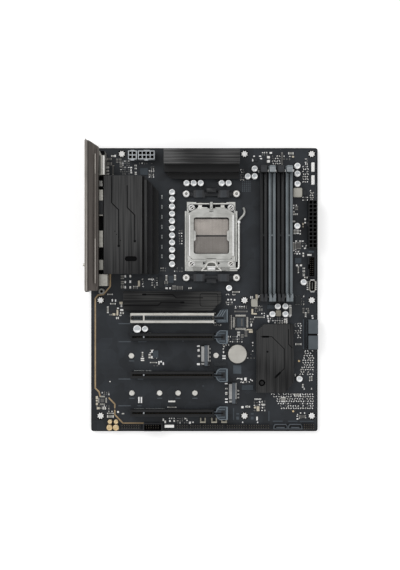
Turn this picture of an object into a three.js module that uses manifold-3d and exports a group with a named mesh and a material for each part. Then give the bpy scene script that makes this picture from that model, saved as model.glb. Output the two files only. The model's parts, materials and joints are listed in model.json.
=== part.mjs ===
// A full-size desktop computer motherboard, lying flat with its component side up.
// Millimetres. X runs from the rear panel to the front edge, Y from the lower edge to the upper edge, Z up.
// Places on the board are measured from its lower left corner, but those named down and fromRight from its
// upper and right edges. The finished group is then centred on the board, with Z = 0 in the plane of the
// ground pads that seat on the case's standoffs.

import * as THREE from 'three';
import { mergeVertices } from 'three/addons/utils/BufferGeometryUtils.js';
import Module from 'manifold-3d';

const wasm = await Module();
wasm.setup();

// --------------------------------------------------------------------------------------------------------
// Driving dimensions
// --------------------------------------------------------------------------------------------------------

const gap = 0.3; // between a moving piece and its neighbour
const past = 1; // how far a cut, or the end of a joined piece, runs past the face that it meets
const roundSides = 16; // sides of a large round
const smallSides = 8; // sides of a small round
const canSides = 12; // sides of a capacitor's can
const leverSteps = 30; // rings along the bent wire of the lever

// The board is laid out from its rear (left) and upper edges, from which a case takes its bearings
const board = { width: 243.84, depth: 304.8, thickness: 1.6, corner: 4 };
const pad = { proud: 0.1, radius: 4.2, holeRadius: 1.98 }; // ground pad round each mounting hole, both faces
const holeColumns = { left: 10.16, topLeft: 33.02, middle: 165.1, rightInset: 6.35 };
const holeRows = { lower: 16.51, middleDown: 163.83, upperDown: 6.35 };

const socket = {
	x: 129.35, down: 94.6,
	housingWidth: 48, housingDepth: 52, housingHeight: 4.2, corner: 2,
	seat: 40.4, seatFloor: 2, // square seat of the processor, and its floor
	ribWidth: 1.2, ribHeight: 0.6, ribEnd: 0.5, // rib across the seat, sunk by its end into floor and walls
};
const frame = {
	left: 28.4, right: 28, lower: 37.8, upper: 36.4, // reach from the socket's centre
	plate: 1.5, wall: 1.3, wallHeight: 4.6, shoulder: 26.6, shoulderInset: 2.2, clearance: 0.4,
	screwX: 21.1, screwY: 30.1, bossRadius: 3.3, bossHeight: 3.8,
	cradleWidth: 6, cradleX: 14.5, cradleRoof: 1.1, cradleWall: 1.2, wallStart: 3,
	postWidth: 3, postBack: 2.6, // hinge post between the two knuckles of the load plate
	earWidth: 1.2, earBack: 1.6, earRise: 1.4,
};
const frameScrew = { headRadius: 3.1, headHeight: 1.7, shankRadius: 1.5, recess: 1.2, recessRadius: 1.1 };
const plate = {
	thickness: 1.2, rise: 5.1, halfWidth: 24.4, lowerReach: 25.2, upperReach: 29.4,
	shoulderX: 15.6, shoulderY: 24.2, lowerCutX: 4.4, lowerCutY: 3.4, // corners cut away round the frame's screws
	notch: 2.2, notchDepth: 3.8, // half width and depth of the notch round the hinge post
	windowWidth: 37.8, windowDepth: 38.8, windowY: 0.2, windowCorner: 2.2,
	tabReach: 2.3, tabDepth: 11, ridgeWidth: 2, ridgeHeight: 0.9, ridgeSink: 0.4, ridgeSetBack: 2,
	hingeY: 31.6, hingeZ: 3.7, knuckleRadius: 1.5, knuckleWall: 0.4, knuckleWidth: 12.6, knuckleX: 9.6,
	neckWidth: 9, neckHalf: 0.5, pinSlack: 0.5,
	noseWidth: 13.4, noseDrop: 1.7, noseBend: 1.4, noseSlope: 1.6,
};
const lever = {
	wire: 1, pivotReach: 35.4, pivotZ: 3, armX: 30.1, armEnd: 15.6, crossReach: 18.6, bulge: 1.7,
	turn: 2.4, handleReach: 6.3, handleLength: 15.4,
};
const bracketScrew = { spacingX: 54, spacingY: 90, headRadius: 3.6, headHeight: 2.6, shankRadius: 2 };
const bracket = {
	halfLength: 31.2, depth: 8.4, height: 4.4, waist: 5.2, hookWidth: 10.4, hookReach: 3.6, hookHeight: 9.6,
	hookWall: 2.4, saddle: 9.8, saddleDepth: 7.8, saddleX: 13, saddleRise: 2.6, saddleSteps: 8,
};
const backplate = {
	margin: 6.4, thickness: 2, corner: 5, window: 30, windowCorner: 3,
	nutRadius: 3.8, nutHeight: 1.2, nutSides: 6,
};

const memory = {
	count: 4, pitch: 9.14, width: 7.3, lowerDown: 165.1, towerDepth: 8.6, towerHeight: 19,
	railEndDown: 27.8, railHeight: 8.6, groove: 2, grooveDepth: 6.2,
	keyDown: 94.2, keyWidth: 1.6, endDepth: 8.2, cheek: 1.1, pegRadius: 1, pegProud: 0.3,
	leftShare: 0.444, // of the room between the middle ground pads and the main power connector
};
const memoryLatch = {
	height: 20.4, stem: 2.6, head: 6.3, headDepth: 5.8, headHeight: 3.2, headCorner: 1.2, hook: 1.5, pivotZ: 3,
	footRise: 0.4, footRoom: 2.4,
};

const slot = {
	left: 42.8, length: 89.4, width: 7.5, height: 11.2, topDown: 182.7,
	rows: [0, 1, 3, 5], rowPitch: 20.32, lowest: 14, // room below the lowest slot for the pin headers
	groove: 2, grooveDepth: 8.4, endWall: 1.9, keyX: 13, keyWidth: 2.6, tail: 3.4, tailHeight: 6.4,
	jacketWidth: 10.6, // of the first slot, over its steel jacket
};
const slotLatch = {
	stemWidth: 4.4, stemDepth: 2.8, stemFoot: 1.4, hookReach: 1.9, hookThickness: 1.2, height: 13.4, pivotZ: 3.4,
	paddleLength: 12.6, paddleHalf: 7.4, paddleThickness: 2.6, paddleCorner: 3.4, paddleTaper: 0.6,
	wideHalf: 9.5, wideLower: 4.9, wideCorner: 6.4,
};

const leftSink = {
	x: 15.5, width: 57.4, lowerDown: 135.7, upperDown: 32, base: 5.5, height: 30.3,
	topWidth: 40.6, terraceWidth: 5.2, terraceDrop: 1.6, grooves: 3, groove: 0.8, grooveDepth: 3,
	stepWidth: 4.6, stepDrop: 9, stepSlope: 1.2, lowDrop: 18, cornerCut: 15.4, legRadius: 3, legInset: 1,
	slotWidth: 12, slotDepth: 4.6, slotSink: 1.2,
};
const topSink = {
	x: 78.8, width: 80.4, lowerDown: 33.9, upperDown: 3.2, height: 30.3, topDepth: 15.6,
	grooves: 3, groove: 0.9, grooveDepth: 1.6, stepDepth: 8.2, stepDrop: 11, stepSlope: 0.8, lowDrop: 21,
	cornerCut: 7.6,
};
const chokes = {
	size: 9.4, height: 5, pitch: 10.7, padWidth: 8, padSink: 0.2, inset: 1, leftCount: 8, topCount: 6,
};
const driveSink = {
	x: 35.1, width: 105, lowerDown: 174.9, upperDown: 154.1, underside: 5.6, thickness: 3.6,
	cornerCut: 9.6, legWidth: 4, legInset: 2, groove: 0.7, grooveSink: 0.4,
};
const chipSink = {
	lowerDown: 262.8, width: 40, depth: 73.6, thickness: 6.6, upperCut: 8.6, lowerCut: 9,
	bossRadius: 3.1, legRadius: 1.6,
};
const chipPackage = { size: 25, height: 2.6 };

const capacitor = { radius: 3.2, height: 7.6, base: 6.6, baseHeight: 1, pour: 0.15, pourWidth: 2.4 };
const leftCapacitors = { x: 87.2, firstDown: 47.9, pitch: 7.72, count: 11 };
const topCapacitors = { down: 38.2, places: [102.8, 110.4, 118, 140.4, 147.8] };

const rearPanel = {
	middleDown: 74.6, middleZ: 20.2, length: 158, height: 43.8, depth: 3, proud: 3.7, sheet: 0.8,
	flangeLength: 160.4, flangeHeight: 46.2, flangeSetBack: 0.7,
};
const cover = {
	startDown: 153.6, length: 157.6, reach: 10.9, slope: 3.3, fold: 2.4, foot: 31.2, sheet: 1.4,
	upperCut: 7, lowerCut: 3,
};
const ports = {
	proud: 2.6, back: 14.9, clearance: 0.5, mouthDepth: 11.6, tongue: 1.8, tongueWidth: 10.4, tongueDrop: 1,
	tongueSink: 0.5,
};
const displayPorts = {
	down: 31.2, width: 25, back: 16.6, height: 29.5,
	largeWidth: 15.2, largeHeight: 5.6, largeZ: 20, smallWidth: 16.4, smallHeight: 5.4, smallZ: 6.4,
};
const usbPorts = {
	down: 74.4, pitch: 14.2, width: 13.3, height: 29.5, portWidth: 12.6, portHeight: 5.3,
	levels: [3.6, 11.2, 19], columns: 2,
};
const networkPorts = {
	down: 107.5, width: 17.4, height: 29.5, jackWidth: 11.9, jackHeight: 9.6, jackZ: 15.8,
	jackDepth: 12.6, usbLevels: [2.4, 8.8],
};
const wireless = {
	down: 131.4, width: 10.6, height: 26, back: 14.9,
	antennaRadius: 1.7, antennaTip: 3, antennaZ: [13, 22],
};
const audio = {
	down: 148.4, width: 12.4, height: 26.6, back: 19.4,
	jackRadius: 3.1, boreRadius: 1.8, boreDepth: 12, levels: [6.5, 14.5, 22.5],
};
const flash = {
	down: 39.4, z: 12, radius: 1.9, stroke: 0.8, proud: 0.9, flare: 0.45,
	bodyWidth: 6, bodyBack: 13.4, bodyHeight: 17, wellRoom: 3.4, capEnd: 2.2, collarStart: 0.2, collarEnd: 1.6,
};

const powerPin = { pitch: 4.2, wall: 1.1, height: 12.8, floor: 2, clip: 1.3, clipSink: 0.5 };
const cpuPower = { smallX: 40.3, largeX: 50.9, down: 13.4 };
const mainPower = { fromRight: 10.84, down: 108 };
const battery = {
	down: 221.6, radius: 10, thickness: 3.2, sides: 32, holder: 10.6, holderHeight: 1.5,
	clipWidth: 5, clipReach: 1.6, clipDrop: 0.4,
};
const driveSocket = {
	width: 8.6, length: 22.4, height: 4.1, groove: 1.4, grooveZ: 1.7, grooveDepth: 5, grooveEnd: 1.2,
};
const driveSockets = {
	upper: { x: 118.6, down: 234.5 }, lower: { x: 148.3, down: 274.9 },
};
const sata = {
	fromRight: 11.84, lowerDown: 216.4, width: 11.6, blockLength: 15.4, split: 1, height: 9,
	portWidth: 11.4, portHeight: 2.6, portDepth: 6.4, levels: [2, 5.6], spine: 2,
};
const usbHeader = {
	fromRight: 10.74, down: 139.3, width: 7.9, length: 22.8, height: 9, wall: 1.2, floor: 1.6,
	key: 5,
};
const typeCHeader = {
	fromRight: 9.94, down: 155.1, width: 7.2, length: 13.6, height: 9.6, corner: 1.4,
	cavityWidth: 3, cavityLength: 9.4, cavityDepth: 7,
};
// Between the upper drive socket and the drive ports, battery and chipset heatsink share the room left over
const lowerRow = { beforeBattery: 0.4455, beforeHeatsink: 0.1906 };

// Worked out from the sizes above
const top = pad.proud + board.thickness; // the component side of the laminate
const up = (down) => board.depth - down; // from a place given down from the upper edge
const fromRight = (piece) => board.width - piece.fromRight;
const panelTop = rearPanel.middleZ + rearPanel.height / 2;
const panelFront = -rearPanel.proud;
const panelInside = panelFront + rearPanel.sheet;
const portFront = -ports.proud;
const pivotY = -lever.pivotReach;
const socketY = up(socket.down);

const memoryBank = (memory.count - 1) * memory.pitch + memory.width;
const besidePads = holeColumns.middle + pad.radius;
const memoryRoom = fromRight(mainPower) - powerPin.clip - besidePads - memoryBank;
const firstMemoryX = besidePads + memory.leftShare * memoryRoom + memory.width / 2;

const batteryReach = battery.holder + battery.clipReach;
const driveSocketEnd = driveSockets.upper.x + driveSocket.width;
const lowerRoom = fromRight(sata) - driveSocketEnd - 2 * batteryReach - chipSink.width;
const batteryX = driveSocketEnd + lowerRow.beforeBattery * lowerRoom + batteryReach;
const chipSinkX = batteryX + batteryReach + lowerRow.beforeHeatsink * lowerRoom;

// --------------------------------------------------------------------------------------------------------
// Finishes
// --------------------------------------------------------------------------------------------------------

function finish(color, roughness, metalness) {
	return new THREE.MeshStandardMaterial({ color, roughness, metalness });
}

const solderMask = finish('#262b30', 0.55, 0);
const blackPlastic = finish('#17181a', 0.5, 0);
const greyPlastic = finish('#566068', 0.45, 0);
const smokePlastic = finish('#3c464e', 0.35, 0);
const anodised = finish('#38383a', 0.45, 0.85);
const stampedSteel = finish('#c8c5bd', 0.3, 0.95);
const shellSteel = finish('#a9a49a', 0.35, 0.9);
const panelFinish = finish('#8c8782', 0.4, 0.8);
const coverFinish = finish('#4c4642', 0.45, 0.8);
const canAluminium = finish('#d2d2d0', 0.35, 0.85);
const cellSteel = finish('#b5b0a6', 0.3, 0.9);
const contactField = finish('#8f8880', 0.6, 0.2);
const ferrite = finish('#4a4b4c', 0.7, 0.1);

// --------------------------------------------------------------------------------------------------------
// Shapes and joins
// --------------------------------------------------------------------------------------------------------

const spanX = new THREE.Matrix4().makeBasis(
	new THREE.Vector3(0, 1, 0), new THREE.Vector3(0, 0, 1), new THREE.Vector3(1, 0, 0));
const spanY = new THREE.Matrix4().makeBasis(
	new THREE.Vector3(1, 0, 0), new THREE.Vector3(0, 0, 1), new THREE.Vector3(0, -1, 0));

function block(x0, x1, y0, y1, z0, z1) {
	const geometry = new THREE.BoxGeometry(x1 - x0, y1 - y0, z1 - z0);
	return geometry.translate((x0 + x1) / 2, (y0 + y1) / 2, (z0 + z1) / 2);
}

function rod(radius, x, y, z0, z1, sides = roundSides) {
	const geometry = new THREE.CylinderGeometry(radius, radius, z1 - z0, sides);
	return geometry.rotateX(Math.PI / 2).translate(x, y, (z0 + z1) / 2);
}

function rodAlongX(radius, x0, x1, y, z, sides = roundSides) {
	const geometry = new THREE.CylinderGeometry(radius, radius, x1 - x0, sides);
	return geometry.rotateZ(Math.PI / 2).translate((x0 + x1) / 2, y, z);
}

function extrusion(points, depth) {
	const shape = new THREE.Shape(points.map(([u, v]) => new THREE.Vector2(u, v)));
	return new THREE.ExtrudeGeometry(shape, { depth, bevelEnabled: false });
}

function prism(points, z0, z1) {
	return extrusion(points, z1 - z0).translate(0, 0, z0);
}

// A section in the Y-Z plane, run along X
function runAlongX(points, x0, x1) {
	return extrusion(points, x1 - x0).applyMatrix4(spanX).translate(x0, 0, 0);
}

// A section in the X-Z plane, run along Y
function runAlongY(points, y0, y1) {
	return extrusion(points, y1 - y0).applyMatrix4(spanY).translate(0, y1, 0);
}

function roundedRectangle(x0, x1, y0, y1, radius, steps = 4) {
	const corners = [
		[x1 - radius, y0 + radius, -Math.PI / 2], [x1 - radius, y1 - radius, 0],
		[x0 + radius, y1 - radius, Math.PI / 2], [x0 + radius, y0 + radius, Math.PI],
	];
	return corners.flatMap(([x, y, start]) => Array.from({ length: steps + 1 }, (_, i) => {
		const angle = start + (Math.PI / 2) * (i / steps);
		return [x + radius * Math.cos(angle), y + radius * Math.sin(angle)];
	}));
}

function toSolid(geometry) {
	if (geometry instanceof wasm.Manifold) return geometry;
	const bare = geometry.clone();
	bare.deleteAttribute('normal');
	bare.deleteAttribute('uv');
	const merged = mergeVertices(bare, 1e-4);
	return new wasm.Manifold(new wasm.Mesh({
		numProp: 3,
		vertProperties: new Float32Array(merged.attributes.position.array),
		triVerts: new Uint32Array(merged.index.array),
	}));
}

function join(...pieces) {
	return pieces.map(toSolid).reduce((whole, piece) => whole.add(piece));
}

function cut(whole, ...pieces) {
	return pieces.map(toSolid).reduce((rest, piece) => rest.subtract(piece), toSolid(whole));
}

function toGeometry(solid) {
	const mesh = toSolid(solid).getMesh();
	const geometry = new THREE.BufferGeometry();
	geometry.setAttribute('position', new THREE.BufferAttribute(mesh.vertProperties, 3));
	geometry.setIndex(new THREE.BufferAttribute(mesh.triVerts, 1));
	geometry.computeVertexNormals();
	return geometry;
}

const motherboard = new THREE.Group();
motherboard.position.set(-board.width / 2, -board.depth / 2, 0);

function add(name, solid, material, x = 0, y = 0, z = 0) {
	const mesh = new THREE.Mesh(toGeometry(solid), material);
	mesh.name = name;
	mesh.position.set(x, y, z);
	motherboard.add(mesh);
}

// --------------------------------------------------------------------------------------------------------
// Circuit board
// --------------------------------------------------------------------------------------------------------

const rightColumn = board.width - holeColumns.rightInset;
const mountingHoles = [
	[holeColumns.topLeft, up(holeRows.upperDown)],
	[holeColumns.middle, up(holeRows.upperDown)],
	[rightColumn, up(holeRows.upperDown)],
	[holeColumns.left, up(holeRows.middleDown)],
	[holeColumns.middle, up(holeRows.middleDown)],
	[rightColumn, up(holeRows.middleDown)],
	[holeColumns.left, holeRows.lower],
	[holeColumns.middle, holeRows.lower],
	[rightColumn, holeRows.lower],
];

const fourCorners = [[-1, 1], [1, 1], [-1, -1], [1, -1]];
const frameScrews = fourCorners.map(([i, j]) =>
	[socket.x + i * frame.screwX, socketY + j * frame.screwY]);
const bracketScrews = fourCorners.map(([i, j]) =>
	[socket.x + i * bracketScrew.spacingX / 2, socketY + j * bracketScrew.spacingY / 2]);

const memoryRows = Array.from({ length: memory.count }, (_, i) => firstMemoryX + i * memory.pitch);
const memoryPegs = memoryRows.flatMap((x) =>
	[up(memory.lowerDown) + memory.towerDepth / 2, up(memory.railEndDown) - memory.endDepth].map((y) => [x, y]));
const slotRows = slot.rows
	.map((row) => up(slot.topDown) - row * slot.rowPitch)
	.filter((y) => y > slot.lowest);

function circuitBoard() {
	const laminate = prism(roundedRectangle(0, board.width, 0, board.depth, board.corner), pad.proud, top);
	const pads = mountingHoles.map(([x, y]) => rod(pad.radius, x, y, 0, top + pad.proud));
	const middlePad = rod(pad.radius, board.width / 2, board.depth / 2, 0, top - board.thickness / 2);
	const through = (radius, sides) => ([x, y]) => rod(radius, x, y, -past, top + past, sides);
	return cut(
		join(laminate, ...pads, middlePad),
		...mountingHoles.map(through(pad.holeRadius, roundSides)),
		...frameScrews.map(through(frameScrew.shankRadius + gap, smallSides)),
		...bracketScrews.map(through(bracketScrew.shankRadius + gap, smallSides)),
		...memoryPegs.map(through(memory.pegRadius + gap, smallSides)),
	);
}

add('circuit_board', circuitBoard(), solderMask);

// --------------------------------------------------------------------------------------------------------
// Processor socket
// --------------------------------------------------------------------------------------------------------

function socketHousing() {
	const { housingWidth: w, housingDepth: d, seat, seatFloor, ribWidth, ribEnd } = socket;
	const body = prism(roundedRectangle(-w / 2, w / 2, -d / 2, d / 2, socket.corner), 0, socket.housingHeight);
	const seatCut = block(-seat / 2, seat / 2, -seat / 2, seat / 2, seatFloor, socket.housingHeight + past);
	const rib = block(
		-seat / 2 - ribEnd, seat / 2 + ribEnd, -ribWidth / 2, ribWidth / 2,
		seatFloor - ribEnd, seatFloor + socket.ribHeight);
	return join(cut(body, seatCut), rib);
}

function socketFrame() {
	const { left, right, lower, upper, wall, shoulder, shoulderInset, cradleX, cradleWidth, cradleWall } = frame;
	const sheet = frame.plate;
	const clear = frame.clearance;
	const inside = block(
		-socket.housingWidth / 2 - clear, socket.housingWidth / 2 + clear,
		-socket.housingDepth / 2 - clear, socket.housingDepth / 2 + clear, -past, frame.wallHeight + past);
	const outline = [
		[-left, -lower], [right, -lower], [right, shoulder],
		[right - shoulderInset, shoulder], [right - shoulderInset, upper],
		[-left + shoulderInset, upper], [-left + shoulderInset, shoulder], [-left, shoulder],
	];
	const base = prism(outline, 0, sheet);
	const leftWall = block(-left, -left + wall, -lower, shoulder, 0, frame.wallHeight);
	const rightWall = block(
		right - wall, right, pivotY + lever.wire + frame.wallStart, shoulder, 0, frame.wallHeight);
	const bosses = fourCorners.map(([i, j]) =>
		rod(frame.bossRadius, i * frame.screwX, j * frame.screwY, 0, frame.bossHeight));
	const post = block(
		-frame.postWidth / 2, frame.postWidth / 2, plate.hingeY - frame.postBack, upper,
		0, plate.hingeZ + plate.knuckleRadius);
	// Two roofed cradles that hold the cross part of the lever
	const roof = lever.pivotZ + lever.wire + gap;
	const front = pivotY - lever.wire - gap;
	const back = pivotY + lever.wire + gap;
	const cradles = [-1, 1].flatMap((side) => {
		const x0 = side * cradleX - cradleWidth / 2;
		const x1 = side * cradleX + cradleWidth / 2;
		return [
			block(x0, x1, -lower, front, 0, roof + frame.cradleRoof),
			block(x0, x1, -lower, back + cradleWall, roof, roof + frame.cradleRoof),
			block(x0, x1, back, back + cradleWall, 0, roof + frame.cradleRoof),
		];
	});
	const screwHoles = fourCorners.map(([i, j]) => rod(
		frameScrew.shankRadius + gap, i * frame.screwX, j * frame.screwY,
		-past, frame.bossHeight + past, smallSides));
	// The hinge pin of the load plate, out of both sides of the post
	const pinEnd = plate.knuckleX + plate.knuckleWidth / 2 + gap + frame.earWidth / 2;
	const pin = rodAlongX(
		plate.knuckleRadius - gap - plate.pinSlack, -pinEnd, pinEnd, plate.hingeY, plate.hingeZ, smallSides);
	const ears = [-1, 1].map((side) => {
		const x = side * pinEnd;
		return block(
			x - frame.earWidth / 2, x + frame.earWidth / 2, plate.hingeY - frame.earBack, upper,
			0, plate.hingeZ + frame.earRise);
	});
	const whole = join(base, leftWall, rightWall, ...bosses, ...cradles, post, pin, ...ears);
	return cut(whole, inside, ...screwHoles);
}

function loadPlate() {
	const { halfWidth, upperReach, rise, thickness, windowWidth, windowDepth, windowY } = plate;
	const { shoulderX, shoulderY, lowerCutX, lowerCutY, notch } = plate;
	const { knuckleRadius, knuckleWidth, neckHalf, hingeY, hingeZ, noseDrop, noseSlope } = plate;
	const lowerEdge = -plate.lowerReach;
	const roof = rise + thickness;
	const notchFloor = upperReach - plate.notchDepth;
	const sheet = prism([
		[-halfWidth, lowerEdge + lowerCutY], [-halfWidth + lowerCutX, lowerEdge],
		[halfWidth - lowerCutX, lowerEdge], [halfWidth, lowerEdge + lowerCutY],
		[halfWidth, shoulderY], [shoulderX, upperReach], [notch, upperReach], [notch, notchFloor],
		[-notch, notchFloor], [-notch, upperReach], [-shoulderX, upperReach], [-halfWidth, shoulderY],
	], rise, roof);
	const window = prism(roundedRectangle(
		-windowWidth / 2, windowWidth / 2, windowY - windowDepth / 2, windowY + windowDepth / 2,
		plate.windowCorner), rise - past, roof + past);
	const tabs = [-1, 1].map((side) => {
		const outer = side * (windowWidth / 2 + past);
		const inner = side * (windowWidth / 2 - plate.tabReach);
		return prism([
			[outer, -plate.tabDepth / 2 - past], [inner, -plate.tabDepth / 2 + past],
			[inner, plate.tabDepth / 2 - past], [outer, plate.tabDepth / 2 + past],
		], rise, roof);
	});
	const ridges = [-1, 1].map((side) => {
		const x = side * (halfWidth - plate.ridgeWidth / 2);
		return runAlongY([
			[x - plate.ridgeWidth / 2, roof - plate.ridgeSink], [x + plate.ridgeWidth / 2, roof - plate.ridgeSink],
			[x + plate.ridgeWidth / 4, roof + plate.ridgeHeight],
			[x - plate.ridgeWidth / 4, roof + plate.ridgeHeight],
		], lowerEdge + lowerCutY, shoulderY - plate.ridgeSetBack);
	});
	// Curled knuckles round the frame's hinge pin, on two necks
	const knuckles = [-1, 1].flatMap((side) => {
		const x = side * plate.knuckleX;
		const neck = [
			[upperReach - past, rise], [hingeY, hingeZ + knuckleRadius - neckHalf],
			[hingeY, hingeZ + knuckleRadius + neckHalf], [upperReach - past, roof],
		];
		return [
			runAlongX(neck, x - plate.neckWidth / 2, x + plate.neckWidth / 2),
			rodAlongX(knuckleRadius + plate.knuckleWall, x - knuckleWidth / 2, x + knuckleWidth / 2, hingeY, hingeZ),
		];
	});
	const bore = rodAlongX(
		knuckleRadius - plate.pinSlack, -halfWidth - past, halfWidth + past, hingeY, hingeZ, smallSides);
	// The nose that the lever holds down
	const noseEnd = pivotY + lever.wire + gap + plate.pinSlack;
	const nose = runAlongX([
		[lowerEdge + past, rise], [lowerEdge + past, roof], [lowerEdge - plate.noseBend, roof],
		[noseEnd + noseSlope, roof - noseDrop], [noseEnd, roof - noseDrop],
		[noseEnd, rise - noseDrop], [noseEnd + noseSlope, rise - noseDrop], [lowerEdge - plate.noseBend, rise],
	].reverse(), -plate.noseWidth / 2, plate.noseWidth / 2);
	return cut(join(cut(sheet, window), ...tabs, ...ridges, nose, ...knuckles), bore);
}

function loadLever() {
	const { wire: radius, pivotZ: z, turn, armX, armEnd, handleReach, handleLength } = lever;
	const point = (x, y) => new THREE.Vector3(x, y, z);
	const arm = new THREE.CurvePath();
	arm.add(new THREE.LineCurve3(point(-lever.crossReach, pivotY), point(armX - turn, pivotY)));
	arm.add(new THREE.QuadraticBezierCurve3(
		point(armX - turn, pivotY), point(armX, pivotY), point(armX, pivotY + turn)));
	arm.add(new THREE.LineCurve3(point(armX, pivotY + turn), point(armX, armEnd)));
	arm.add(new THREE.CubicBezierCurve3(
		point(armX, armEnd), point(armX, armEnd + handleLength / 2),
		point(armX + handleReach * 1.4, armEnd + handleLength / 3),
		point(armX + handleReach * 0.8, armEnd + handleLength)));
	const section = new THREE.Shape(Array.from({ length: smallSides }, (_, i) => {
		const angle = (i / smallSides) * 2 * Math.PI;
		return new THREE.Vector2(radius * Math.cos(angle), radius * Math.sin(angle));
	}));
	const sweep = { steps: leverSteps, extrudePath: arm, bevelEnabled: false };
	const wire = new THREE.ExtrudeGeometry(section, sweep);
	const bulge = new THREE.SphereGeometry(lever.bulge, canSides, smallSides).translate(armX, armEnd, z);
	return join(wire, bulge);
}

function screw(headRadius, headHeight, shankRadius, shankLength, recessRadius, recess) {
	const head = rod(headRadius, 0, 0, 0, headHeight);
	const shank = rod(shankRadius, 0, 0, -shankLength, headHeight / 2, smallSides);
	return cut(join(head, shank), rod(recessRadius, 0, 0, headHeight - recess, headHeight + past, smallSides));
}

function coolerBracket() {
	const { halfLength, depth, height, waist, hookWidth, hookReach, hookHeight, hookWall } = bracket;
	const { saddle, saddleDepth, saddleX, saddleRise, saddleSteps } = bracket;
	const lugs = [-1, 1].map((side) => block(
		side * bracketScrew.spacingX / 2 - depth / 2, side * bracketScrew.spacingX / 2 + depth / 2,
		-depth / 2, depth / 2, 0, height));
	const bar = block(-halfLength + depth / 2, halfLength - depth / 2, -waist / 2, waist / 2, 0, height);
	// Round-backed saddles for the cooler's clips
	const saddles = [-1, 1].map((side) => {
		const x = side * saddleX;
		const back = Array.from({ length: saddleSteps + 1 }, (_, i) => {
			const angle = (Math.PI * i) / saddleSteps;
			return [x + (saddle / 2) * Math.cos(angle), height + saddleRise * Math.sin(angle)];
		});
		return runAlongY([...back, [x - saddle / 2, 0], [x + saddle / 2, 0]], -saddleDepth / 2, saddleDepth / 2);
	});
	const reach = waist / 2 + hookReach;
	const hook = runAlongX([
		[-waist / 2, 0], [reach - hookWall, 0], [reach - hookWall, hookHeight - hookWall],
		[reach, hookHeight - hookWall], [reach, hookHeight],
		[reach - hookWall * 2, hookHeight], [reach - hookWall * 2, height], [-waist / 2, height],
	], -hookWidth / 2, hookWidth / 2);
	const holes = [-1, 1].map((side) => rod(
		bracketScrew.shankRadius + gap, side * bracketScrew.spacingX / 2, 0, -past, height + past, smallSides));
	return cut(join(bar, ...lugs, ...saddles, hook), ...holes);
}

function socketBackplate() {
	const { margin, thickness, corner, window, windowCorner, nutRadius, nutHeight, nutSides } = backplate;
	const halfX = bracketScrew.spacingX / 2 + margin;
	const halfY = bracketScrew.spacingY / 2 + margin;
	const sheet = prism(roundedRectangle(-halfX, halfX, -halfY, halfY, corner), -thickness, 0);
	const opening = prism(
		roundedRectangle(-window / 2, window / 2, -window / 2, window / 2, windowCorner), -thickness - past, past);
	const nuts = fourCorners.map(([i, j]) => rod(
		nutRadius, i * bracketScrew.spacingX / 2, j * bracketScrew.spacingY / 2,
		-thickness - nutHeight, -thickness / 2, nutSides));
	return cut(join(sheet, ...nuts), opening);
}

add('socket_housing', socketHousing(), contactField, socket.x, socketY, top);
add('socket_frame', socketFrame(), stampedSteel, socket.x, socketY, top);
add('load_plate', loadPlate(), stampedSteel, socket.x, socketY, top);
add('load_lever', loadLever(), stampedSteel, socket.x, socketY, top);

const frameScrewSolid = screw(
	frameScrew.headRadius, frameScrew.headHeight, frameScrew.shankRadius, frame.bossHeight + board.thickness / 2,
	frameScrew.recessRadius, frameScrew.recess);
frameScrews.forEach(([x, y], i) =>
	add(`frame_screw_${i + 1}`, frameScrewSolid, stampedSteel, x, y, top + frame.bossHeight));

const bracketSolid = coolerBracket();
const bracketOffset = bracketScrew.spacingY / 2;
add('cooler_bracket_top', bracketSolid, blackPlastic, socket.x, socketY + bracketOffset, top);
const bracketTurned = bracketSolid.rotate([0, 0, 180]);
add('cooler_bracket_bottom', bracketTurned, blackPlastic, socket.x, socketY - bracketOffset, top);

const bracketScrewSolid = screw(
	bracketScrew.headRadius, bracketScrew.headHeight, bracketScrew.shankRadius,
	bracket.height + board.thickness / 2,
	frameScrew.recessRadius, frameScrew.recess);
bracketScrews.forEach(([x, y], i) =>
	add(`bracket_screw_${i + 1}`, bracketScrewSolid, stampedSteel, x, y, top + bracket.height));

add('socket_backplate', socketBackplate(), stampedSteel, socket.x, socketY, pad.proud);

// --------------------------------------------------------------------------------------------------------
// Memory slots
// --------------------------------------------------------------------------------------------------------

function memorySlot() {
	const half = memory.width / 2;
	const towerTop = up(memory.lowerDown) + memory.towerDepth;
	const end = up(memory.railEndDown) + memory.endDepth;
	const rail = block(-half, half, up(memory.lowerDown), end, 0, memory.railHeight);
	const tower = block(-half, half, up(memory.lowerDown), towerTop, 0, memory.towerHeight);
	const floor = memory.railHeight - memory.grooveDepth;
	const groove = (y0, y1) =>
		block(-memory.groove / 2, memory.groove / 2, y0, y1, floor, memory.towerHeight + past);
	const latchWell = block(
		-half + memory.cheek, half - memory.cheek, up(memory.railEndDown), end + past,
		memoryLatch.pivotZ - memoryLatch.footRoom, memory.railHeight + past);
	const pegEnd = -board.thickness - memory.pegProud;
	const pegs = memoryPegs.slice(0, 2).map(([, y]) => rod(memory.pegRadius, 0, y, pegEnd, past, smallSides));
	return cut(
		join(rail, tower, ...pegs),
		groove(towerTop - memory.towerDepth / 2, up(memory.keyDown) - memory.keyWidth / 2),
		groove(up(memory.keyDown) + memory.keyWidth / 2, up(memory.railEndDown) + past),
		latchWell);
}

// The latch at its pivot: a foot between the cheeks, a stem, and a head with the hook over the module's edge
function latchForMemory() {
	const stemHalf = memory.width / 2 - memory.cheek - gap;
	const { stem, head, headDepth, headHeight, headCorner, hook, height, pivotZ } = memoryLatch;
	const roof = height - pivotZ;
	const foot = rodAlongX(stem / 2 + memoryLatch.footRise, -stemHalf, stemHalf, 0, 0);
	const shaft = block(-stemHalf, stemHalf, -stem / 2, stem / 2, 0, roof);
	const cap = prism(
		roundedRectangle(-head / 2, head / 2, -stem / 2 - hook, headDepth - stem / 2, headCorner, 3),
		roof - headHeight, roof);
	return join(foot, shaft, cap);
}

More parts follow.
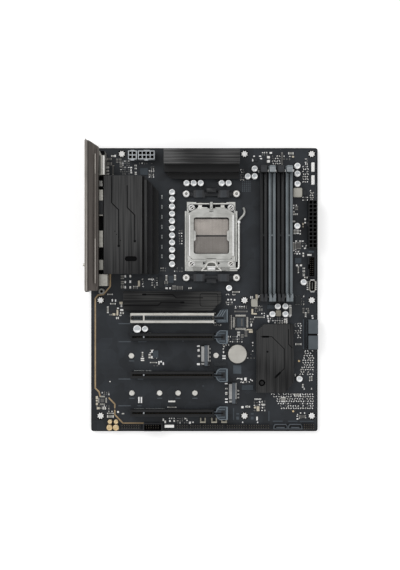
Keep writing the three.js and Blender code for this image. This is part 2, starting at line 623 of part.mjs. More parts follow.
const latchPivotY = up(memory.railEndDown) + memoryLatch.stem / 2 + memoryLatch.hook + gap;
const memorySlotSolid = memorySlot();
const memoryLatchSolid = latchForMemory();
memoryRows.forEach((x, i) => {
	const plastic = i % 2 ? greyPlastic : blackPlastic;
	add(`memory_slot_${i + 1}`, memorySlotSolid, plastic, x, 0, top);
	add(`memory_latch_${i + 1}`, memoryLatchSolid, plastic, x, latchPivotY, top + memoryLatch.pivotZ);
});

// --------------------------------------------------------------------------------------------------------
// Expansion slots
// --------------------------------------------------------------------------------------------------------

function expansionSlot(width) {
	const half = slot.width / 2;
	const body = block(0, slot.length, -width / 2, width / 2, 0, slot.height);
	const tail = [-1, 1].map((side) => {
		const inner = slotLatch.stemWidth / 2 + gap;
		const [y0, y1] = side < 0 ? [-half, -inner] : [inner, half];
		return block(slot.length - past, slot.length + slot.tail, y0, y1, 0, slot.tailHeight);
	});
	const floor = slot.height - slot.grooveDepth;
	const groove = (x0, x1) => block(x0, x1, -slot.groove / 2, slot.groove / 2, floor, slot.height + past);
	return cut(
		join(body, ...tail),
		groove(slot.endWall, slot.keyX), groove(slot.keyX + slot.keyWidth, slot.length - slot.endWall));
}

// The latch at its pivot: a stem between the slot's cheeks, a hook towards the card, and a paddle to press
function latchForSlot(paddle) {
	const { stemWidth, stemDepth, hookReach, hookThickness, height, pivotZ, paddleThickness } = slotLatch;
	const roof = height - pivotZ;
	const half = stemWidth / 2;
	const stem = block(
		-stemDepth / 2, stemDepth / 2, -half, half, -slotLatch.stemFoot, roof - hookThickness / 2);
	const hook = block(-stemDepth / 2 - hookReach, 0, -half, half, roof - hookThickness, roof);
	return join(stem, hook, prism(paddle, roof - paddleThickness, roof));
}

function roundedPaddle() {
	const { stemDepth, paddleLength: length, paddleHalf: half, paddleCorner: corner } = slotLatch;
	const { paddleTaper: taper } = slotLatch;
	const x = -stemDepth / 2;
	return [
		[x, -half + corner], [x + corner * 0.5, -half + corner * 0.3], [x + corner * 1.2, -half],
		[x + length, -half + taper], [x + length, half - taper],
		[x + corner * 1.2, half], [x + corner * 0.5, half - corner * 0.3], [x, half - corner],
	];
}

function widePaddle() {
	const { stemDepth, paddleLength: length, wideHalf: half, wideLower: lower, wideCorner: corner } = slotLatch;
	const { paddleTaper: taper } = slotLatch;
	const x = -stemDepth / 2;
	return [
		[x, -lower + taper], [x + taper, -lower], [x + length, -lower], [x + length, half],
		[x + corner, half], [x, half - corner - taper],
	];
}

const slotSolid = expansionSlot(slot.width);
const jacketedSlot = expansionSlot(slot.jacketWidth);
const latchX = slot.left + slot.length + slotLatch.hookReach + slotLatch.stemDepth / 2 + gap;
slotRows.forEach((y, i) => {
	const [solid, outside] = i === 0 ? [jacketedSlot, stampedSteel] : [slotSolid, blackPlastic];
	add(`expansion_slot_${i + 1}`, solid, outside, slot.left, y, top);
	const latch = latchForSlot(i === 0 ? widePaddle() : roundedPaddle());
	add(`slot_latch_${i + 1}`, latch, smokePlastic, latchX, y, top + slotLatch.pivotZ);
});

// --------------------------------------------------------------------------------------------------------
// Heatsinks, and what they cool
// --------------------------------------------------------------------------------------------------------

// Notches for grooves of equal width and spacing, between two marks along a section
function grooveNotches(start, end, count, width, roof, depth) {
	const step = (end - start) / count;
	return Array.from({ length: count }, (_, i) => start + step * (i + 0.5)).flatMap((middle) => [
		[middle - width / 2, roof], [middle - width / 2, roof - depth],
		[middle + width / 2, roof - depth], [middle + width / 2, roof],
	]);
}

function leftHeatsink() {
	const s = leftSink;
	const terrace = s.topWidth + s.terraceWidth;
	const terraceTop = s.height - s.terraceDrop;
	const step = terrace + s.stepWidth;
	const section = [
		[0, s.base], [s.width, s.base], [s.width, s.height - s.lowDrop],
		[step + s.stepSlope, s.height - s.lowDrop], [step, s.height - s.stepDrop],
		[terrace + s.stepSlope, s.height - s.stepDrop], [terrace, terraceTop],
		...grooveNotches(s.topWidth, terrace, s.grooves, s.groove, terraceTop, s.grooveDepth).reverse(),
		[s.topWidth, terraceTop], [s.topWidth, s.height], [0, s.height],
	];
	const depth = s.lowerDown - s.upperDown;
	const cornerCut = prism([
		[s.width - s.cornerCut, depth + past], [s.width + past, depth - s.cornerCut],
		[s.width + past, depth + past],
	], s.base - past, s.height + past);
	const inset = s.legRadius + s.legInset;
	const legs = [[inset, inset], [s.topWidth, inset], [inset, depth - inset]].map(([x, y]) =>
		rod(s.legRadius, x, y, 0, s.base + past));
	const ovalSlot = prism(roundedRectangle(
		s.topWidth / 2, s.topWidth / 2 + s.slotWidth, s.slotWidth, s.slotWidth + s.slotDepth,
		s.slotDepth * 0.48), s.height - s.slotSink, s.height + past);
	return cut(join(runAlongY(section, 0, depth), ...legs), cornerCut, ovalSlot);
}

function topHeatsink() {
	const s = topSink;
	const depth = s.lowerDown - s.upperDown;
	const topEdge = depth - s.topDepth;
	const step = topEdge - s.stepDepth;
	const section = [
		[0, leftSink.base], [depth, leftSink.base], [depth, s.height],
		...grooveNotches(topEdge, depth, s.grooves, s.groove, s.height, s.grooveDepth).reverse(),
		[topEdge, s.height], [topEdge - s.stepSlope, s.height - s.stepDrop], [step, s.height - s.stepDrop],
		[step - s.stepSlope, s.height - s.lowDrop], [0, s.height - s.lowDrop],
	];
	const cornerCut = prism(
		[[-past, -past], [s.cornerCut, -past], [-past, s.cornerCut]], leftSink.base - past, s.height + past);
	const inset = leftSink.legRadius + leftSink.legInset;
	const legs = [inset, s.width - inset].map((x) =>
		rod(leftSink.legRadius, x, depth - inset, 0, leftSink.base + past));
	return cut(join(runAlongX(section, 0, s.width), ...legs), cornerCut);
}

// Power chokes in a row along Y, under the soft pad that bridges them to the heatsink
function chokeBank(count) {
	const half = chokes.size / 2;
	const bodies = Array.from({ length: count }, (_, i) =>
		block(-half, half, i * chokes.pitch - half, i * chokes.pitch + half, 0, chokes.height));
	const bridge = block(
		-chokes.padWidth / 2, chokes.padWidth / 2, -half, (count - 1) * chokes.pitch + half,
		chokes.height - chokes.padSink, leftSink.base);
	return join(...bodies, bridge);
}

function driveHeatsink() {
	const s = driveSink;
	const depth = s.lowerDown - s.upperDown;
	const roof = s.underside + s.thickness;
	const outline = [[0, 0], [s.width - s.cornerCut, 0], [s.width, s.cornerCut], [s.width, depth], [0, depth]];
	const legs = [0, s.width - s.cornerCut - s.legWidth].map((x) =>
		block(x, x + s.legWidth, s.legInset, depth - s.legInset, 0, s.underside + past));
	const grooveLine = block(
		s.width / 2, s.width - s.cornerCut, depth / 2, depth / 2 + s.groove, roof - s.grooveSink, roof + past);
	return cut(join(prism(outline, s.underside, roof), ...legs), grooveLine);
}

function chipsetHeatsink() {
	const s = chipSink;
	const underside = chipPackage.height;
	const roof = underside + s.thickness;
	const outline = [
		[0, 0], [s.width - s.lowerCut, 0], [s.width, s.lowerCut * 1.2], [s.width, s.depth],
		[s.upperCut, s.depth], [0, s.depth - s.upperCut * 0.9],
	];
	const bossHole = rod(s.bossRadius, s.bossRadius * 2, s.bossRadius * 3.4, roof - past, roof + past);
	const legInset = s.legRadius * 2;
	const legs = [[legInset, s.depth - s.upperCut * 2], [s.width - legInset, s.lowerCut * 2]].map(([x, y]) =>
		rod(s.legRadius, x, y, 0, underside + past, smallSides));
	return cut(join(prism(outline, underside, roof), ...legs), bossHole);
}

add('vrm_heatsink', leftHeatsink(), anodised, leftSink.x, up(leftSink.lowerDown), top);
add('top_heatsink', topHeatsink(), anodised, topSink.x, up(topSink.lowerDown), top);
add('m2_heatsink', driveHeatsink(), anodised, driveSink.x, up(driveSink.lowerDown), top);
add('chipset_heatsink', chipsetHeatsink(), anodised, chipSinkX, up(chipSink.lowerDown), top);

const chokeX = leftSink.x + leftSink.width - chokes.size / 2 - chokes.inset;
const chokeStart = up(leftSink.lowerDown) + chokes.size;
add('choke_bank_left', chokeBank(chokes.leftCount), ferrite, chokeX, chokeStart, top);
const topChokeX = topSink.x + topSink.cornerCut + chokes.size;
const topChokeY = up(topSink.lowerDown) + chokes.size / 2 + chokes.inset;
add('choke_bank_top', chokeBank(chokes.topCount).rotate([0, 0, -90]), ferrite, topChokeX, topChokeY, top);

const packageHalf = chipPackage.size / 2;
const packageSolid = block(-packageHalf, packageHalf, -packageHalf, packageHalf, 0, chipPackage.height);
add('chipset_package', packageSolid, blackPlastic,
	chipSinkX + chipSink.width / 2, up(chipSink.lowerDown) + chipSink.depth / 2, top);

// --------------------------------------------------------------------------------------------------------
// Output capacitors, each row on its copper pour
// --------------------------------------------------------------------------------------------------------

function capacitorRow(places) {
	const half = capacitor.base / 2;
	const cans = places.flatMap(([x, y]) => [
		block(x - half, x + half, y - half, y + half, 0, capacitor.baseHeight),
		rod(capacitor.radius, x, y, capacitor.baseHeight / 2, capacitor.height, canSides),
	]);
	const xs = places.map(([x]) => x);
	const ys = places.map(([, y]) => y);
	const pour = block(
		Math.min(...xs) - capacitor.pourWidth / 2, Math.max(...xs) + capacitor.pourWidth / 2,
		Math.min(...ys) - capacitor.pourWidth / 2, Math.max(...ys) + capacitor.pourWidth / 2, 0, capacitor.pour);
	return join(pour, ...cans);
}

const leftPlaces = Array.from({ length: leftCapacitors.count }, (_, i) => [0, -i * leftCapacitors.pitch]);
const topPlaces = topCapacitors.places.map((x) => [x, 0]);
add('output_capacitors_left', capacitorRow(leftPlaces), canAluminium,
	leftCapacitors.x, up(leftCapacitors.firstDown), top);
add('output_capacitors_top', capacitorRow(topPlaces), canAluminium, 0, up(topCapacitors.down), top);

// --------------------------------------------------------------------------------------------------------
// Rear panel and its ports
// --------------------------------------------------------------------------------------------------------

const panelY = (length) => [up(rearPanel.middleDown) - length / 2, up(rearPanel.middleDown) + length / 2];
const panelZ = (height) => [rearPanel.middleZ - height / 2, rearPanel.middleZ + height / 2];
const usbColumns = Array.from({ length: usbPorts.columns }, (_, i) => up(usbPorts.down) + i * usbPorts.pitch);

// Each mouth in the panel, around one port: the middle's Y, the lowest Z, the width and the height
const displayMiddle = up(displayPorts.down) + displayPorts.width / 2;
const networkMiddle = up(networkPorts.down) + networkPorts.width / 2;
const displayMouths = [
	[displayMiddle, displayPorts.largeZ, displayPorts.largeWidth, displayPorts.largeHeight],
	[displayMiddle, displayPorts.smallZ, displayPorts.smallWidth, displayPorts.smallHeight],
];
const usbMouths = usbColumns.flatMap((y) => usbPorts.levels.map((z) =>
	[y + usbPorts.width / 2, z, usbPorts.portWidth, usbPorts.portHeight]));
const networkUsbMouths = networkPorts.usbLevels.map((z) =>
	[networkMiddle, z, usbPorts.portWidth, usbPorts.portHeight]);
const jackMouth = [networkMiddle, networkPorts.jackZ, networkPorts.jackWidth, networkPorts.jackHeight];

function ioShield() {
	const back = panelFront + rearPanel.depth;
	const [y0, y1] = panelY(rearPanel.length);
	const [z0, z1] = panelZ(rearPanel.height);
	const [flangeY0, flangeY1] = panelY(rearPanel.flangeLength);
	const [flangeZ0, flangeZ1] = panelZ(rearPanel.flangeHeight);
	const { sheet } = rearPanel;
	const flangeX = panelFront + rearPanel.flangeSetBack;
	const tray = block(panelFront, back, y0, y1, z0, z1);
	const flange = block(flangeX, flangeX + sheet, flangeY0, flangeY1, flangeZ0, flangeZ1);
	const inside = block(panelInside, back + past, y0 + sheet, y1 - sheet, z0 + sheet, z1 - sheet);
	const from = panelFront - past;
	const to = panelInside + past;
	const c = ports.clearance;
	const portCuts = [...displayMouths, ...usbMouths, ...networkUsbMouths, jackMouth].map(([y, z, w, h]) =>
		block(from, to, y - w / 2 - c, y + w / 2 + c, top + z - c, top + z + h + c));
	const jackCuts = audio.levels.map((z) =>
		rodAlongX(audio.jackRadius + gap, from, to, up(audio.down) + audio.width / 2, top + z));
	const antennaCuts = wireless.antennaZ.map((z) => rodAlongX(
		wireless.antennaRadius + gap, from, to, up(wireless.down) + wireless.width / 2, top + z, smallSides));
	const buttonCut = rodAlongX(flash.radius + gap, from, to, up(flash.down), top + flash.z, smallSides);
	return cut(join(tray, flange), inside, ...portCuts, ...jackCuts, ...antennaCuts, buttonCut);
}

// A folded sheet over the ports, held by the panel's rim and standing on the port shells
function ioCover() {
	const { reach, fold, sheet: t } = cover;
	const start = panelFront + rearPanel.depth;
	const end = up(cover.startDown) + cover.length;
	const roof = panelTop;
	const foot = top + cover.foot;
	const kneeX = reach - fold;
	const kneeZ = roof - cover.slope;
	const section = [
		[start, roof - t], [kneeX - t / 2, kneeZ - t], [reach - t, kneeZ - fold - t / 2], [reach - t, foot],
		[reach, foot], [reach, kneeZ - fold], [kneeX, kneeZ], [start, roof],
	];
	const upperCut = prism([
		[start, end + past], [reach + past, end - cover.upperCut], [reach + past, end + past],
	], foot - past, roof + past);
	const lowerCut = prism([
		[reach + past, up(cover.startDown) - past], [reach + past, up(cover.startDown) + cover.lowerCut],
		[reach - cover.lowerCut, up(cover.startDown) - past],
	], foot - past, roof + past);
	return cut(runAlongY(section, up(cover.startDown), end), upperCut, lowerCut);
}

// A port's mouth with the tongue of contacts in it
function mouthWithTongue([y, z, width, height]) {
	const { mouthDepth, tongue, tongueWidth, tongueDrop, tongueSink } = ports;
	const back = portFront + mouthDepth;
	const pocket = block(portFront - past, back, y - width / 2, y + width / 2, z, z + height);
	const contacts = block(
		portFront, back + tongueSink, y - tongueWidth / 2, y + tongueWidth / 2,
		z + height - tongue - tongueDrop, z + height - tongueDrop);
	return cut(pocket, contacts);
}

function portBody(y0, y1, back, height) {
	return block(portFront, back, y0, y1, 0, height);
}

function displayPortsBody() {
	const { width, back, height } = displayPorts;
	const y = up(displayPorts.down);
	return cut(portBody(y, y + width, back, height), ...displayMouths.map(mouthWithTongue));
}

function usbPortsBody() {
	const { pitch, width, height, columns } = usbPorts;
	const y = up(usbPorts.down);
	const body = portBody(y, y + pitch * (columns - 1) + width, ports.back, height);
	return cut(body, ...usbMouths.map(mouthWithTongue));
}

function networkPortsBody() {
	const { width, height, jackWidth, jackHeight, jackZ, jackDepth } = networkPorts;
	const y = up(networkPorts.down);
	const jack = block(
		portFront - past, portFront + jackDepth, networkMiddle - jackWidth / 2, networkMiddle + jackWidth / 2,
		jackZ, jackZ + jackHeight);
	return cut(portBody(y, y + width, ports.back, height), jack, ...networkUsbMouths.map(mouthWithTongue));
}

function wirelessModule() {
	const { width, back, height, antennaRadius, antennaTip, antennaZ } = wireless;
	const y = up(wireless.down);
	const antennas = antennaZ.map((z) => rodAlongX(
		antennaRadius, panelFront - antennaTip, portFront + past, y + width / 2, z, smallSides));
	return join(portBody(y, y + width, back, height), ...antennas);
}

function audioJacks() {
	const { width, back, height, levels, jackRadius, boreRadius, boreDepth } = audio;
	const y = up(audio.down);
	const middle = y + width / 2;
	const collars = levels.map((z) => rodAlongX(jackRadius, panelFront, portFront + past, middle, z));
	const bores = levels.map((z) =>
		rodAlongX(boreRadius, panelFront - past, panelFront + boreDepth, middle, z, smallSides));
	return cut(join(portBody(y, y + width, back, height), ...collars), ...bores);
}

function flashSwitch() {
	const { z, bodyWidth, bodyBack, bodyHeight, radius, flare, stroke, wellRoom } = flash;
	const y = up(flash.down);
	const body = portBody(y - bodyWidth / 2, y + bodyWidth / 2, bodyBack, bodyHeight);
	const well = rodAlongX(radius + flare + gap, portFront - past, portFront + stroke + wellRoom, y, z);
	return cut(body, well);
}

function flashButton() {
	const { radius, proud, flare, capEnd, collarStart, collarEnd } = flash;
	const cap = rodAlongX(radius, panelFront - proud, portFront + capEnd, 0, 0);
	const collar = rodAlongX(radius + flare, portFront + collarStart, portFront + collarEnd, 0, 0);
	return join(cap, collar);
}

add('io_shield', ioShield(), panelFinish);
add('io_cover', ioCover(), coverFinish);
add('display_ports', displayPortsBody(), shellSteel, 0, 0, top);
add('usb_ports', usbPortsBody(), shellSteel, 0, 0, top);
add('network_ports', networkPortsBody(), shellSteel, 0, 0, top);
add('wireless_module', wirelessModule(), shellSteel, 0, 0, top);
add('audio_jacks', audioJacks(), shellSteel, 0, 0, top);
add('flash_switch', flashSwitch(), shellSteel, 0, 0, top);
add('flash_button', flashButton(), blackPlastic, 0, up(flash.down), top + flash.z);

// --------------------------------------------------------------------------------------------------------
// Power connectors, battery, sockets and headers
// --------------------------------------------------------------------------------------------------------

// A housing with one square well for each pin and the ramp that holds the plug's clip
function powerConnector(columns, rows, clipSide) {
	const { pitch, wall, height, floor, clip, clipSink } = powerPin;
	const width = columns * pitch + wall;
	const depth = rows * pitch + wall;
	const body = block(0, width, 0, depth, 0, height);
	const wells = [];
	for (let i = 0; i < columns; i ++) {
		for (let j = 0; j < rows; j ++) {
			const x = wall + i * pitch;
			const y = wall + j * pitch;
			wells.push(block(x, x + pitch - wall, y, y + pitch - wall, floor, height + past));
		}
	}
	const ramp = clipSide === 'x'
		? block(-clip, clipSink, depth / 2 - pitch / 2, depth / 2 + pitch / 2, height - pitch, height)
		: block(width / 2 - pitch / 2, width / 2 + pitch / 2, -clip, clipSink, height - pitch, height);
	return cut(join(body, ramp), ...wells);
}

function batteryHolder() {
	const base = rod(battery.holder, 0, 0, 0, battery.holderHeight);
	const clipTop = battery.holderHeight + battery.thickness - battery.clipDrop;
	const clips = [-1, 1].map((side) => {
		const x0 = side < 0 ? -battery.holder - battery.clipReach : battery.radius + gap;
		const x1 = side < 0 ? -battery.radius - gap : battery.holder + battery.clipReach;
		return block(x0, x1, -battery.clipWidth / 2, battery.clipWidth / 2, 0, clipTop);
	});
	return join(base, ...clips);
}

function m2Socket() {
	const s = driveSocket;
	const groove = block(
		-past, s.grooveDepth, s.grooveEnd, s.length - s.grooveEnd, s.grooveZ, s.grooveZ + s.groove);
	return cut(block(0, s.width, 0, s.length, 0, s.height), groove);
}

function sataPorts() {
	const blocks = [0, 1].map((i) => {
		const y0 = i * (sata.blockLength + sata.split);
		const mouth = y0 + (sata.blockLength - sata.portWidth) / 2;
		return cut(
			block(0, sata.width, y0, y0 + sata.blockLength, 0, sata.height),
			...sata.levels.map((z) => block(
				sata.width - sata.portDepth, sata.width + past, mouth, mouth + sata.portWidth,
				z, z + sata.portHeight)));
	});
	const spine = block(
		0, sata.spine, sata.blockLength - past, sata.blockLength + sata.split + past, 0, sata.height / 2);
	return join(...blocks, spine);
}

function usbThreeHeader() {
	const s = usbHeader;
	const cavity = block(s.wall, s.width - s.wall, s.wall, s.length - s.wall, s.floor, s.height + past);
	const key = block(
		-past, s.wall + past, s.length / 2 - s.key / 2, s.length / 2 + s.key / 2, s.height / 2, s.height + past);
	return cut(block(0, s.width, 0, s.length, 0, s.height), cavity, key);
}

function usbTypeCHeader() {
	const s = typeCHeader;
	const shell = prism(roundedRectangle(0, s.width, 0, s.length, s.corner), 0, s.height);
	const [w, l] = [s.cavityWidth, s.cavityLength];
	const cavity = block(
		(s.width - w) / 2, (s.width + w) / 2, (s.length - l) / 2, (s.length + l) / 2,
		s.height - s.cavityDepth, s.height + past);
	return cut(shell, cavity);
}

add('cpu_power_4pin', powerConnector(2, 2, 'y'), greyPlastic, cpuPower.smallX, up(cpuPower.down), top);
add('cpu_power_8pin', powerConnector(4, 2, 'y'), greyPlastic, cpuPower.largeX, up(cpuPower.down), top);
add('main_power_24pin', powerConnector(2, 12, 'x'), blackPlastic,
	fromRight(mainPower), up(mainPower.down), top);
add('battery_holder', batteryHolder(), blackPlastic, batteryX, up(battery.down), top);
const cell = rod(battery.radius, 0, 0, 0, battery.thickness, battery.sides);
add('coin_cell', cell, cellSteel, batteryX, up(battery.down), top + battery.holderHeight);
Object.entries(driveSockets).forEach(([name, { x, down }]) =>
	add(`m2_socket_${name}`, m2Socket(), blackPlastic, x, up(down), top));
add('sata_ports', sataPorts(), greyPlastic, fromRight(sata), up(sata.lowerDown), top);
add('usb3_header', usbThreeHeader(), blackPlastic, fromRight(usbHeader), up(usbHeader.down), top);
add('usbc_header', usbTypeCHeader(), shellSteel, fromRight(typeCHeader), up(typeCHeader.down), top);

export default motherboard;
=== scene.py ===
"""Looks of a full-size desktop motherboard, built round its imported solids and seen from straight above."""

import json
import logging
import math
import random
from dataclasses import dataclass
from enum import Enum
from typing import Callable, Iterable, Sequence

import bmesh
import bpy
from mathutils import Matrix, Vector

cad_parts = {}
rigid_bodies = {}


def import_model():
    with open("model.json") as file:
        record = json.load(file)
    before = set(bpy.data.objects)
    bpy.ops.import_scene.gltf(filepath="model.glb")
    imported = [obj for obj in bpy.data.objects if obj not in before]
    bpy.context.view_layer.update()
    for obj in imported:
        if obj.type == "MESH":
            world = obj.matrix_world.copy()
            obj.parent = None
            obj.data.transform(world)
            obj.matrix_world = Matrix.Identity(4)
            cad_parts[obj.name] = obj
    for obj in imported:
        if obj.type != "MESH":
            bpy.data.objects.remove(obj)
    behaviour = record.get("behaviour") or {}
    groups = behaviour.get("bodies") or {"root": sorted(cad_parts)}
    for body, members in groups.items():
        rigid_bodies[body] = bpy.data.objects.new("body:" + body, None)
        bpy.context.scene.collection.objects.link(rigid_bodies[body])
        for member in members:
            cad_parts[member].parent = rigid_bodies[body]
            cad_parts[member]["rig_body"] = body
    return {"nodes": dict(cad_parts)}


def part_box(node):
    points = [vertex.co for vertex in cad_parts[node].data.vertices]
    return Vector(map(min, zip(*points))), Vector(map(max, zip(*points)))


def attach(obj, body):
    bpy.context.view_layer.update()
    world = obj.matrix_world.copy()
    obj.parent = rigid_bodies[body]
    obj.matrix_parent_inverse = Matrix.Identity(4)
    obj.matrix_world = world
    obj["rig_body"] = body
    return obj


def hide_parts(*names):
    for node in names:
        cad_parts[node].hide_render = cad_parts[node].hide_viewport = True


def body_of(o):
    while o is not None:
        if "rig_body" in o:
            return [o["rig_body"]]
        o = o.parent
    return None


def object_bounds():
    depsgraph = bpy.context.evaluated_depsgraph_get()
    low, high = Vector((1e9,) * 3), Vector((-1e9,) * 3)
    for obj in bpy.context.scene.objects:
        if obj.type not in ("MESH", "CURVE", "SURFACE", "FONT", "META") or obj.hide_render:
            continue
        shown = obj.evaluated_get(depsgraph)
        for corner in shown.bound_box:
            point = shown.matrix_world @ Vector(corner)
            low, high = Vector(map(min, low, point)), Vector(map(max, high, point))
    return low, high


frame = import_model()
cad_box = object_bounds()

log = logging.getLogger("motherboard")

MM = 0.001
BOARD_WIDTH = 243.84
BOARD_DEPTH = 304.8
TOP = 1.7  # component side of the laminate, mm above the seating plane
UNDER = 0.1  # solder side of the laminate
BODY = "board"
SOCKET_MIDDLE = (129.35, 210.2)
LAP = 0.1  # how far a raised detail reaches into what carries it, so that no gap shows
SUNK = 0.02  # the same for a small part on the lacquer
# Lengths below are in millimetres from the board's lower left corner. This takes them into the frame.
TO_FRAME = Matrix.Scale(MM, 4) @ Matrix.Translation((-BOARD_WIDTH / 2, -BOARD_DEPTH / 2, 0))

Point = tuple[float, float]
Span = tuple[float, float]


def linear(code: str) -> tuple[float, float, float, float]:
    """Turns an sRGB hex colour to the linear colour that a shader takes.

    Args:
        code: colour as "#RRGGBB".

    Returns:
        Red, green, blue and an alpha of 1.
    """
    parts = [int(code[i:i + 2], 16) / 255 for i in (1, 3, 5)]
    red, green, blue = (p / 12.92 if p <= 0.04045 else ((p + 0.055) / 1.055) ** 2.4 for p in parts)
    return red, green, blue, 1.0


def add_node(tree: bpy.types.NodeTree, kind: str, inputs: dict | None = None,
             **settings: object) -> bpy.types.Node:
    """Adds one shader node.

    Args:
        tree: the material's node tree.
        kind: the node's type name.
        inputs: a value or another node's output for each named or numbered input.
        settings: the node's own properties.

    Returns:
        The new node.
    """
    node = tree.nodes.new(kind)
    for key, value in settings.items():
        setattr(node, key, value)
    for key, value in (inputs or {}).items():
        if isinstance(value, bpy.types.NodeSocket):
            tree.links.new(value, node.inputs[key])
        else:
            node.inputs[key].default_value = value
    return node


# ----------------------------------------------------------------------------------------------------------
# Finishes
# ----------------------------------------------------------------------------------------------------------


class Grain(Enum):
    """How a surface was made, as the size in mm of its grain along x, y and z."""

    MOULDED = (0.5, 0.5, 0.5)
    BRUSHED_ACROSS = (90.0, 1.6, 1.6)
    BRUSHED_ALONG = (1.6, 90.0, 1.6)
    ROLLED = (6.0, 2.5, 2.5)
    PLATED = (2.0, 2.0, 2.0)
    INKED = (0.7, 0.7, 0.7)
    FIRED = (1.4, 1.4, 1.4)


@dataclass(frozen=True)
class Finish:
    """A surface finish: its colours, its gloss, and the grain that its making leaves."""

    name: str
    slot: str
    colour: str
    second: str
    roughness: float
    metallic: float = 0.0
    grain: Grain = Grain.MOULDED
    ior: float = 1.5
    bump: float = 0.01
    blotch: float = 14.0
    contrast: float = 1.0  # how far apart the grain drives the two colours
    gloss: float = 0.35  # how strongly a surface that isn't metal mirrors what is over it

    def material(self) -> bpy.types.Material:
        """Makes the material, or returns the one that is already made.

        Returns:
            The procedural material.
        """
        made = bpy.data.materials.get(self.name)
        if made:
            return made
        made = bpy.data.materials.new(self.name)
        made.use_nodes = True
        tree = made.node_tree
        tree.nodes.clear()
        place = add_node(tree, "ShaderNodeTexCoord").outputs["Object"]
        colour, rough, height = self.pattern(tree, place)
        relief = add_node(tree, "ShaderNodeBump", {"Height": height, "Strength": 0.6,
                                                   "Distance": self.bump * MM})
        shader = add_node(tree, "ShaderNodeBsdfPrincipled", {
            "Base Color": colour, "Roughness": rough, "Normal": relief.outputs["Normal"],
            "Metallic": self.metallic})
        if not self.metallic:
            shader.inputs["IOR"].default_value = self.ior
            shader.inputs["Specular IOR Level"].default_value = self.gloss
        add_node(tree, "ShaderNodeOutputMaterial", {"Surface": shader.outputs["BSDF"]})
        return made

    def pattern(self, tree: bpy.types.NodeTree, place: bpy.types.NodeSocket) -> tuple:
        """Makes the grain and the broad, faint unevenness of the surface.

        Args:
            tree: the material's node tree.
            place: Object coordinates, in metres.

        Returns:
            Outputs for the colour, the roughness and the height of the relief.
        """
        scale = [1 / (size * MM) for size in self.grain.value]
        stretched = add_node(tree, "ShaderNodeMapping", {"Vector": place, "Scale": scale})
        fine = add_node(tree, "ShaderNodeTexNoise", {
            "Vector": stretched.outputs["Vector"], "Scale": 1.0, "Detail": 3.0, "Roughness": 0.6})
        broad = add_node(tree, "ShaderNodeTexNoise", {"Vector": place, "Scale": 1 / (self.blotch * MM),
                                                      "Detail": 1.0})
        both = add_node(tree, "ShaderNodeMath", {
            0: fine.outputs["Fac"], 1: broad.outputs["Fac"]}, operation="ADD")
        share = add_node(tree, "ShaderNodeMapRange", {"Value": both.outputs[0],
                                                      "From Min": 1 - 0.3 / self.contrast,
                                                      "From Max": 1 + 0.3 / self.contrast})
        colour = add_node(tree, "ShaderNodeMix", {
            "Factor": share.outputs[0], 6: linear(self.colour), 7: linear(self.second)}, data_type="RGBA")
        rough = add_node(tree, "ShaderNodeMapRange", {
            "Value": both.outputs[0], "From Min": 0.6, "From Max": 1.4,
            "To Min": self.roughness * 0.85, "To Max": min(1.0, self.roughness * 1.15)})
        return colour.outputs[2], rough.outputs[0], fine.outputs["Fac"]


@dataclass(frozen=True)
class SolderMask(Finish):
    """Dark solder mask over copper: bundles of fine tracks show through it as slightly lighter lines."""

    track: float = 1.3
    field: float = 17.0

    def pattern(self, tree: bpy.types.NodeTree, place: bpy.types.NodeSocket) -> tuple:
        """Makes patches of parallel tracks that run across, along or aslant, with plain copper between.

        Args:
            tree: the material's node tree.
            place: Object coordinates, in metres.

        Returns:
            Outputs for the colour, the roughness and the height of the relief.
        """
        patches = add_node(tree, "ShaderNodeTexVoronoi", {
            "Vector": place, "Scale": 1 / (self.field * MM), "Randomness": 0.9}, distance="MANHATTAN")
        pick = add_node(tree, "ShaderNodeSeparateColor", {"Color": patches.outputs["Color"]})
        lines = []
        for turn in (0.0, math.pi / 2, math.pi / 4):
            turned = add_node(tree, "ShaderNodeMapping", {"Vector": place, "Rotation": (0, 0, turn)})
            wave = add_node(tree, "ShaderNodeTexWave", {"Vector": turned.outputs["Vector"],
                                                        "Scale": 2 * math.pi / (20 * self.track * MM),
                                                        "Distortion": 0.0}, wave_profile="TRI")
            lines.append(add_node(tree, "ShaderNodeMapRange", {
                "Value": wave.outputs["Fac"], "From Min": 0.55, "From Max": 0.75}).outputs[0])
        first = add_node(tree, "ShaderNodeMath", {0: pick.outputs["Red"], 1: 0.4}, operation="GREATER_THAN")
        second = add_node(tree, "ShaderNodeMath", {0: pick.outputs["Red"], 1: 0.75}, operation="GREATER_THAN")
        across = add_node(tree, "ShaderNodeMix", {"Factor": first.outputs[0], 2: lines[0], 3: lines[1]})
        any_way = add_node(tree, "ShaderNodeMix", {"Factor": second.outputs[0], 2: across.outputs[0],
                                                   3: lines[2]})
        routed = add_node(tree, "ShaderNodeMath", {0: pick.outputs["Green"], 1: 0.42},
                          operation="GREATER_THAN")
        tracks = add_node(tree, "ShaderNodeMath", {
            0: any_way.outputs[0], 1: routed.outputs[0]}, operation="MULTIPLY")
        cloud = add_node(tree, "ShaderNodeTexNoise", {"Vector": place, "Scale": 1 / (self.blotch * MM),
                                                      "Detail": 3.0})
        faint = add_node(tree, "ShaderNodeMath", {0: tracks.outputs[0], 1: 0.45}, operation="MULTIPLY")
        share = add_node(tree, "ShaderNodeMath", {0: faint.outputs[0], 1: cloud.outputs["Fac"]},
                         operation="ADD")
        held = add_node(tree, "ShaderNodeMapRange", {"Value": share.outputs[0], "From Min": 0.3,
                                                     "From Max": 1.1})
        colour = add_node(tree, "ShaderNodeMix", {
            "Factor": held.outputs[0], 6: linear(self.colour), 7: linear(self.second)}, data_type="RGBA")
        rough = add_node(tree, "ShaderNodeMapRange", {
            "Value": cloud.outputs["Fac"], "To Min": self.roughness - 0.06, "To Max": self.roughness + 0.06})
        return colour.outputs[2], rough.outputs[0], tracks.outputs[0]


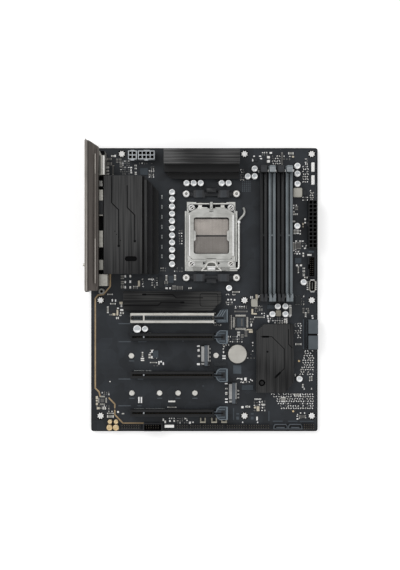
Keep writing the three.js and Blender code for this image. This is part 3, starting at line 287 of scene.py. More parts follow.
# Glossy dark epoxy lacquer: nearly black with a blue cast, and the tracks under it just show.
MASK = SolderMask("solder_mask_lacquer", "solder_mask", "#191C20", "#2F343A", 0.42, bump=0.02, blotch=26)
# Sawn glass-epoxy edge: a dull brownish black.
LAMINATE_EDGE = Finish("laminate_edge", "solder_mask", "#26241F", "#3A362C", 0.8)
# Tinned copper: bright and soft, slightly uneven.
TIN = Finish("tinned_copper", "solder_mask", "#D9DAD8", "#F2F2EE", 0.3, 1.0, Grain.PLATED)
# Solder, cooled after the wave: bright, a bit dull in places.
SOLDER = Finish("cooled_solder", "solder_mask", "#B9BBBC", "#DCDDDC", 0.35, 1.0, Grain.PLATED)
# Gold flash on copper under clear lacquer: a dull tan line.
GOLD_TRACK = Finish("gilt_guard_track", "solder_mask", "#8F7B5F", "#B59E7C", 0.45, 0.4, Grain.PLATED)
# Screen-printed epoxy ink: matt, off white, thin at its edges.
INK = Finish("printed_ink", "solder_mask", "#8D9192", "#BFC2C1", 0.7, grain=Grain.INKED)
DIM_INK = Finish("thin_printed_ink", "solder_mask", "#3F454B", "#565C62", 0.7, grain=Grain.INKED)
LABEL = Finish("printed_patch", "solder_mask", "#3D444B", "#4E565D", 0.6, grain=Grain.INKED)
# Bright solder fillets and bare tinned pads: a barely metallic near white, a painted reflection of the bright
# surroundings.
LIT_SOLDER = Finish("bright_solder", "solder_mask", "#F1EFEB", "#FFFFFF", 0.4, 0.1, Grain.FIRED, contrast=1.6)
# Fired ceramic and tinned ends of chip resistors and capacitors.
CERAMIC_PALE = Finish("fired_ceramic_pale", "solder_mask", "#858480", "#A5A49F", 0.5, grain=Grain.FIRED)
CERAMIC_TAN = Finish("fired_ceramic_tan", "solder_mask", "#7F776B", "#9A9184", 0.5, grain=Grain.FIRED)
DULL_END = Finish("dull_tinned_end", "solder_mask", "#7F7E7B", "#A3A29F", 0.5, 0.2, Grain.PLATED)
CERAMIC_GREY = Finish("fired_ceramic_grey", "solder_mask", "#4E4D4C", "#656462", 0.5, grain=Grain.FIRED)
CREAM_MOULDING = Finish("cream_moulding", "solder_mask", "#BDB5A4", "#DAD1BE", 0.5, grain=Grain.FIRED)
RESISTOR_BLACK = Finish("resistor_glaze", "solder_mask", "#131315", "#232427", 0.4, grain=Grain.FIRED)
SLATE_EPOXY = Finish("slate_chip_epoxy", "solder_mask", "#30373D", "#414950", 0.5, grain=Grain.MOULDED)
CHIP_TIN = Finish("tinned_chip_leg", "solder_mask", "#A9A7A1", "#D6D3CC", 0.4, 0.3, Grain.PLATED)
# Moulded epoxy of a chip: matt charcoal with a fine sparkle.
CHIP_EPOXY = Finish("moulded_chip_epoxy", "solder_mask", "#1D2023", "#2C3034", 0.6, grain=Grain.MOULDED)
# Glass-filled nylon: black, slightly grained.
BLACK_NYLON = Finish("black_nylon", "black_plastic", "#16171A", "#222427", 0.5)
SLOT_NYLON = Finish("jet_black_nylon", "black_plastic", "#0C0D0F", "#151618", 0.5)
BANK_NYLON = Finish("matt_black_nylon", "black_plastic", "#131415", "#1D1E20", 0.5)
# A paler black nylon for latch heads, tower caps and a shroud's rim; on the brackets' saddles it is the
# middle tone of their painted sheen.
HEAD_NYLON = Finish("paler_black_nylon", "black_plastic", "#27282A", "#343538", 0.5)
# The same nylon painted lighter where it curves or stands proud: a painted sheen.
NYLON_SHEEN = Finish("black_nylon_painted_sheen", "black_plastic", "#303337", "#404448", 0.4)
DEEP_BLACK = Finish("shadowed_nylon", "black_plastic", "#040405", "#09090A", 0.8, gloss=0.1)
# Grey nylon of memory slots, and a paler copy for their rims and latches; on the rims it is a painted
# highlight.
GREY_NYLON = Finish("grey_nylon", "grey_plastic", "#5D6468", "#6C7377", 0.45)
PALE_NYLON = Finish("pale_grey_nylon", "grey_plastic", "#9B9FA3", "#B4B8BB", 0.45)
PALE_GREY_NYLON = Finish("paler_grey_nylon", "grey_plastic", "#737A7E", "#868D91", 0.4)
INLET_NYLON = Finish("inlet_nylon", "grey_plastic", "#A7ABAF", "#BABEC2", 0.45)
SATA_NYLON = Finish("slate_nylon", "grey_plastic", "#484F54", "#555C61", 0.5)
WHITE_NYLON = Finish("white_nylon", "grey_plastic", "#F0EFEB", "#FFFFFF", 0.5)
SMOKE_NYLON = Finish("smoke_nylon", "smoke_plastic", "#2B3137", "#3B434A", 0.35)
SLATE_NYLON = Finish("blue_grey_nylon", "grey_plastic", "#50565C", "#5F656C", 0.45)
LID_TIN = Finish("tinned_lid", "grey_plastic", "#9A9A99", "#B0B0AF", 0.4, 0.2, Grain.PLATED)
SMOKE_SHROUD = Finish("smoke_shroud", "grey_plastic", "#363C41", "#43494F", 0.45)
SMOKE_PALE = Finish("smoke_nylon_rib", "smoke_plastic", "#68727A", "#808A92", 0.35)
# Extruded aluminium, milled, brushed and anodised dark grey: soft streaks along the brushing.
ANODISED_ALONG = Finish("anodised_brushed_along", "anodised_aluminium", "#212122", "#474747", 0.42, 0.7,
                        Grain.BRUSHED_ALONG, bump=0.03, blotch=120, contrast=1.7)
ANODISED_ACROSS = Finish("anodised_brushed_across", "anodised_aluminium", "#1A1A1B", "#474746", 0.42, 0.7,
                         Grain.BRUSHED_ACROSS, bump=0.03, blotch=50, contrast=1.8)
ANODISED_PLATE = Finish("anodised_brushed_plate", "anodised_aluminium", "#181819", "#404040", 0.42, 0.7,
                        Grain.BRUSHED_ALONG, bump=0.03, blotch=50, contrast=1.8)
ANODISED_TOP = Finish("anodised_ridge", "anodised_aluminium", "#343434", "#616161", 0.4, 0.7,
                      Grain.BRUSHED_ACROSS, bump=0.03, blotch=50, contrast=1.6)
# Painted shade: the sides and deep grooves of the extrusion, painted nearly black.
ANODISED_DARK = Finish("anodised_painted_shade", "anodised_aluminium", "#0D0D0E", "#181819", 0.6, 0.4,
                       Grain.BRUSHED_ALONG)
# Painted shade: a darker copy for the lower step and the fine lines across the top band.
ANODISED_LOW = Finish("anodised_low_painted_shade", "anodised_aluminium", "#18181A", "#252527", 0.5, 0.6,
                      Grain.BRUSHED_ALONG)
# Cut lines hold no light: dead black.
ENGRAVED = Finish("engraved_line", "anodised_aluminium", "#050506", "#0B0B0C", 0.8, 0.0, Grain.PLATED,
                  gloss=0.08)
# The slot's jacket: bright tin-plated steel.
SLOT_STEEL = Finish("tinned_slot_jacket", "stamped_steel", "#E4E2DA", "#F7F5EF", 0.3, 1.0, Grain.ROLLED,
                    bump=0.01)
# Nickel-plated stamped steel: a neutral silver.
STAMPED = Finish("nickel_plated_steel", "stamped_steel", "#C9C9C4", "#E6E6E2", 0.33, 1.0, Grain.ROLLED,
                 bump=0.01)
FRAME_STEEL = Finish("nickel_plated_frame", "stamped_steel", "#CDCECA", "#EAEAE6", 0.35, 0.9, Grain.ROLLED,
                     bump=0.01)
# Bright nickel: on the flash switch the part's own colour, elsewhere a lighter copy of the nickel, a painted
# highlight on bars, strips, knuckles and a shell's edge.
BRIGHT_STEEL = Finish("bright_nickel_and_painted_highlight", "stamped_steel", "#EDECE7", "#FBFAF6", 0.3, 0.6, Grain.PLATED,
                      bump=0.002)
LEVER_STEEL = Finish("drawn_lever_wire", "stamped_steel", "#C6C6C3", "#E0E0DD", 0.35, 0.6, Grain.PLATED)
# Painted highlight: near white, on the bosses' tops, the plate's ridges and nose tip, and the lever's crank
# and knee.
WHITE_STEEL = Finish("painted_white_highlight", "stamped_steel", "#FAFAF8", "#FFFFFF", 0.3, 0.1, Grain.PLATED,
                     bump=0.002)
SHADE_STEEL = Finish("shaded_nickel", "stamped_steel", "#8C8C89", "#A3A3A0", 0.4, 0.6, Grain.ROLLED)
SCREW = Finish("zinc_plated_screw", "screw_steel", "#F0EDE6", "#FFFFFF", 0.35, 0.4, Grain.PLATED)
# Painted shade: the dark of a screw's recess, laid flat on its head.
SCREW_RECESS = Finish("screw_recess_painted_shade", "screw_steel", "#12100E", "#2A2621", 0.5, 0.5, Grain.PLATED)
STANDOFF = Finish("nickel_plated_standoff", "screw_steel", "#D6D4CE", "#EFEDE8", 0.4, 0.3, Grain.PLATED)
# Tin-plated connector shells.
SHELL = Finish("tinned_shell", "shell_steel", "#A8A69F", "#C6C4BC", 0.35, 0.8, Grain.ROLLED)
# Rear panel: electro-galvanised sheet, and the cover's dark brushed aluminium.
PANEL = Finish("galvanised_sheet", "panel_metal", "#837E79", "#98938E", 0.42, 0.9, Grain.BRUSHED_ALONG)
COVER = Finish("brushed_cover_sheet", "cover_metal", "#484340", "#645F5B", 0.4, 0.85, Grain.BRUSHED_ALONG,
               blotch=300)
# Painted highlight and glints along the cover's rib, and darker lines of painted shade.
COVER_RIB = Finish("rib_painted_highlight", "cover_metal", "#77716B", "#918A84", 0.35, 0.6, Grain.BRUSHED_ALONG)
COVER_EDGE = Finish("rib_painted_glint", "cover_metal", "#A7A19A", "#C6C0B9", 0.35, 0.5, Grain.BRUSHED_ALONG)
COVER_SHADE = Finish("cover_painted_shade", "cover_metal", "#2A2624", "#37322F", 0.5, 0.5, Grain.BRUSHED_ALONG)
# Deep-drawn aluminium can: bright rim, satin top.
CAN = Finish("drawn_can_aluminium", "capacitor_can", "#F4F5F5", "#FFFFFF", 0.35, 0.4, Grain.PLATED)
CAN_TOP = Finish("satin_can_top", "capacitor_can", "#F4F5F5", "#FFFFFF", 0.45, 0.4, Grain.PLATED)
CAN_MARK = Finish("polarity_ink", "capacitor_can", "#BCC1C4", "#CFD3D5", 0.5, grain=Grain.INKED)
CAN_GOLD = Finish("gilt_audio_can", "capacitor_can", "#D9BC8C", "#F0DDB9", 0.35, 0.4, Grain.PLATED)
CAN_FINISHES = (CAN, CAN_TOP, BLACK_NYLON, CAN_MARK)
# Stainless cell: a warm, satin grey.
CELL = Finish("stainless_cell", "cell_steel", "#B9B6AF", "#C1BEB7", 0.45, 0.25, Grain.ROLLED, bump=0.004)
FERRITE = Finish("pressed_ferrite", "choke_ferrite", "#3F4041", "#535455", 0.7, 0.1)
INDUCTOR = Finish("grey_pressed_inductor", "choke_ferrite", "#A5A39A", "#B7B5AC", 0.6)
BROWN_INDUCTOR = Finish("brown_pressed_inductor", "choke_ferrite", "#7B776C", "#8D897D", 0.6)
# Plated header pins seen end on: a dull brown.
DULL_PIN = Finish("dull_header_pin", "contact_field", "#4D473F", "#645C51", 0.45, 0.5, Grain.PLATED)
TAN_SPRING = Finish("tinned_bronze_clip", "contact_field", "#9B978A", "#BAB5A6", 0.4, 0.3, Grain.PLATED)
DARK_STEEL = Finish("shaded_steel", "stamped_steel", "#5D5D5A", "#74746F", 0.45, 0.6, Grain.ROLLED)
# Contact springs deep in a slot: gold, but in shadow.
SPRING = Finish("gold_plated_spring", "contact_field", "#4A4338", "#655D50", 0.4, 0.8, Grain.PLATED)
GREY_SPRING = Finish("tinned_spring", "contact_field", "#565A58", "#6E7270", 0.4, 0.3, Grain.PLATED)
# Lit and shaded copies of the contact field's colours: the upper half painted lighter, the lower half darker,
# painted light and shade for contacts that lean opposite ways.
TIP_UPPER = Finish("contact_tip_painted_light", "contact_field", "#CEC7C1", "#E6DFD9", 0.4, 0.5, Grain.BRUSHED_ALONG)
TIP_LOWER = Finish("contact_tip_painted_shade", "contact_field", "#A39D98", "#B4AEA9", 0.4, 0.5, Grain.BRUSHED_ALONG)
LAND_UPPER = Finish("contact_carrier_painted_light", "contact_field", "#ABA59F", "#BEB8B1", 0.6,
                    grain=Grain.BRUSHED_ALONG)
LAND_LOWER = Finish("contact_carrier_painted_shade", "contact_field", "#8B8681", "#999490", 0.6,
                    grain=Grain.BRUSHED_ALONG)


# ----------------------------------------------------------------------------------------------------------
# Shapes
# ----------------------------------------------------------------------------------------------------------


class Shape:
    """A mesh in the making, in board millimetres."""

    def __init__(self) -> None:
        """Starts an empty mesh."""
        self.mesh = bmesh.new()

    def _paint(self, verts: Iterable[bmesh.types.BMVert], finish: int) -> None:
        """Gives every face that touches the vertices a finish.

        Args:
            verts: the vertices.
            finish: which of the piece's finishes the faces get.
        """
        for vert in verts:
            for face in vert.link_faces:
                face.material_index = finish

    def _round(self, verts: Sequence[bmesh.types.BMVert], width: float, segments: int) -> None:
        """Bevels every edge between the vertices.

        Args:
            verts: the vertices.
            width: width of the bevel.
            segments: steps of the bevel.
        """
        edges = {edge for vert in verts for edge in vert.link_edges}
        bmesh.ops.bevel(self.mesh, geom=list(edges), offset=width, offset_type="OFFSET", segments=segments,
                        profile=0.5, affect="EDGES", clamp_overlap=True, material=-1)

    def block(self, x: Span, y: Span, z: Span, finish: int = 0, bevel: float = 0.0, segments: int = 1,
              turn: float = 0.0) -> "Shape":
        """Adds a box.

        Args:
            x, y, z: the box's low and high ends.
            finish: which of the piece's finishes it has.
            bevel: width of the bevel on its edges.
            segments: steps of that bevel.
            turn: angle in degrees about its own upright axis.

        Returns:
            This shape.
        """
        made = bmesh.ops.create_cube(self.mesh, size=1.0)["verts"]
        middle = Vector(((x[0] + x[1]) / 2, (y[0] + y[1]) / 2, (z[0] + z[1]) / 2))
        size = Matrix.Diagonal((x[1] - x[0], y[1] - y[0], z[1] - z[0], 1))
        spin = Matrix.Rotation(math.radians(turn), 4, "Z")
        bmesh.ops.transform(self.mesh, matrix=Matrix.Translation(middle) @ spin @ size, verts=made)
        self._paint(made, finish)
        if bevel:
            self._round(made, bevel, segments)
        return self

    def rod(self, centre: Point, z: Span, radius: float, finish: int = 0, sides: int = 16,
            upper: float | None = None, turn: float = 0.0) -> "Shape":
        """Adds an upright cylinder or cone.

        Args:
            centre: its place on the board.
            z: its low and high ends.
            radius: its lower radius.
            finish: which of the piece's finishes it has.
            sides: number of sides.
            upper: its upper radius, where that differs.
            turn: angle in degrees of its first corner.

        Returns:
            This shape.
        """
        made = bmesh.ops.create_cone(self.mesh, cap_ends=True, segments=sides, radius1=radius, radius2=radius
                                     if upper is None else upper, depth=z[1] - z[0])["verts"]
        spin = Matrix.Rotation(math.radians(turn), 4, "Z")
        place = Matrix.Translation((centre[0], centre[1], (z[0] + z[1]) / 2))
        bmesh.ops.transform(self.mesh, matrix=place @ spin, verts=made)
        self._paint(made, finish)
        return self

    def turned(self, centre: Point, profile: Sequence[tuple[float, float, int]], sides: int = 24) -> "Shape":
        """Spins a profile about an upright axis.

        Args:
            centre: the axis, on the board.
            profile: radius, height and finish of each point, from the axis below round to the axis above.
                The finish is that of the ring that ends there.
            sides: steps of the spin.

        Returns:
            This shape.
        """
        corners = [self.mesh.verts.new((centre[0] + radius, centre[1], z)) for radius, z, _ in profile]
        rings = [self.mesh.edges.new(pair) for pair in zip(corners, corners[1:])]
        known = set(self.mesh.faces)
        bmesh.ops.spin(self.mesh, geom=corners + rings, axis=(0, 0, 1), cent=(centre[0], centre[1], 0),
                       steps=sides, angle=2 * math.pi, use_merge=True, use_duplicate=False)
        fresh = [face for face in self.mesh.faces if face not in known]
        for face in fresh:
            mid = face.calc_center_median()
            reach = math.hypot(mid.x - centre[0], mid.y - centre[1])
            face.material_index = min(
                zip(profile, profile[1:]),
                key=lambda pair: abs((pair[0][0] + pair[1][0]) / 2 * math.cos(math.pi / sides) - reach)
                + abs((pair[0][1] + pair[1][1]) / 2 - mid.z))[1][2]
        bmesh.ops.remove_doubles(self.mesh, verts=list({v for f in fresh for v in f.verts}), dist=0.001)
        return self

    def plate(self, outline: Sequence[Point], z: Span, finish: int = 0, bevel: float = 0.0) -> "Shape":
        """Adds a flat plate of any outline.

        Args:
            outline: its corners, in order.
            z: its low and high faces.
            finish: which of the piece's finishes it has.
            bevel: width of the bevel on its edges.

        Returns:
            This shape.
        """
        corners = [self.mesh.verts.new((x, y, z[0])) for x, y in outline]
        base = self.mesh.faces.new(corners)
        raised = bmesh.ops.extrude_face_region(self.mesh, geom=[base])["geom"]
        upper = [item for item in raised if isinstance(item, bmesh.types.BMVert)]
        bmesh.ops.translate(self.mesh, verts=upper, vec=(0, 0, z[1] - z[0]))
        bmesh.ops.recalc_face_normals(self.mesh, faces=list({f for v in corners + upper
                                                             for f in v.link_faces}))
        self._paint(corners + upper, finish)
        if bevel:
            self._round(corners + upper, bevel, 1)
        return self

    def ring(self, outer: Sequence[Point], inner: Sequence[Point], z: Span, finish: int = 0,
             bevel: float = 0.0) -> "Shape":
        """Adds a flat plate with one opening.

        Args:
            outer: the plate's corners, in order.
            inner: the opening's corners, in order.
            z: its low and high faces.
            finish: which of the piece's finishes it has.
            bevel: width of the bevel on its edges.

        Returns:
            This shape.
        """
        loops, corners = [], []
        for line in (outer, inner):
            loop = [self.mesh.verts.new((x, y, z[0])) for x, y in line]
            loops += [self.mesh.edges.new(pair) for pair in zip(loop, loop[1:] + loop[:1])]
            corners += loop
        flat = bmesh.ops.bridge_loops(self.mesh, edges=loops)["faces"]
        raised = bmesh.ops.extrude_face_region(self.mesh, geom=flat)["geom"]
        upper = [item for item in raised if isinstance(item, bmesh.types.BMVert)]
        bmesh.ops.translate(self.mesh, verts=upper, vec=(0, 0, z[1] - z[0]))
        self._paint(corners + upper, finish)
        if bevel:
            self._round_sharp(corners + upper, bevel)
        return self

    def section(self, outline: Sequence[Point], ends: Span, along: str, finish: int = 0,
                bevel: float = 0.0) -> "Shape":
        """Adds a bar of one section.

        Args:
            outline: the section's corners in order: y and z for a bar along x, or x and z for one along y.
            ends: where the bar starts and ends.
            along: "x" or "y".
            finish: which of the piece's finishes it has.
            bevel: width of the bevel on its edges.

        Returns:
            This shape.
        """
        if along == "x":
            corners = [self.mesh.verts.new((ends[0], y, z)) for y, z in outline]
            way = (ends[1] - ends[0], 0, 0)
        else:
            corners = [self.mesh.verts.new((x, ends[0], z)) for x, z in outline]
            way = (0, ends[1] - ends[0], 0)
        face = self.mesh.faces.new(corners)
        raised = bmesh.ops.extrude_face_region(self.mesh, geom=[face])["geom"]
        far = [item for item in raised if isinstance(item, bmesh.types.BMVert)]
        bmesh.ops.translate(self.mesh, verts=far, vec=way)
        bmesh.ops.recalc_face_normals(self.mesh, faces=list({f for v in corners + far for f in v.link_faces}))
        self._paint(corners + far, finish)
        if bevel:
            self._round_sharp(corners + far, bevel)
        return self

    def cut_off(self, point: Point, facing: Point, finish: int = 0) -> "Shape":
        """Cuts away everything beyond an upright plane.

        Args:
            point: a point of the plane.
            facing: the way that the cut-away side lies.
            finish: which of the piece's finishes the cut has.

        Returns:
            This shape.
        """
        cut = bmesh.ops.bisect_plane(
            self.mesh, geom=[*self.mesh.verts, *self.mesh.edges, *self.mesh.faces], plane_co=(*point, 0),
            plane_no=(*facing, 0), clear_outer=True)["geom_cut"]
        rim = [item for item in cut if isinstance(item, bmesh.types.BMEdge)]
        for face in bmesh.ops.holes_fill(self.mesh, edges=rim, sides=0)["faces"]:
            face.material_index = finish
        return self

    def _round_sharp(self, verts: Sequence[bmesh.types.BMVert], width: float) -> None:
        """Bevels the edges between the vertices where faces meet at an angle.

        Args:
            verts: the vertices.
            width: width of the bevel.
        """
        edges = {edge for vert in verts for edge in vert.link_edges}
        bmesh.ops.recalc_face_normals(self.mesh, faces=list({f for v in verts for f in v.link_faces}))
        sharp = [e for e in edges if len(e.link_faces) == 2 and e.calc_face_angle() > math.radians(25)]
        bmesh.ops.bevel(self.mesh, geom=sharp, offset=width, offset_type="OFFSET", segments=1,
                        profile=0.5, affect="EDGES", clamp_overlap=True, material=-1)

    def strip(self, points: Sequence[Point], width: float, z: Span, finish: int = 0) -> "Shape":
        """Adds a flat line of even width with round joints, such as a track or an engraved line.

        Args:
            points: the line's corners.
            width: its width.
            z: its low and high faces.
            finish: which of the piece's finishes it has.

        Returns:
            This shape.
        """
        for (ax, ay), (bx, by) in zip(points, points[1:]):
            length = math.hypot(bx - ax, by - ay)
            mid = ((ax + bx) / 2, (ay + by) / 2)
            self.block((mid[0] - length / 2, mid[0] + length / 2), (mid[1] - width / 2, mid[1] + width / 2),
                       z, finish, turn=math.degrees(math.atan2(by - ay, bx - ax)))
        for point in points:
            self.rod(point, (z[0], z[1] - 0.002), width / 2, finish, sides=10)
        return self

    def wire(self, points: Sequence[tuple[float, float, float]], radius: float, finish: int = 0,
             sides: int = 8) -> "Shape":
        """Adds a round wire along a line of points.

        Args:
            points: the places it passes.
            radius: its radius.
            finish: which of the piece's finishes it has.
            sides: sides of its section.

        Returns:
            This shape.
        """
        path = [Vector(point) for point in points]
        rings = []
        for i, here in enumerate(path):
            before, after = path[max(i - 1, 0)], path[min(i + 1, len(path) - 1)]
            facing = (after - before).to_track_quat("Z", "Y").to_matrix().to_4x4()
            circle = bmesh.ops.create_circle(self.mesh, cap_ends=i in (0, len(path) - 1), segments=sides,
                                             radius=radius)["verts"]
            bmesh.ops.transform(self.mesh, matrix=Matrix.Translation(here) @ facing, verts=circle)
            rings.append(circle)
        for lower, upper in zip(rings, rings[1:]):
            loops = [edge for ring in (lower, upper) for edge in {e for v in ring for e in v.link_edges}
                     if edge.verts[0] in ring and edge.verts[1] in ring]
            bmesh.ops.bridge_loops(self.mesh, edges=loops)
        self._paint([vert for ring in rings for vert in ring], finish)
        return self

    def repeat(self, one: "Shape", places: Iterable[Matrix]) -> "Shape":
        """Adds a copy of another shape at each place.

        Args:
            one: the shape that is repeated.
            places: where, and how turned, each copy is.

        Returns:
            This shape.
        """
        pattern = bpy.data.meshes.new("pattern")
        one.mesh.to_mesh(pattern)
        for place in places:
            pattern.transform(place)
            self.mesh.from_mesh(pattern)
            pattern.transform(place.inverted())
        bpy.data.meshes.remove(pattern)
        return self

    def painted(self, finish: int) -> "Shape":
        """Gives every face of the shape a finish."""
        self._paint(self.mesh.verts, finish)
        return self

    def done(self, name: str, finishes: Sequence[Finish], body: str = BODY, nodes: Sequence[str] = (),
             smooth: float = 35.0) -> bpy.types.Object:
        """Ends the shape as an object of the scene that rides on a body.

        Args:
            name: the piece's name.
            finishes: its finishes, in the order that the shape's parts name them.
            body: the body that it moves with.
            nodes: the solids that it stands for.
            smooth: edges flatter than this many degrees are shaded smooth.

        Returns:
            The finished object.
        """
        bmesh.ops.recalc_face_normals(self.mesh, faces=self.mesh.faces)
        self.mesh.transform(TO_FRAME)
        mesh = bpy.data.meshes.new(name)
        self.mesh.to_mesh(mesh)
        self.mesh.free()
        mesh.shade_smooth()
        mesh.set_sharp_from_angle(angle=math.radians(smooth))
        for finish in finishes:
            mesh.materials.append(finish.material())
        piece = bpy.data.objects.new(name, mesh)
        bpy.context.scene.collection.objects.link(piece)
        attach(piece, body)
        if nodes:
            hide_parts(*nodes)
        return piece


Chooser = Callable[[Vector, Vector], int]


def sound(mesh: bmesh.types.BMesh) -> bool:
    """Tells whether no face of a mesh folds over itself.

    Args:
        mesh: the mesh.

    Returns:
        True where every face's triangles cover it once.
    """
    covered: dict[bmesh.types.BMFace, float] = {}
    for corners in mesh.calc_loop_triangles():
        a, b, c = (corner.vert.co for corner in corners)
        face = corners[0].face
        covered[face] = covered.get(face, 0.0) + (b - a).cross(c - a).length / 2
    return all(abs(area - face.calc_area()) < max(0.05, 0.01 * area) for face, area in covered.items())


def dress(node: str, finishes: Sequence[Finish], choose: Chooser | None = None, bevel: float = 0.15,
          extra: Callable[[Shape], object] | None = None) -> bpy.types.Object:
    """Rebuilds a solid's skin with softened edges and more than one finish.

    Args:
        node: the solid's name.
        finishes: the finishes that the piece has.
        choose: gives the finish of a face from its centre, in board millimetres, and its normal.
        bevel: width of the bevel on every sharp edge.
        extra: adds more to the shape, after the bevel.

    Returns:
        The piece that stands for the solid.
    """
    solid = frame["nodes"][node]
    shape = Shape()
    mesh = shape.mesh
    mesh.from_mesh(solid.data)
    mesh.transform(TO_FRAME.inverted())
    bmesh.ops.remove_doubles(mesh, verts=mesh.verts, dist=0.002)
    bmesh.ops.dissolve_limit(mesh, angle_limit=math.radians(1), verts=mesh.verts, edges=mesh.edges)
    for face in mesh.faces:
        face.material_index = choose(face.calc_center_median(), face.normal) if choose else 0
    for width in (bevel, bevel * 0.6, bevel * 0.3) if bevel else ():
        trial = mesh.copy()
        sharp = [edge for edge in trial.edges if len(edge.link_faces) == 2
                 and edge.calc_length() > 2.2 * width and edge.calc_face_angle() > math.radians(32)]
        bmesh.ops.bevel(trial, geom=sharp, offset=width, offset_type="OFFSET", segments=1, profile=0.5,
                        affect="EDGES", clamp_overlap=False, material=-1)
        if sound(trial):
            shape.mesh = trial
            mesh.free()
            break
        log.info("%s: a bevel of %.2f mm is too wide", node, width)
        trial.free()
    if extra:
        extra(shape)
    return shape.done(f"{node}_look", finishes, body_of(solid)[0], [node])


def rounded(x: Span, y: Span, radius: float, steps: int = 4) -> list[Point]:
    """Gives the corners of a rectangle with round corners.

    Args:
        x, y: its low and high ends.
        radius: the corners' radius.
        steps: points along each corner, less one.

    Returns:
        The points in order, anticlockwise.
    """
    points = []
    for cx, cy, start in ((x[1] - radius, y[1] - radius, 0), (x[0] + radius, y[1] - radius, 90),
                          (x[0] + radius, y[0] + radius, 180), (x[1] - radius, y[0] + radius, 270)):
        for i in range(steps + 1):
            angle = math.radians(start + 90 * i / steps)
            points.append((cx + radius * math.cos(angle), cy + radius * math.sin(angle)))
    return points


def about(middle: float, half: float) -> Span:
    """Gives the span that reaches as far to both sides of a middle."""
    return middle - half, middle + half


def beside(middle: float, side: int, near: float, far: float) -> Span:
    """Gives the span between two distances from a middle, on the side that 1 or -1 names."""
    low, high = sorted((middle + side * near, middle + side * far))
    return low, high


def at(x: float, y: float, z: float = TOP, turn: float = 0.0) -> Matrix:
    """Gives the placing of a repeated shape.

    Args:
        x, y, z: where it goes.
        turn: how far it is turned, in degrees.

    Returns:
        The matrix.
    """
    return Matrix.Translation((x, y, z)) @ Matrix.Rotation(math.radians(turn), 4, "Z")


# ----------------------------------------------------------------------------------------------------------
# Sub-assemblies
# ----------------------------------------------------------------------------------------------------------


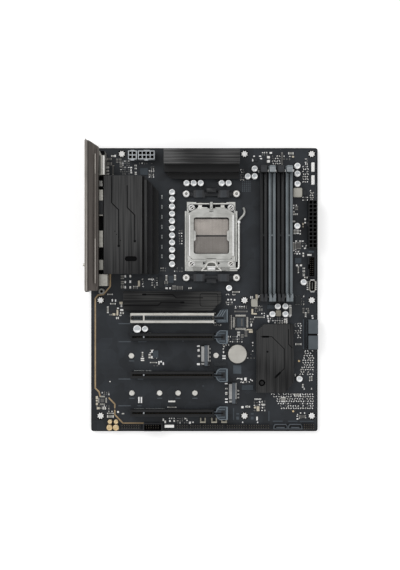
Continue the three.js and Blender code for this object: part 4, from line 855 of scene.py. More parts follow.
@dataclass
class Laminate:
    """The printed circuit board: lacquer, plated holes, tracks, printed marks and the solder side."""

    holes: tuple[Point, ...] = ((33.02, 298.45), (165.1, 298.45), (237.49, 298.45), (10.16, 140.97),
                                (165.1, 140.97), (237.49, 140.97), (10.16, 16.51), (165.1, 16.51),
                                (237.49, 16.51))
    ring_vias: int = 8
    dashes: tuple[float, ...] = (252.2, 241.5, 230.7, 220.0, 209.3, 198.4, 188.3)
    pin_lines: tuple[tuple[float, float, float], ...] = ((105.4, 46.0, 66.0), (64.9, 46.6, 66.2),
                                                         (24.0, 46.6, 80.6))
    faint: tuple[tuple[float, float, float], ...] = (
        (35.8, 115.7, 13.0), (36.0, 96.3, 13.2), (35.8, 56.1, 12.8), (35.9, 27.3, 13.4), (43.6, 75.6, 5.6),
        (43.9, 35.4, 5.6), (73.8, 35.4, 5.4), (93.4, 35.4, 5.4), (111.8, 35.4, 5.4), (120.6, 48.6, 1.8),
        (98.9, 97.0, 1.4), (44.0, 105.4, 3.0), (55.0, 96.3, 9.0), (53.0, 56.0, 6.0), (52.0, 27.3, 4.5))
    track_width: float = 1.5

    def build(self) -> list[bpy.types.Object]:
        """Builds the board and what is printed or plated on it."""
        return [self.laminate(), self.edge_shade(), self.vias(), self.guard_track(), self.marks(),
                self.solder_side()]

    def edge_shade(self) -> bpy.types.Object:
        """Makes a ring of painted shade: a dark line along the sawn edge.

        Returns:
            The piece.
        """
        shape = Shape()
        shape.ring(rounded((0.05, BOARD_WIDTH - 0.05), (0.05, BOARD_DEPTH - 0.05), 2.4),
                   rounded((0.9, BOARD_WIDTH - 0.9), (0.9, BOARD_DEPTH - 0.9), 1.6), (TOP - 0.05, TOP + 0.03))
        return shape.done("painted_edge_shade", (DEEP_BLACK,))

    def laminate(self) -> bpy.types.Object:
        """Dresses the laminate, with its tinned ground pads.

        Returns:
            The piece.
        """
        def choose(centre: Vector, normal: Vector) -> int:
            """Tells pads and hole walls from lacquer and sawn edges.

            Args:
                centre: middle of a face.
                normal: direction of that face.

            Returns:
                Which of the piece's finishes the face has.
            """
            if abs(normal.z) > 0.5:
                return 0 if centre.z > TOP - 0.1 else 3 if centre.z < UNDER - 0.04 else 0
            return 1 if any(math.dist(centre.xy, hole) < 4.4 for hole in self.holes) else 2
        piece = dress("circuit_board", (MASK, TIN, LAMINATE_EDGE, TIN), choose, bevel=0.0)
        # Flat shading keeps the long triangles of the two sides out of sight.
        for face in piece.data.polygons:
            face.use_smooth = abs(face.normal.z) < 0.5
        return piece

    def vias(self) -> bpy.types.Object:
        """Makes the bare tinned rays round each hole, where a screw's head bites.

        Returns:
            The piece.
        """
        one = Shape().plate(((2.0, -0.75), (3.2, -0.45), (3.75, 0), (3.2, 0.45), (2.0, 0.75)), (-0.02, 0.1),
                            bevel=0.05)
        collar = Shape().turned((0, 0), ((1.99, 0, 0), (2.7, 0, 0), (2.65, 0.07, 0), (1.99, 0.07, 0),
                                         (1.99, 0, 0)), 24)
        collar.turned((0, 0), ((2.6, 0, 1), (4.3, 0, 1), (4.3, 0.04, 1), (2.6, 0.04, 1), (2.6, 0, 1)), 24)
        shape = Shape()
        for x, y in self.holes:
            shape.repeat(collar, [at(x, y, 1.79)])
            shape.repeat(one, [at(x, y, 1.8, 360 * (i + 0.5) / self.ring_vias)
                               for i in range(self.ring_vias)])
        return shape.done("pad_rays", (LIT_SOLDER, DEEP_BLACK))

    def guard_track(self) -> bpy.types.Object:
        """Makes the gilt track that parts the audio corner from the rest, in three lengths.

        Returns:
            The piece.
        """
        first = ((20.6, 169.0), (20.6, 156.0), (13.2, 147.2), (7.4, 146.6), (4.4, 142.8), (4.4, 46.4),
                 (8.4, 42.4), (9.6, 37.6))
        second = ((19.2, 35.6), (25.4, 29.2), (25.4, 25.2))
        third = ((25.4, 22.4), (25.4, 17.8), (34.2, 8.6), (56.6, 8.6))
        shape = Shape()
        for line in (first, second, third):
            shape.strip(line, self.track_width, (TOP - SUNK, TOP + 0.04))
        return shape.done("guard_track", (GOLD_TRACK,))

    def marks(self) -> bpy.types.Object:
        """Makes the printed marks: dashes, dotted pin lines, faint lines and a patch.

        Returns:
            The piece.
        """
        shape = Shape()
        level = (TOP - SUNK, TOP + 0.05)
        for y in self.dashes:
            for low, high in ((-2.0, -0.3), (0.3, 2.0)):
                shape.block((75.4, 76.9), (y + low, y + high), level)
        for y, start, end in self.pin_lines:
            for i in range(int((end - start) / 1.56)):
                x = start + 1.56 * i
                if not 56.2 < x < 58.6:
                    shape.block((x, x + 0.9), about(y, 0.55), level)
        for x, y, width in self.faint:
            shape.block(about(x, width / 2), about(y, 0.5), level, 1)
        for i in range(5):
            for j in range(6):
                shape.block((162.6 + 2.0 * i, 163.5 + 2.0 * i), (257.8 + 2.1 * j, 259.2 + 2.1 * j), level, 1)
        return shape.done("printed_marks", (INK, DIM_INK))

    def solder_side(self) -> bpy.types.Object:
        """Makes the solder joints and clipped tails on the underside.

        Returns:
            The piece.
        """
        joint = Shape().rod((0, 0), (-0.75, 0.05), 0.45, sides=8, upper=0.85)
        places = []
        bank, slots, cans = MemoryBank, ExpansionSlots, Capacitors
        for row in range(4):
            x = bank.first_x + bank.pitch * row
            for i in range(72):
                y = 143.5 + 1.92 * i
                for side in (-1.9, -0.7, 0.7, 1.9):
                    if abs(y - 210.6) > 2.5:
                        places.append(at(x + side, y + 0.4 * (side > 0), 0.1))
        for i in range(12):
            for side in (0, 4.2):
                places.append(at(235.4 + side, 199.6 + 4.2 * i, 0.1))
        for x in (42.4, 46.6, 53.0, 57.2, 61.4, 65.6):
            for y in (293.6, 297.8):
                places.append(at(x, y, 0.1))
        for y in slots.rows:
            for i in range(41):
                x = 46.5 + 2.0 * i
                for side in (-2.6, -1.0, 1.0, 2.6):
                    if abs(x - 57.1) > 1.6:
                        places.append(at(x, y + side, 0.1))
        for i in range(cans.left_count):
            for side in (-1.25, 1.25):
                places.append(at(cans.left_x + side, cans.left_first - cans.left_pitch * i, 0.1))
        small = Shape().rod((0, 0), (-0.5, 0.05), 0.25, sides=6, upper=0.42)
        fine = [place for place in places if 160 < place.translation.x < 230 or place.translation.y < 130]
        return Shape().repeat(joint, [p for p in places if p not in fine]).repeat(small, fine).done(
            "solder_joints", (SOLDER,))


@dataclass
class Socket:
    """The land-grid processor socket."""

    middle: Point = SOCKET_MIDDLE
    seat: float = 40.4
    floor: float = 3.7
    pitch_x: float = 0.88
    pitch_y: float = 0.94
    rib: float = 1.2

    def build(self) -> list[bpy.types.Object]:
        """Builds the socket's parts.

        Returns:
            The pieces.
        """
        pieces = [self.housing(), self.contacts(), self.base_frame(), self.load_plate(), self.lever()]
        for i in range(1, 5):
            pieces.append(machine_screw(f"frame_screw_{i}", 2.5, 1.6, SCREW_RECESS, 1.9))
        pieces.append(dress("socket_backplate", (STAMPED,), bevel=0.12))
        return pieces

    def here(self, points: Iterable[Point], side: int = 1) -> list[Point]:
        """Moves points from the socket's centre to the board, mirrored where side is -1."""
        return [(self.middle[0] + side * x, self.middle[1] + y) for x, y in points]

    def base_frame(self) -> bpy.types.Object:
        """Makes the stamped frame: its base, walls, screw bosses, hinge post and bars, cradles and feet.

        Returns:
            The piece.
        """
        cx, cy = self.middle
        low, base, wall = 1.7, 3.2, 6.3
        outer = self.here([(-28.4, -37.8), (28.0, -37.8), (28.0, 26.6), (25.8, 26.6), (25.8, 36.4),
                           (18.9, 36.4), (18.9, 29.6), (-18.9, 29.6), (-18.9, 36.4), (-26.2, 36.4),
                           (-26.2, 26.6), (-28.4, 26.6)])
        inner = self.here([(-24.4, -26.4), (24.4, -26.4), (24.4, 22.0), (24.4, 24.0), (24.3, 26.4),
                           (18.9, 26.4), (17.0, 26.4), (-17.0, 26.4), (-18.9, 26.4), (-24.3, 26.4),
                           (-24.4, 24.0), (-24.4, 22.0)])
        shape = Shape().ring(outer, inner, (low, base), 0, 0.1)
        shape.block((cx - 28.4, cx - 27.1), (cy - 37.8, cy + 26.6), (base - LAP, wall), 0, 0.15)
        shape.block((cx + 26.4, cx + 27.5), (cy - 27.8, cy + 26.6), (base - LAP, wall), 0, 0.15)
        # Painted shade: a near-black patch on the base beside the lever's elbow.
        shape.block((cx + 26.2, cx + 28.1), (cy - 34.2, cy - 27.9), (low, base + 0.04), 3)
        lip = self.here([(-25.6, -27.6), (25.6, -27.6), (25.6, -21.5), (-25.6, -21.5)])
        shape.ring(lip, self.here([(-22.0, -24.6), (22.0, -24.6), (22.0, -22.0), (-22.0, -22.0)]),
                   (5.95, 6.4), 0, 0.1)
        for side in (-1, 1):
            for y in (-30.1, 30.1):
                centre = (cx + side * 21.1, cy + y)
                # Each boss gets a near-white top, a painted highlight.
                shape.turned(centre, ((1.9, low, 0), (3.7, low, 0), (3.7, 5.2, 4), (3.5, 5.6, 4),
                                      (1.9, 5.6, 4), (1.9, low, 0)), 28)
            # Painted shadow: a near-black ring round each upper boss.
            shape.turned((cx + side * 21.1, cy + 30.1), ((3.6, low, 3), (4.3, low, 3), (4.3, base + 0.05, 3),
                                                         (3.6, base + 0.05, 3), (3.6, low, 3)), 28)
            # Painted shade on the hinge's ears; the bars beside them are bright nickel, a painted highlight.
            shape.block(beside(cx, side, 10.2, 13.6), (cy + 35.0, cy + 36.4), (low, base), 2, 0.1)
            shape.block(beside(cx, side, 1.9, 17.1), (cy + 33.8, cy + 35.2), (3.9, 5.2), 1, 0.15)
            shape.block(beside(cx, side, 16.2, 18.9), (cy + 33.8, cy + 36.2), (low, 5.2), 0, 0.12)
            # Painted shade: dark triangles standing for the shadow in holes of the base.
            shape.rod((cx + side * 7.9, cy - 29.4), (base - LAP, base + 0.05), 1.9, 3, 3, turn=-90)
            # Painted shade: the cradles over the lever's bar are in a shaded copy of the nickel.
            shape.block(beside(cx, side, 10.6, 19.3), (cy - 37.6, cy - 33.6), (5.8, 6.9), 5, 0.2)
            shape.block(beside(cx, side, 11.5, 17.5), (cy - 37.8, cy - 36.6), (base - LAP, 6.0), 0, 0.1)
            # Painted highlight: bright nickel on the strips beside the nose and on the lower lip.
            shape.strip(self.here(((10.2, -37.1), (8.6, -35.2), (7.9, -35.0)), side), 1.5, (5.9, 7.0), 1)
            shape.block(beside(cx, side, 4.9, 10.2), (cy - 37.8, cy - 36.7), (base - LAP, 5.2), 1, 0.12)
        shape.block(about(cx, 1.5), (cy + 28.8, cy + 36.4), (low, 6.9), 0, 0.25)
        # A dark dot of painted shade on the hinge post.
        shape.rod((cx, cy + 30.6), (6.8, 6.93), 0.6, 2, 12)
        # Painted shade: the hinge pin under the knuckles is painted near black.
        shape.section([(cy + 30.9, 4.7), (cy + 32.3, 4.7), (cy + 32.3, 6.1), (cy + 30.9, 6.1)],
                      about(cx, 16.4), "x", 3, 0.3)
        return shape.done("socket_frame_look", (FRAME_STEEL, BRIGHT_STEEL, DARK_STEEL, DEEP_BLACK,
                                                WHITE_STEEL, SHADE_STEEL), nodes=["socket_frame"])

    def lever(self) -> bpy.types.Object:
        """Makes the lever: a wire with a bright crank over the plate's nose, a knee and a grip.

        Returns:
            The piece.
        """
        z, bar = 4.7, -35.4
        cross = self.here([(18.0, bar), (22.0, bar), (27.6, bar)])
        # The wire under and between the cradles is painted dark, a painted shade.
        shaded_run = self.here([(-18.6, bar), (-10.0, bar), (10.0, bar), (18.2, bar)])
        arm = self.here([(27.5, bar), (28.9, -34.8), (29.6, -33.0), (29.6, -10.0), (29.6, 14.0)])
        # The grip is in the shaded copy of the steel, a painted shade.
        grip = self.here([(29.6, 14.0), (29.9, 17.0), (32.8, 20.2), (35.0, 22.9), (35.8, 25.6), (35.2, 28.6),
                          (34.4, 30.4)])
        shape = Shape().wire([(x, y, z) for x, y in cross], 1.0, 0, 10)
        shape.wire([(x, y, z) for x, y in shaded_run], 0.98, 3, 10)
        shape.wire([(x, y, z) for x, y in arm], 1.2, 0, 10)
        shape.wire([(x, y, z) for x, y in grip], 1.35, 2, 10)
        cx, cy = self.middle
        # The crank over the nose and the knee are near white, a painted highlight.
        shape.wire([(cx - 4.1, cy - 35.4, z), (cx, cy - 35.4, z), (cx + 4.1, cy - 35.4, z)], 1.25, 1, 14)
        shape.turned((cx + 29.6, cy + 14.9), ((0, z - 1.6, 1), (1.3, z - 1.3, 1), (1.8, z, 1),
                                              (1.3, z + 1.3, 1), (0, z + 1.7, 1)), 16)
        return shape.done("load_lever_look", (LEVER_STEEL, WHITE_STEEL, SHADE_STEEL, DARK_STEEL),
                          "load_lever", ["load_lever"])

    def housing(self) -> bpy.types.Object:
        """Dresses the moulded body, with its two contact fields.

        Returns:
            The piece.
        """
        cx, cy = self.middle
        def choose(centre: Vector, normal: Vector) -> int:
            """Tells the seat's two floors from the rim.

            Args:
                centre: middle of a face.
                normal: direction of that face.

            Returns:
                Which of the piece's finishes the face has.
            """
            inside = abs(centre.x - cx) < self.seat / 2 - 0.3 and abs(centre.y - cy) < self.seat / 2 - 0.3
            if inside and normal.z > 0.5 and centre.z < self.floor + 0.3:
                # The upper floor gets the lit copy and the lower floor the shaded one: painted light and
                # shade.
                return 1 if centre.y > cy else 2
            return 0
        def rim(shape: Shape) -> None:
            """Adds the rim's shadow line under the plate's window.

            Args:
                shape: the piece's own shape, which this adds to.
            """
            shape.ring(rounded(about(cx, 20.2), (cy - 20.2, cy + 20.6), 2.0),
                       rounded(about(cx, 18.4), (cy - 18.7, cy + 18.3), 1.9), (5.6, 6.0), 3)
            shape.block(about(cx, 18.4), (cy - 0.3, cy + 0.4), (self.floor, 4.7), 0)
        return dress("socket_housing", (BLACK_NYLON, LAND_UPPER, LAND_LOWER, DEEP_BLACK), choose, bevel=0.12,
                     extra=rim)

    def contacts(self) -> bpy.types.Object:
        """Makes the field of sprung contacts, whose halves lean opposite ways.

        Returns:
            The piece.
        """
        one = Shape().block((-0.2, 0.2), (-0.28, 0.02), (-0.3, 0.55))
        one.block((-0.2, 0.2), (-0.05, 0.5), (0.45, 0.62))
        upper, lower = [], []
        half = self.seat / 2 - 0.9
        columns = int(2 * half / self.pitch_x)
        rows = int((half - self.rib) / self.pitch_y)
        for i in range(columns + 1):
            x = self.middle[0] - half + i * self.pitch_x
            for j in range(rows + 1):
                y = self.rib + 0.4 + j * self.pitch_y
                upper.append(at(x, self.middle[1] + y, self.floor))
                lower.append(at(x, self.middle[1] - y, self.floor, 180))
        # The lower half gets the darker copy, a painted shade.
        far = Shape().repeat(one, lower).painted(1)
        both = Shape().repeat(one, upper).repeat(far, [Matrix()])
        return both.done("socket_contacts", (TIP_UPPER, TIP_LOWER))

    def load_plate(self) -> bpy.types.Object:
        """Makes the pressure plate: a pressed sheet with cut corners round the screws.

        It has tabs beside its window, side ridges, curled knuckles and the nose that the lever holds.

        Returns:
            The piece.
        """
        cx, cy = self.middle
        low, high = 6.8, 8.0
        half, bottom, top = 24.4, cy - 25.2, cy + 29.4
        outer = [(cx - half, bottom + 3.4), (cx - half + 4.4, bottom), (cx + half - 4.4, bottom),
                 (cx + half, bottom + 3.4), (cx + half, cy + 24.2), (cx + 15.6, top), (cx + 2.2, top),
                 (cx + 2.2, top - 3.8), (cx - 2.2, top - 3.8), (cx - 2.2, top), (cx - 15.6, top),
                 (cx - half, cy + 24.2)]
        window = rounded(about(cx, 18.9), (cy - 19.2, cy + 19.6), 2.2)
        shape = Shape().ring(outer, window, (low, high), 0, 0.18)
        for side in (-1, 1):
            inner, outermost = side * 16.6, side * 19.4
            shape.plate([(cx + outermost, cy - 6.5), (cx + inner, cy - 4.5), (cx + inner, cy + 4.5),
                         (cx + outermost, cy + 6.5)], (low, high), 0, 0.15)
            x = cx + side * (half - 1.0)
            # The side ridges are near white, a painted highlight.
            shape.section([(x - 0.8, high - 0.4), (x + 0.8, high - 0.4), (x + 0.7, high + 0.2),
                           (x + 0.5, high + 0.8), (x - 0.5, high + 0.8), (x - 0.7, high + 0.2)],
                          (bottom + 3.6, cy + 22.2), "y", 2)
            knuckle = cx + side * 12.0
            shape.section([(top - 1.0, low), (cy + 30.6, 6.7), (cy + 30.6, 7.5), (top - 1.0, high)],
                          beside(cx, side, 4.2, 14.9), "x", 0, 0.1)
            # The knuckles are in bright nickel, a painted highlight.
            shape.section(self.round_section(cy + 31.6, 5.4, 1.8, 1.0), about(knuckle, 2.0), "x", 1)
        shape.section([(bottom + 1, low), (bottom + 1, high), (bottom - 1.4, high),
                       (bottom - 7.3, high - 1.7), (bottom - 8.9, high - 1.7), (bottom - 8.9, low - 1.7),
                       (bottom - 7.3, low - 1.7), (bottom - 1.4, low)], about(cx, 5.4), "x", 0, 0.2)
        bridge = self.here([(-6.6, -33.4), (-5.6, -31.5), (-4.2, -29.3), (-1.6, -28.2), (1.6, -28.2),
                            (4.2, -29.3), (5.6, -31.5), (6.6, -33.4)])
        # The arch over the nose is in bright nickel, a painted highlight.
        shape.strip(bridge, 1.15, (6.2, 7.9), 1)
        # Painted shade under the arch, and a painted highlight on the nose's tip.
        shape.section([(cy - 29.0, 7.1), (cy - 29.0, 7.45), (cy - 32.7, 6.4), (cy - 32.7, 6.2)],
                      about(cx, 4.3), "x", 3)
        shape.block(about(cx, 4.3), (cy - 34.05, cy - 32.8), (6.2, 6.42), 2)
        # Painted shade: dark strips along the plate's lower edge.
        shape.block((cx - 21.0, cx - 5.8), (bottom - 0.05, bottom + 0.5), (low, high - 0.3), 3)
        shape.block((cx + 5.8, cx + 21.0), (bottom - 0.05, bottom + 0.5), (low, high - 0.3), 3)
        return shape.done("load_plate_look", (STAMPED, BRIGHT_STEEL, WHITE_STEEL, DARK_STEEL), "load_plate",
                          ["load_plate"])

    def round_section(self, y: float, z: float, radius: float, bore: float) -> list[Point]:
        """Gives the section of a curled knuckle: a round with a slit bore.

        Args:
            y, z: its centre.
            radius: its radius outside.
            bore: its radius inside.

        Returns:
            The section's corners.
        """
        turn = [math.radians(20 + 320 * i / 14) for i in range(15)]
        outside = [(y - radius * math.cos(a), z - radius * math.sin(a)) for a in turn]
        inside = [(y - bore * math.cos(a), z - bore * math.sin(a)) for a in reversed(turn)]
        return outside + inside


def machine_screw(node: str, star: float, waist: float, floor: Finish,
                  glint: float = 0.0) -> bpy.types.Object:
    """Makes a pan-head screw whose star recess is a flat star of painted shade on its head.

    Args:
        node: the screw's solid.
        star: how far the star's points reach.
        waist: how far its hollows reach.
        floor: the finish of the recess's middle.
        glint: half the length of the painted glint, a bright bar across the recess, 0 where it has none.

    Returns:
        The piece.
    """
    low, high = (TO_FRAME.inverted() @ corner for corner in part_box(node))
    x, y = (low.x + high.x) / 2, (low.y + high.y) / 2
    radius, top = (high.x - low.x) / 2, high.z
    shape = Shape().turned((x, y), (
        (0, low.z, 0), (1.4, low.z, 0), (1.4, top - 1.8, 0), (radius - 0.1, top - 1.8, 0),
        (radius, top - 1.6, 0), (radius, top - 0.9, 0), (radius * 0.82, top - 0.12, 0),
        (radius * 0.6, top, 0), (0, top, 0)), 28)
    points = [((star, waist)[i % 2] * math.cos(math.radians(30 * i + 10)),
               (star, waist)[i % 2] * math.sin(math.radians(30 * i + 10))) for i in range(12)]
    shape.plate([(x + px, y + py) for px, py in points], (top - LAP, top + 0.01), 1)
    shape.rod((x, y), (top - LAP, top + 0.02), waist * 0.8, 2, 12)
    if glint:
        shape.block(about(x, 0.45), about(y, glint), (top - LAP, top + 0.03), 0, turn=-48)
    return shape.done(f"{node}_look", (SCREW, SCREW_RECESS, floor), nodes=[node])


@dataclass
class CoolerBrackets:
    """The two cooler retention brackets and their screws."""

    middle: Point = SOCKET_MIDDLE
    offset: float = 45.0
    screw_x: float = 27.0
    height: float = 4.4
    # Half the width of the middle band of the saddles' painted sheen.
    sheen: float = 3.4

    def build(self) -> list[bpy.types.Object]:
        """Builds both brackets and the four screws.

        Returns:
            The pieces.
        """
        pieces = []
        for end, side in (("top", 1), ("bottom", -1)):
            place = Matrix.Translation((self.middle[0], self.middle[1] + side * self.offset, TOP))
            if side < 0:
                place = place @ Matrix.Rotation(math.pi, 4, "Z")
            node = f"cooler_bracket_{end}"
            pieces.append(Shape().repeat(self.bracket(), [place]).done(
                f"{node}_look", (BLACK_NYLON, NYLON_SHEEN, HEAD_NYLON), nodes=[node]))
        return pieces + [machine_screw(f"bracket_screw_{i}", 1.7, 1.45, CERAMIC_PALE) for i in range(1, 5)]

    def bracket(self) -> Shape:
        """Makes one bracket at the origin: lugs with bosses, a waisted bar, two saddles and the hook.

        Returns:
            The bracket's shape.
        """
        shape = Shape()
        for side in (-1, 1):
            x = side * self.screw_x
            shape.ring(rounded(about(x, 4.2), (-4.2, 4.2), 3.0), rounded(about(x, 2.3), (-2.3, 2.3), 2.2),
                       (0, self.height), 0, 0.3)
            middle = side * 13.0
            back = [(middle + 6.6 * math.cos(math.pi * k / 18), 3.9 + 1.9 * math.sin(math.pi * k / 18))
                    for k in range(19)]
            shape.section(back + [(middle - 6.6, 0), (middle + 6.6, 0)], (-3.9, 3.9), "y", 1)
            # Painted sheen: the saddles' middle band and inner side keep the lighter nylon; the outer side
            # gets the paler black as a middle tone.
            for face in shape.mesh.faces:
                if face.material_index == 1 and abs(face.calc_center_median().x - middle) > self.sheen:
                    face.material_index = 2 if side * face.calc_center_median().x > 0 else face.material_index
        shoulder = self.height - 0.9
        bar = [(-2.6, 0), (2.6, 0), (2.6, shoulder), (1.4, self.height), (-1.4, self.height),
               (-2.6, shoulder)]
        for ends in ((-23.0, -18.3), (18.3, 23.0), (-9.7, 9.7)):
            shape.section(bar, ends, "x", 0, 0.2)
        shape.section([(2.4, 0), (3.8, 0), (3.8, 7.2), (6.2, 7.2), (6.2, 9.2), (5.8, 9.6), (1.4, 9.6),
                       (1.4, 4.2), (2.4, 4.2)], (-5.2, 5.2), "x", 0, 0.3)
        return shape


@dataclass
class MemoryBank:
    """Four memory slots with their latches and contact springs."""

    first_x: float = 185.24
    pitch: float = 9.14
    width: float = 7.3
    low: float = 139.7
    high: float = 285.2
    rail_top: float = 10.3
    tower_end: float = 148.3
    tower_top: float = 20.7
    rail_end: float = 276.8
    head_top: float = 22.0
    groove: float = 2.0
    key: Span = (209.8, 211.4)
    spring_pitch: float = 1.6

    def build(self) -> list[bpy.types.Object]:
        """Builds the slots, two black and two grey.

        Returns:
            The pieces.
        """
        pieces = []
        for i in range(4):
            body, rim, head = ((BANK_NYLON, BLACK_NYLON, HEAD_NYLON),
                               (GREY_NYLON, PALE_GREY_NYLON, PALE_GREY_NYLON))[i % 2]
            x = self.first_x + i * self.pitch
            pieces.append(self.slot(i + 1, x, body, rim))
            # The latches' thumb ribs are painted lighter, a painted highlight.
            pieces.append(self.latch(i + 1, x, head, NYLON_SHEEN if i % 2 == 0 else PALE_NYLON))
        pieces.append(self.springs())
        return pieces

    def slot(self, number: int, x: float, body: Finish, rim: Finish) -> bpy.types.Object:
        """Dresses one slot, with its groove in shadow, paler rims and the feet at its ends.

        Args:
            number: the slot's number, from the left.
            x: middle of the slot.
            body: finish of the moulding.
            rim: finish of its raised parts.

        Returns:
            The piece.
        """
        def choose(centre: Vector, normal: Vector) -> int:
            """Tells the groove's floor and walls from the outside."""
            inner = abs(centre.x - x) < self.groove / 2 + 0.05 and centre.z < self.rail_top - 0.05
            return 2 if inner and normal.z > -0.5 and centre.y > self.tower_end and centre.z > 2 else 0

        def rims(shape: Shape) -> None:
            """Adds the raised rims, the key's mark, the clips on both sides and the ribs of the tower.

            Args:
                shape: the piece's own shape, which this adds to.
            """
            half = self.width / 2
            for side in (-1, 1):
                # Paler strips along the rails' tops, a painted highlight.
                shape.block(beside(x, side, half - 0.3, half - 0.9), (self.tower_end, self.rail_end),
                            (self.rail_top - LAP, self.rail_top + 0.06), 1, 0.03)
                shape.block(beside(x, side, 0.65, 1.02), (self.tower_end, self.rail_end),
                            (6.0, self.rail_top - 0.02), 0, 0.03)
                for y in (144.6, 279.7):
                    shape.block(beside(x, side, half + 0.1, half + 0.85), about(y, 1.2),
                                (TOP, 10.0), 3 if number % 2 == 0 else 0, 0.15)
                # A dark dot of painted shade on the tower's top.
                shape.rod((x + side * 1.35, 147.0), (self.tower_top, self.tower_top + 0.12), 0.55, 2, 10)
                for y in (142.4, 280.4):
                    shape.block(beside(x, side, half - 0.2, half + 0.7), about(y, 1.4),
                                (TOP, 5.4), 0, 0.2)
                shape.block(beside(x, side, 0.7, 3.4), (140.0, 147.9),
                            (self.tower_top - LAP, self.tower_top + 0.1), 4 if number % 2 else 1, 0.05)
            shape.rod((x, (self.key[0] + self.key[1]) / 2), (self.rail_top - LAP, self.rail_top + 0.05), 0.75,
                      1, 10)
        # In the grey slots the groove's floor and walls are near black, a painted shade.
        floor = DEEP_BLACK if number % 2 == 0 else BLACK_NYLON
        return dress(f"memory_slot_{number}", (body, rim, floor, LIT_SOLDER, HEAD_NYLON), choose, bevel=0.2,
                     extra=rims)

    def latch(self, number: int, x: float, body: Finish, rim: Finish) -> bpy.types.Object:
        """Dresses a latch, with ribs on its head for the thumb.

        Args:
            number: the slot's number, from the left.
            x: middle of the slot.
            body: finish of the moulding.
            rim: finish of its raised parts.

        Returns:
            The piece.
        """
        def ribs(shape: Shape) -> None:
            """Adds the thumb ribs.

            Args:
                shape: the piece's own shape, which this adds to.
            """
            for y in (279.2, 280.6, 282.0):
                shape.block(about(x, 2.4), about(y, 0.3), (self.head_top, 22.25), 1, 0.08)
            for side in (-1, 1):
                shape.block(beside(x, side, 2.55, 3.0), (277.9, 282.4), (self.head_top, 22.15), 1, 0.05)
        return dress(f"memory_latch_{number}", (body, rim), None, bevel=0.15, extra=ribs)

    def springs(self) -> bpy.types.Object:
        """Makes the contact springs along both sides of every groove.

        Returns:
            The piece.
        """
        one = Shape().block((0.7, 0.99), (-0.28, 0.28), (4.2, 7.4))
        places = []
        count = int((276.0 - self.tower_end - 1.5) / self.spring_pitch)
        for i in range(4):
            x = self.first_x + i * self.pitch
            for j in range(count + 1):
                y = self.tower_end + 1.5 + j * self.spring_pitch
                if not self.key[0] - 0.7 < y < self.key[1] + 0.7:
                    places += [at(x, y, 0), at(x, y, 0, 180)]
        return Shape().repeat(one, places).done("memory_springs", (SPRING,))


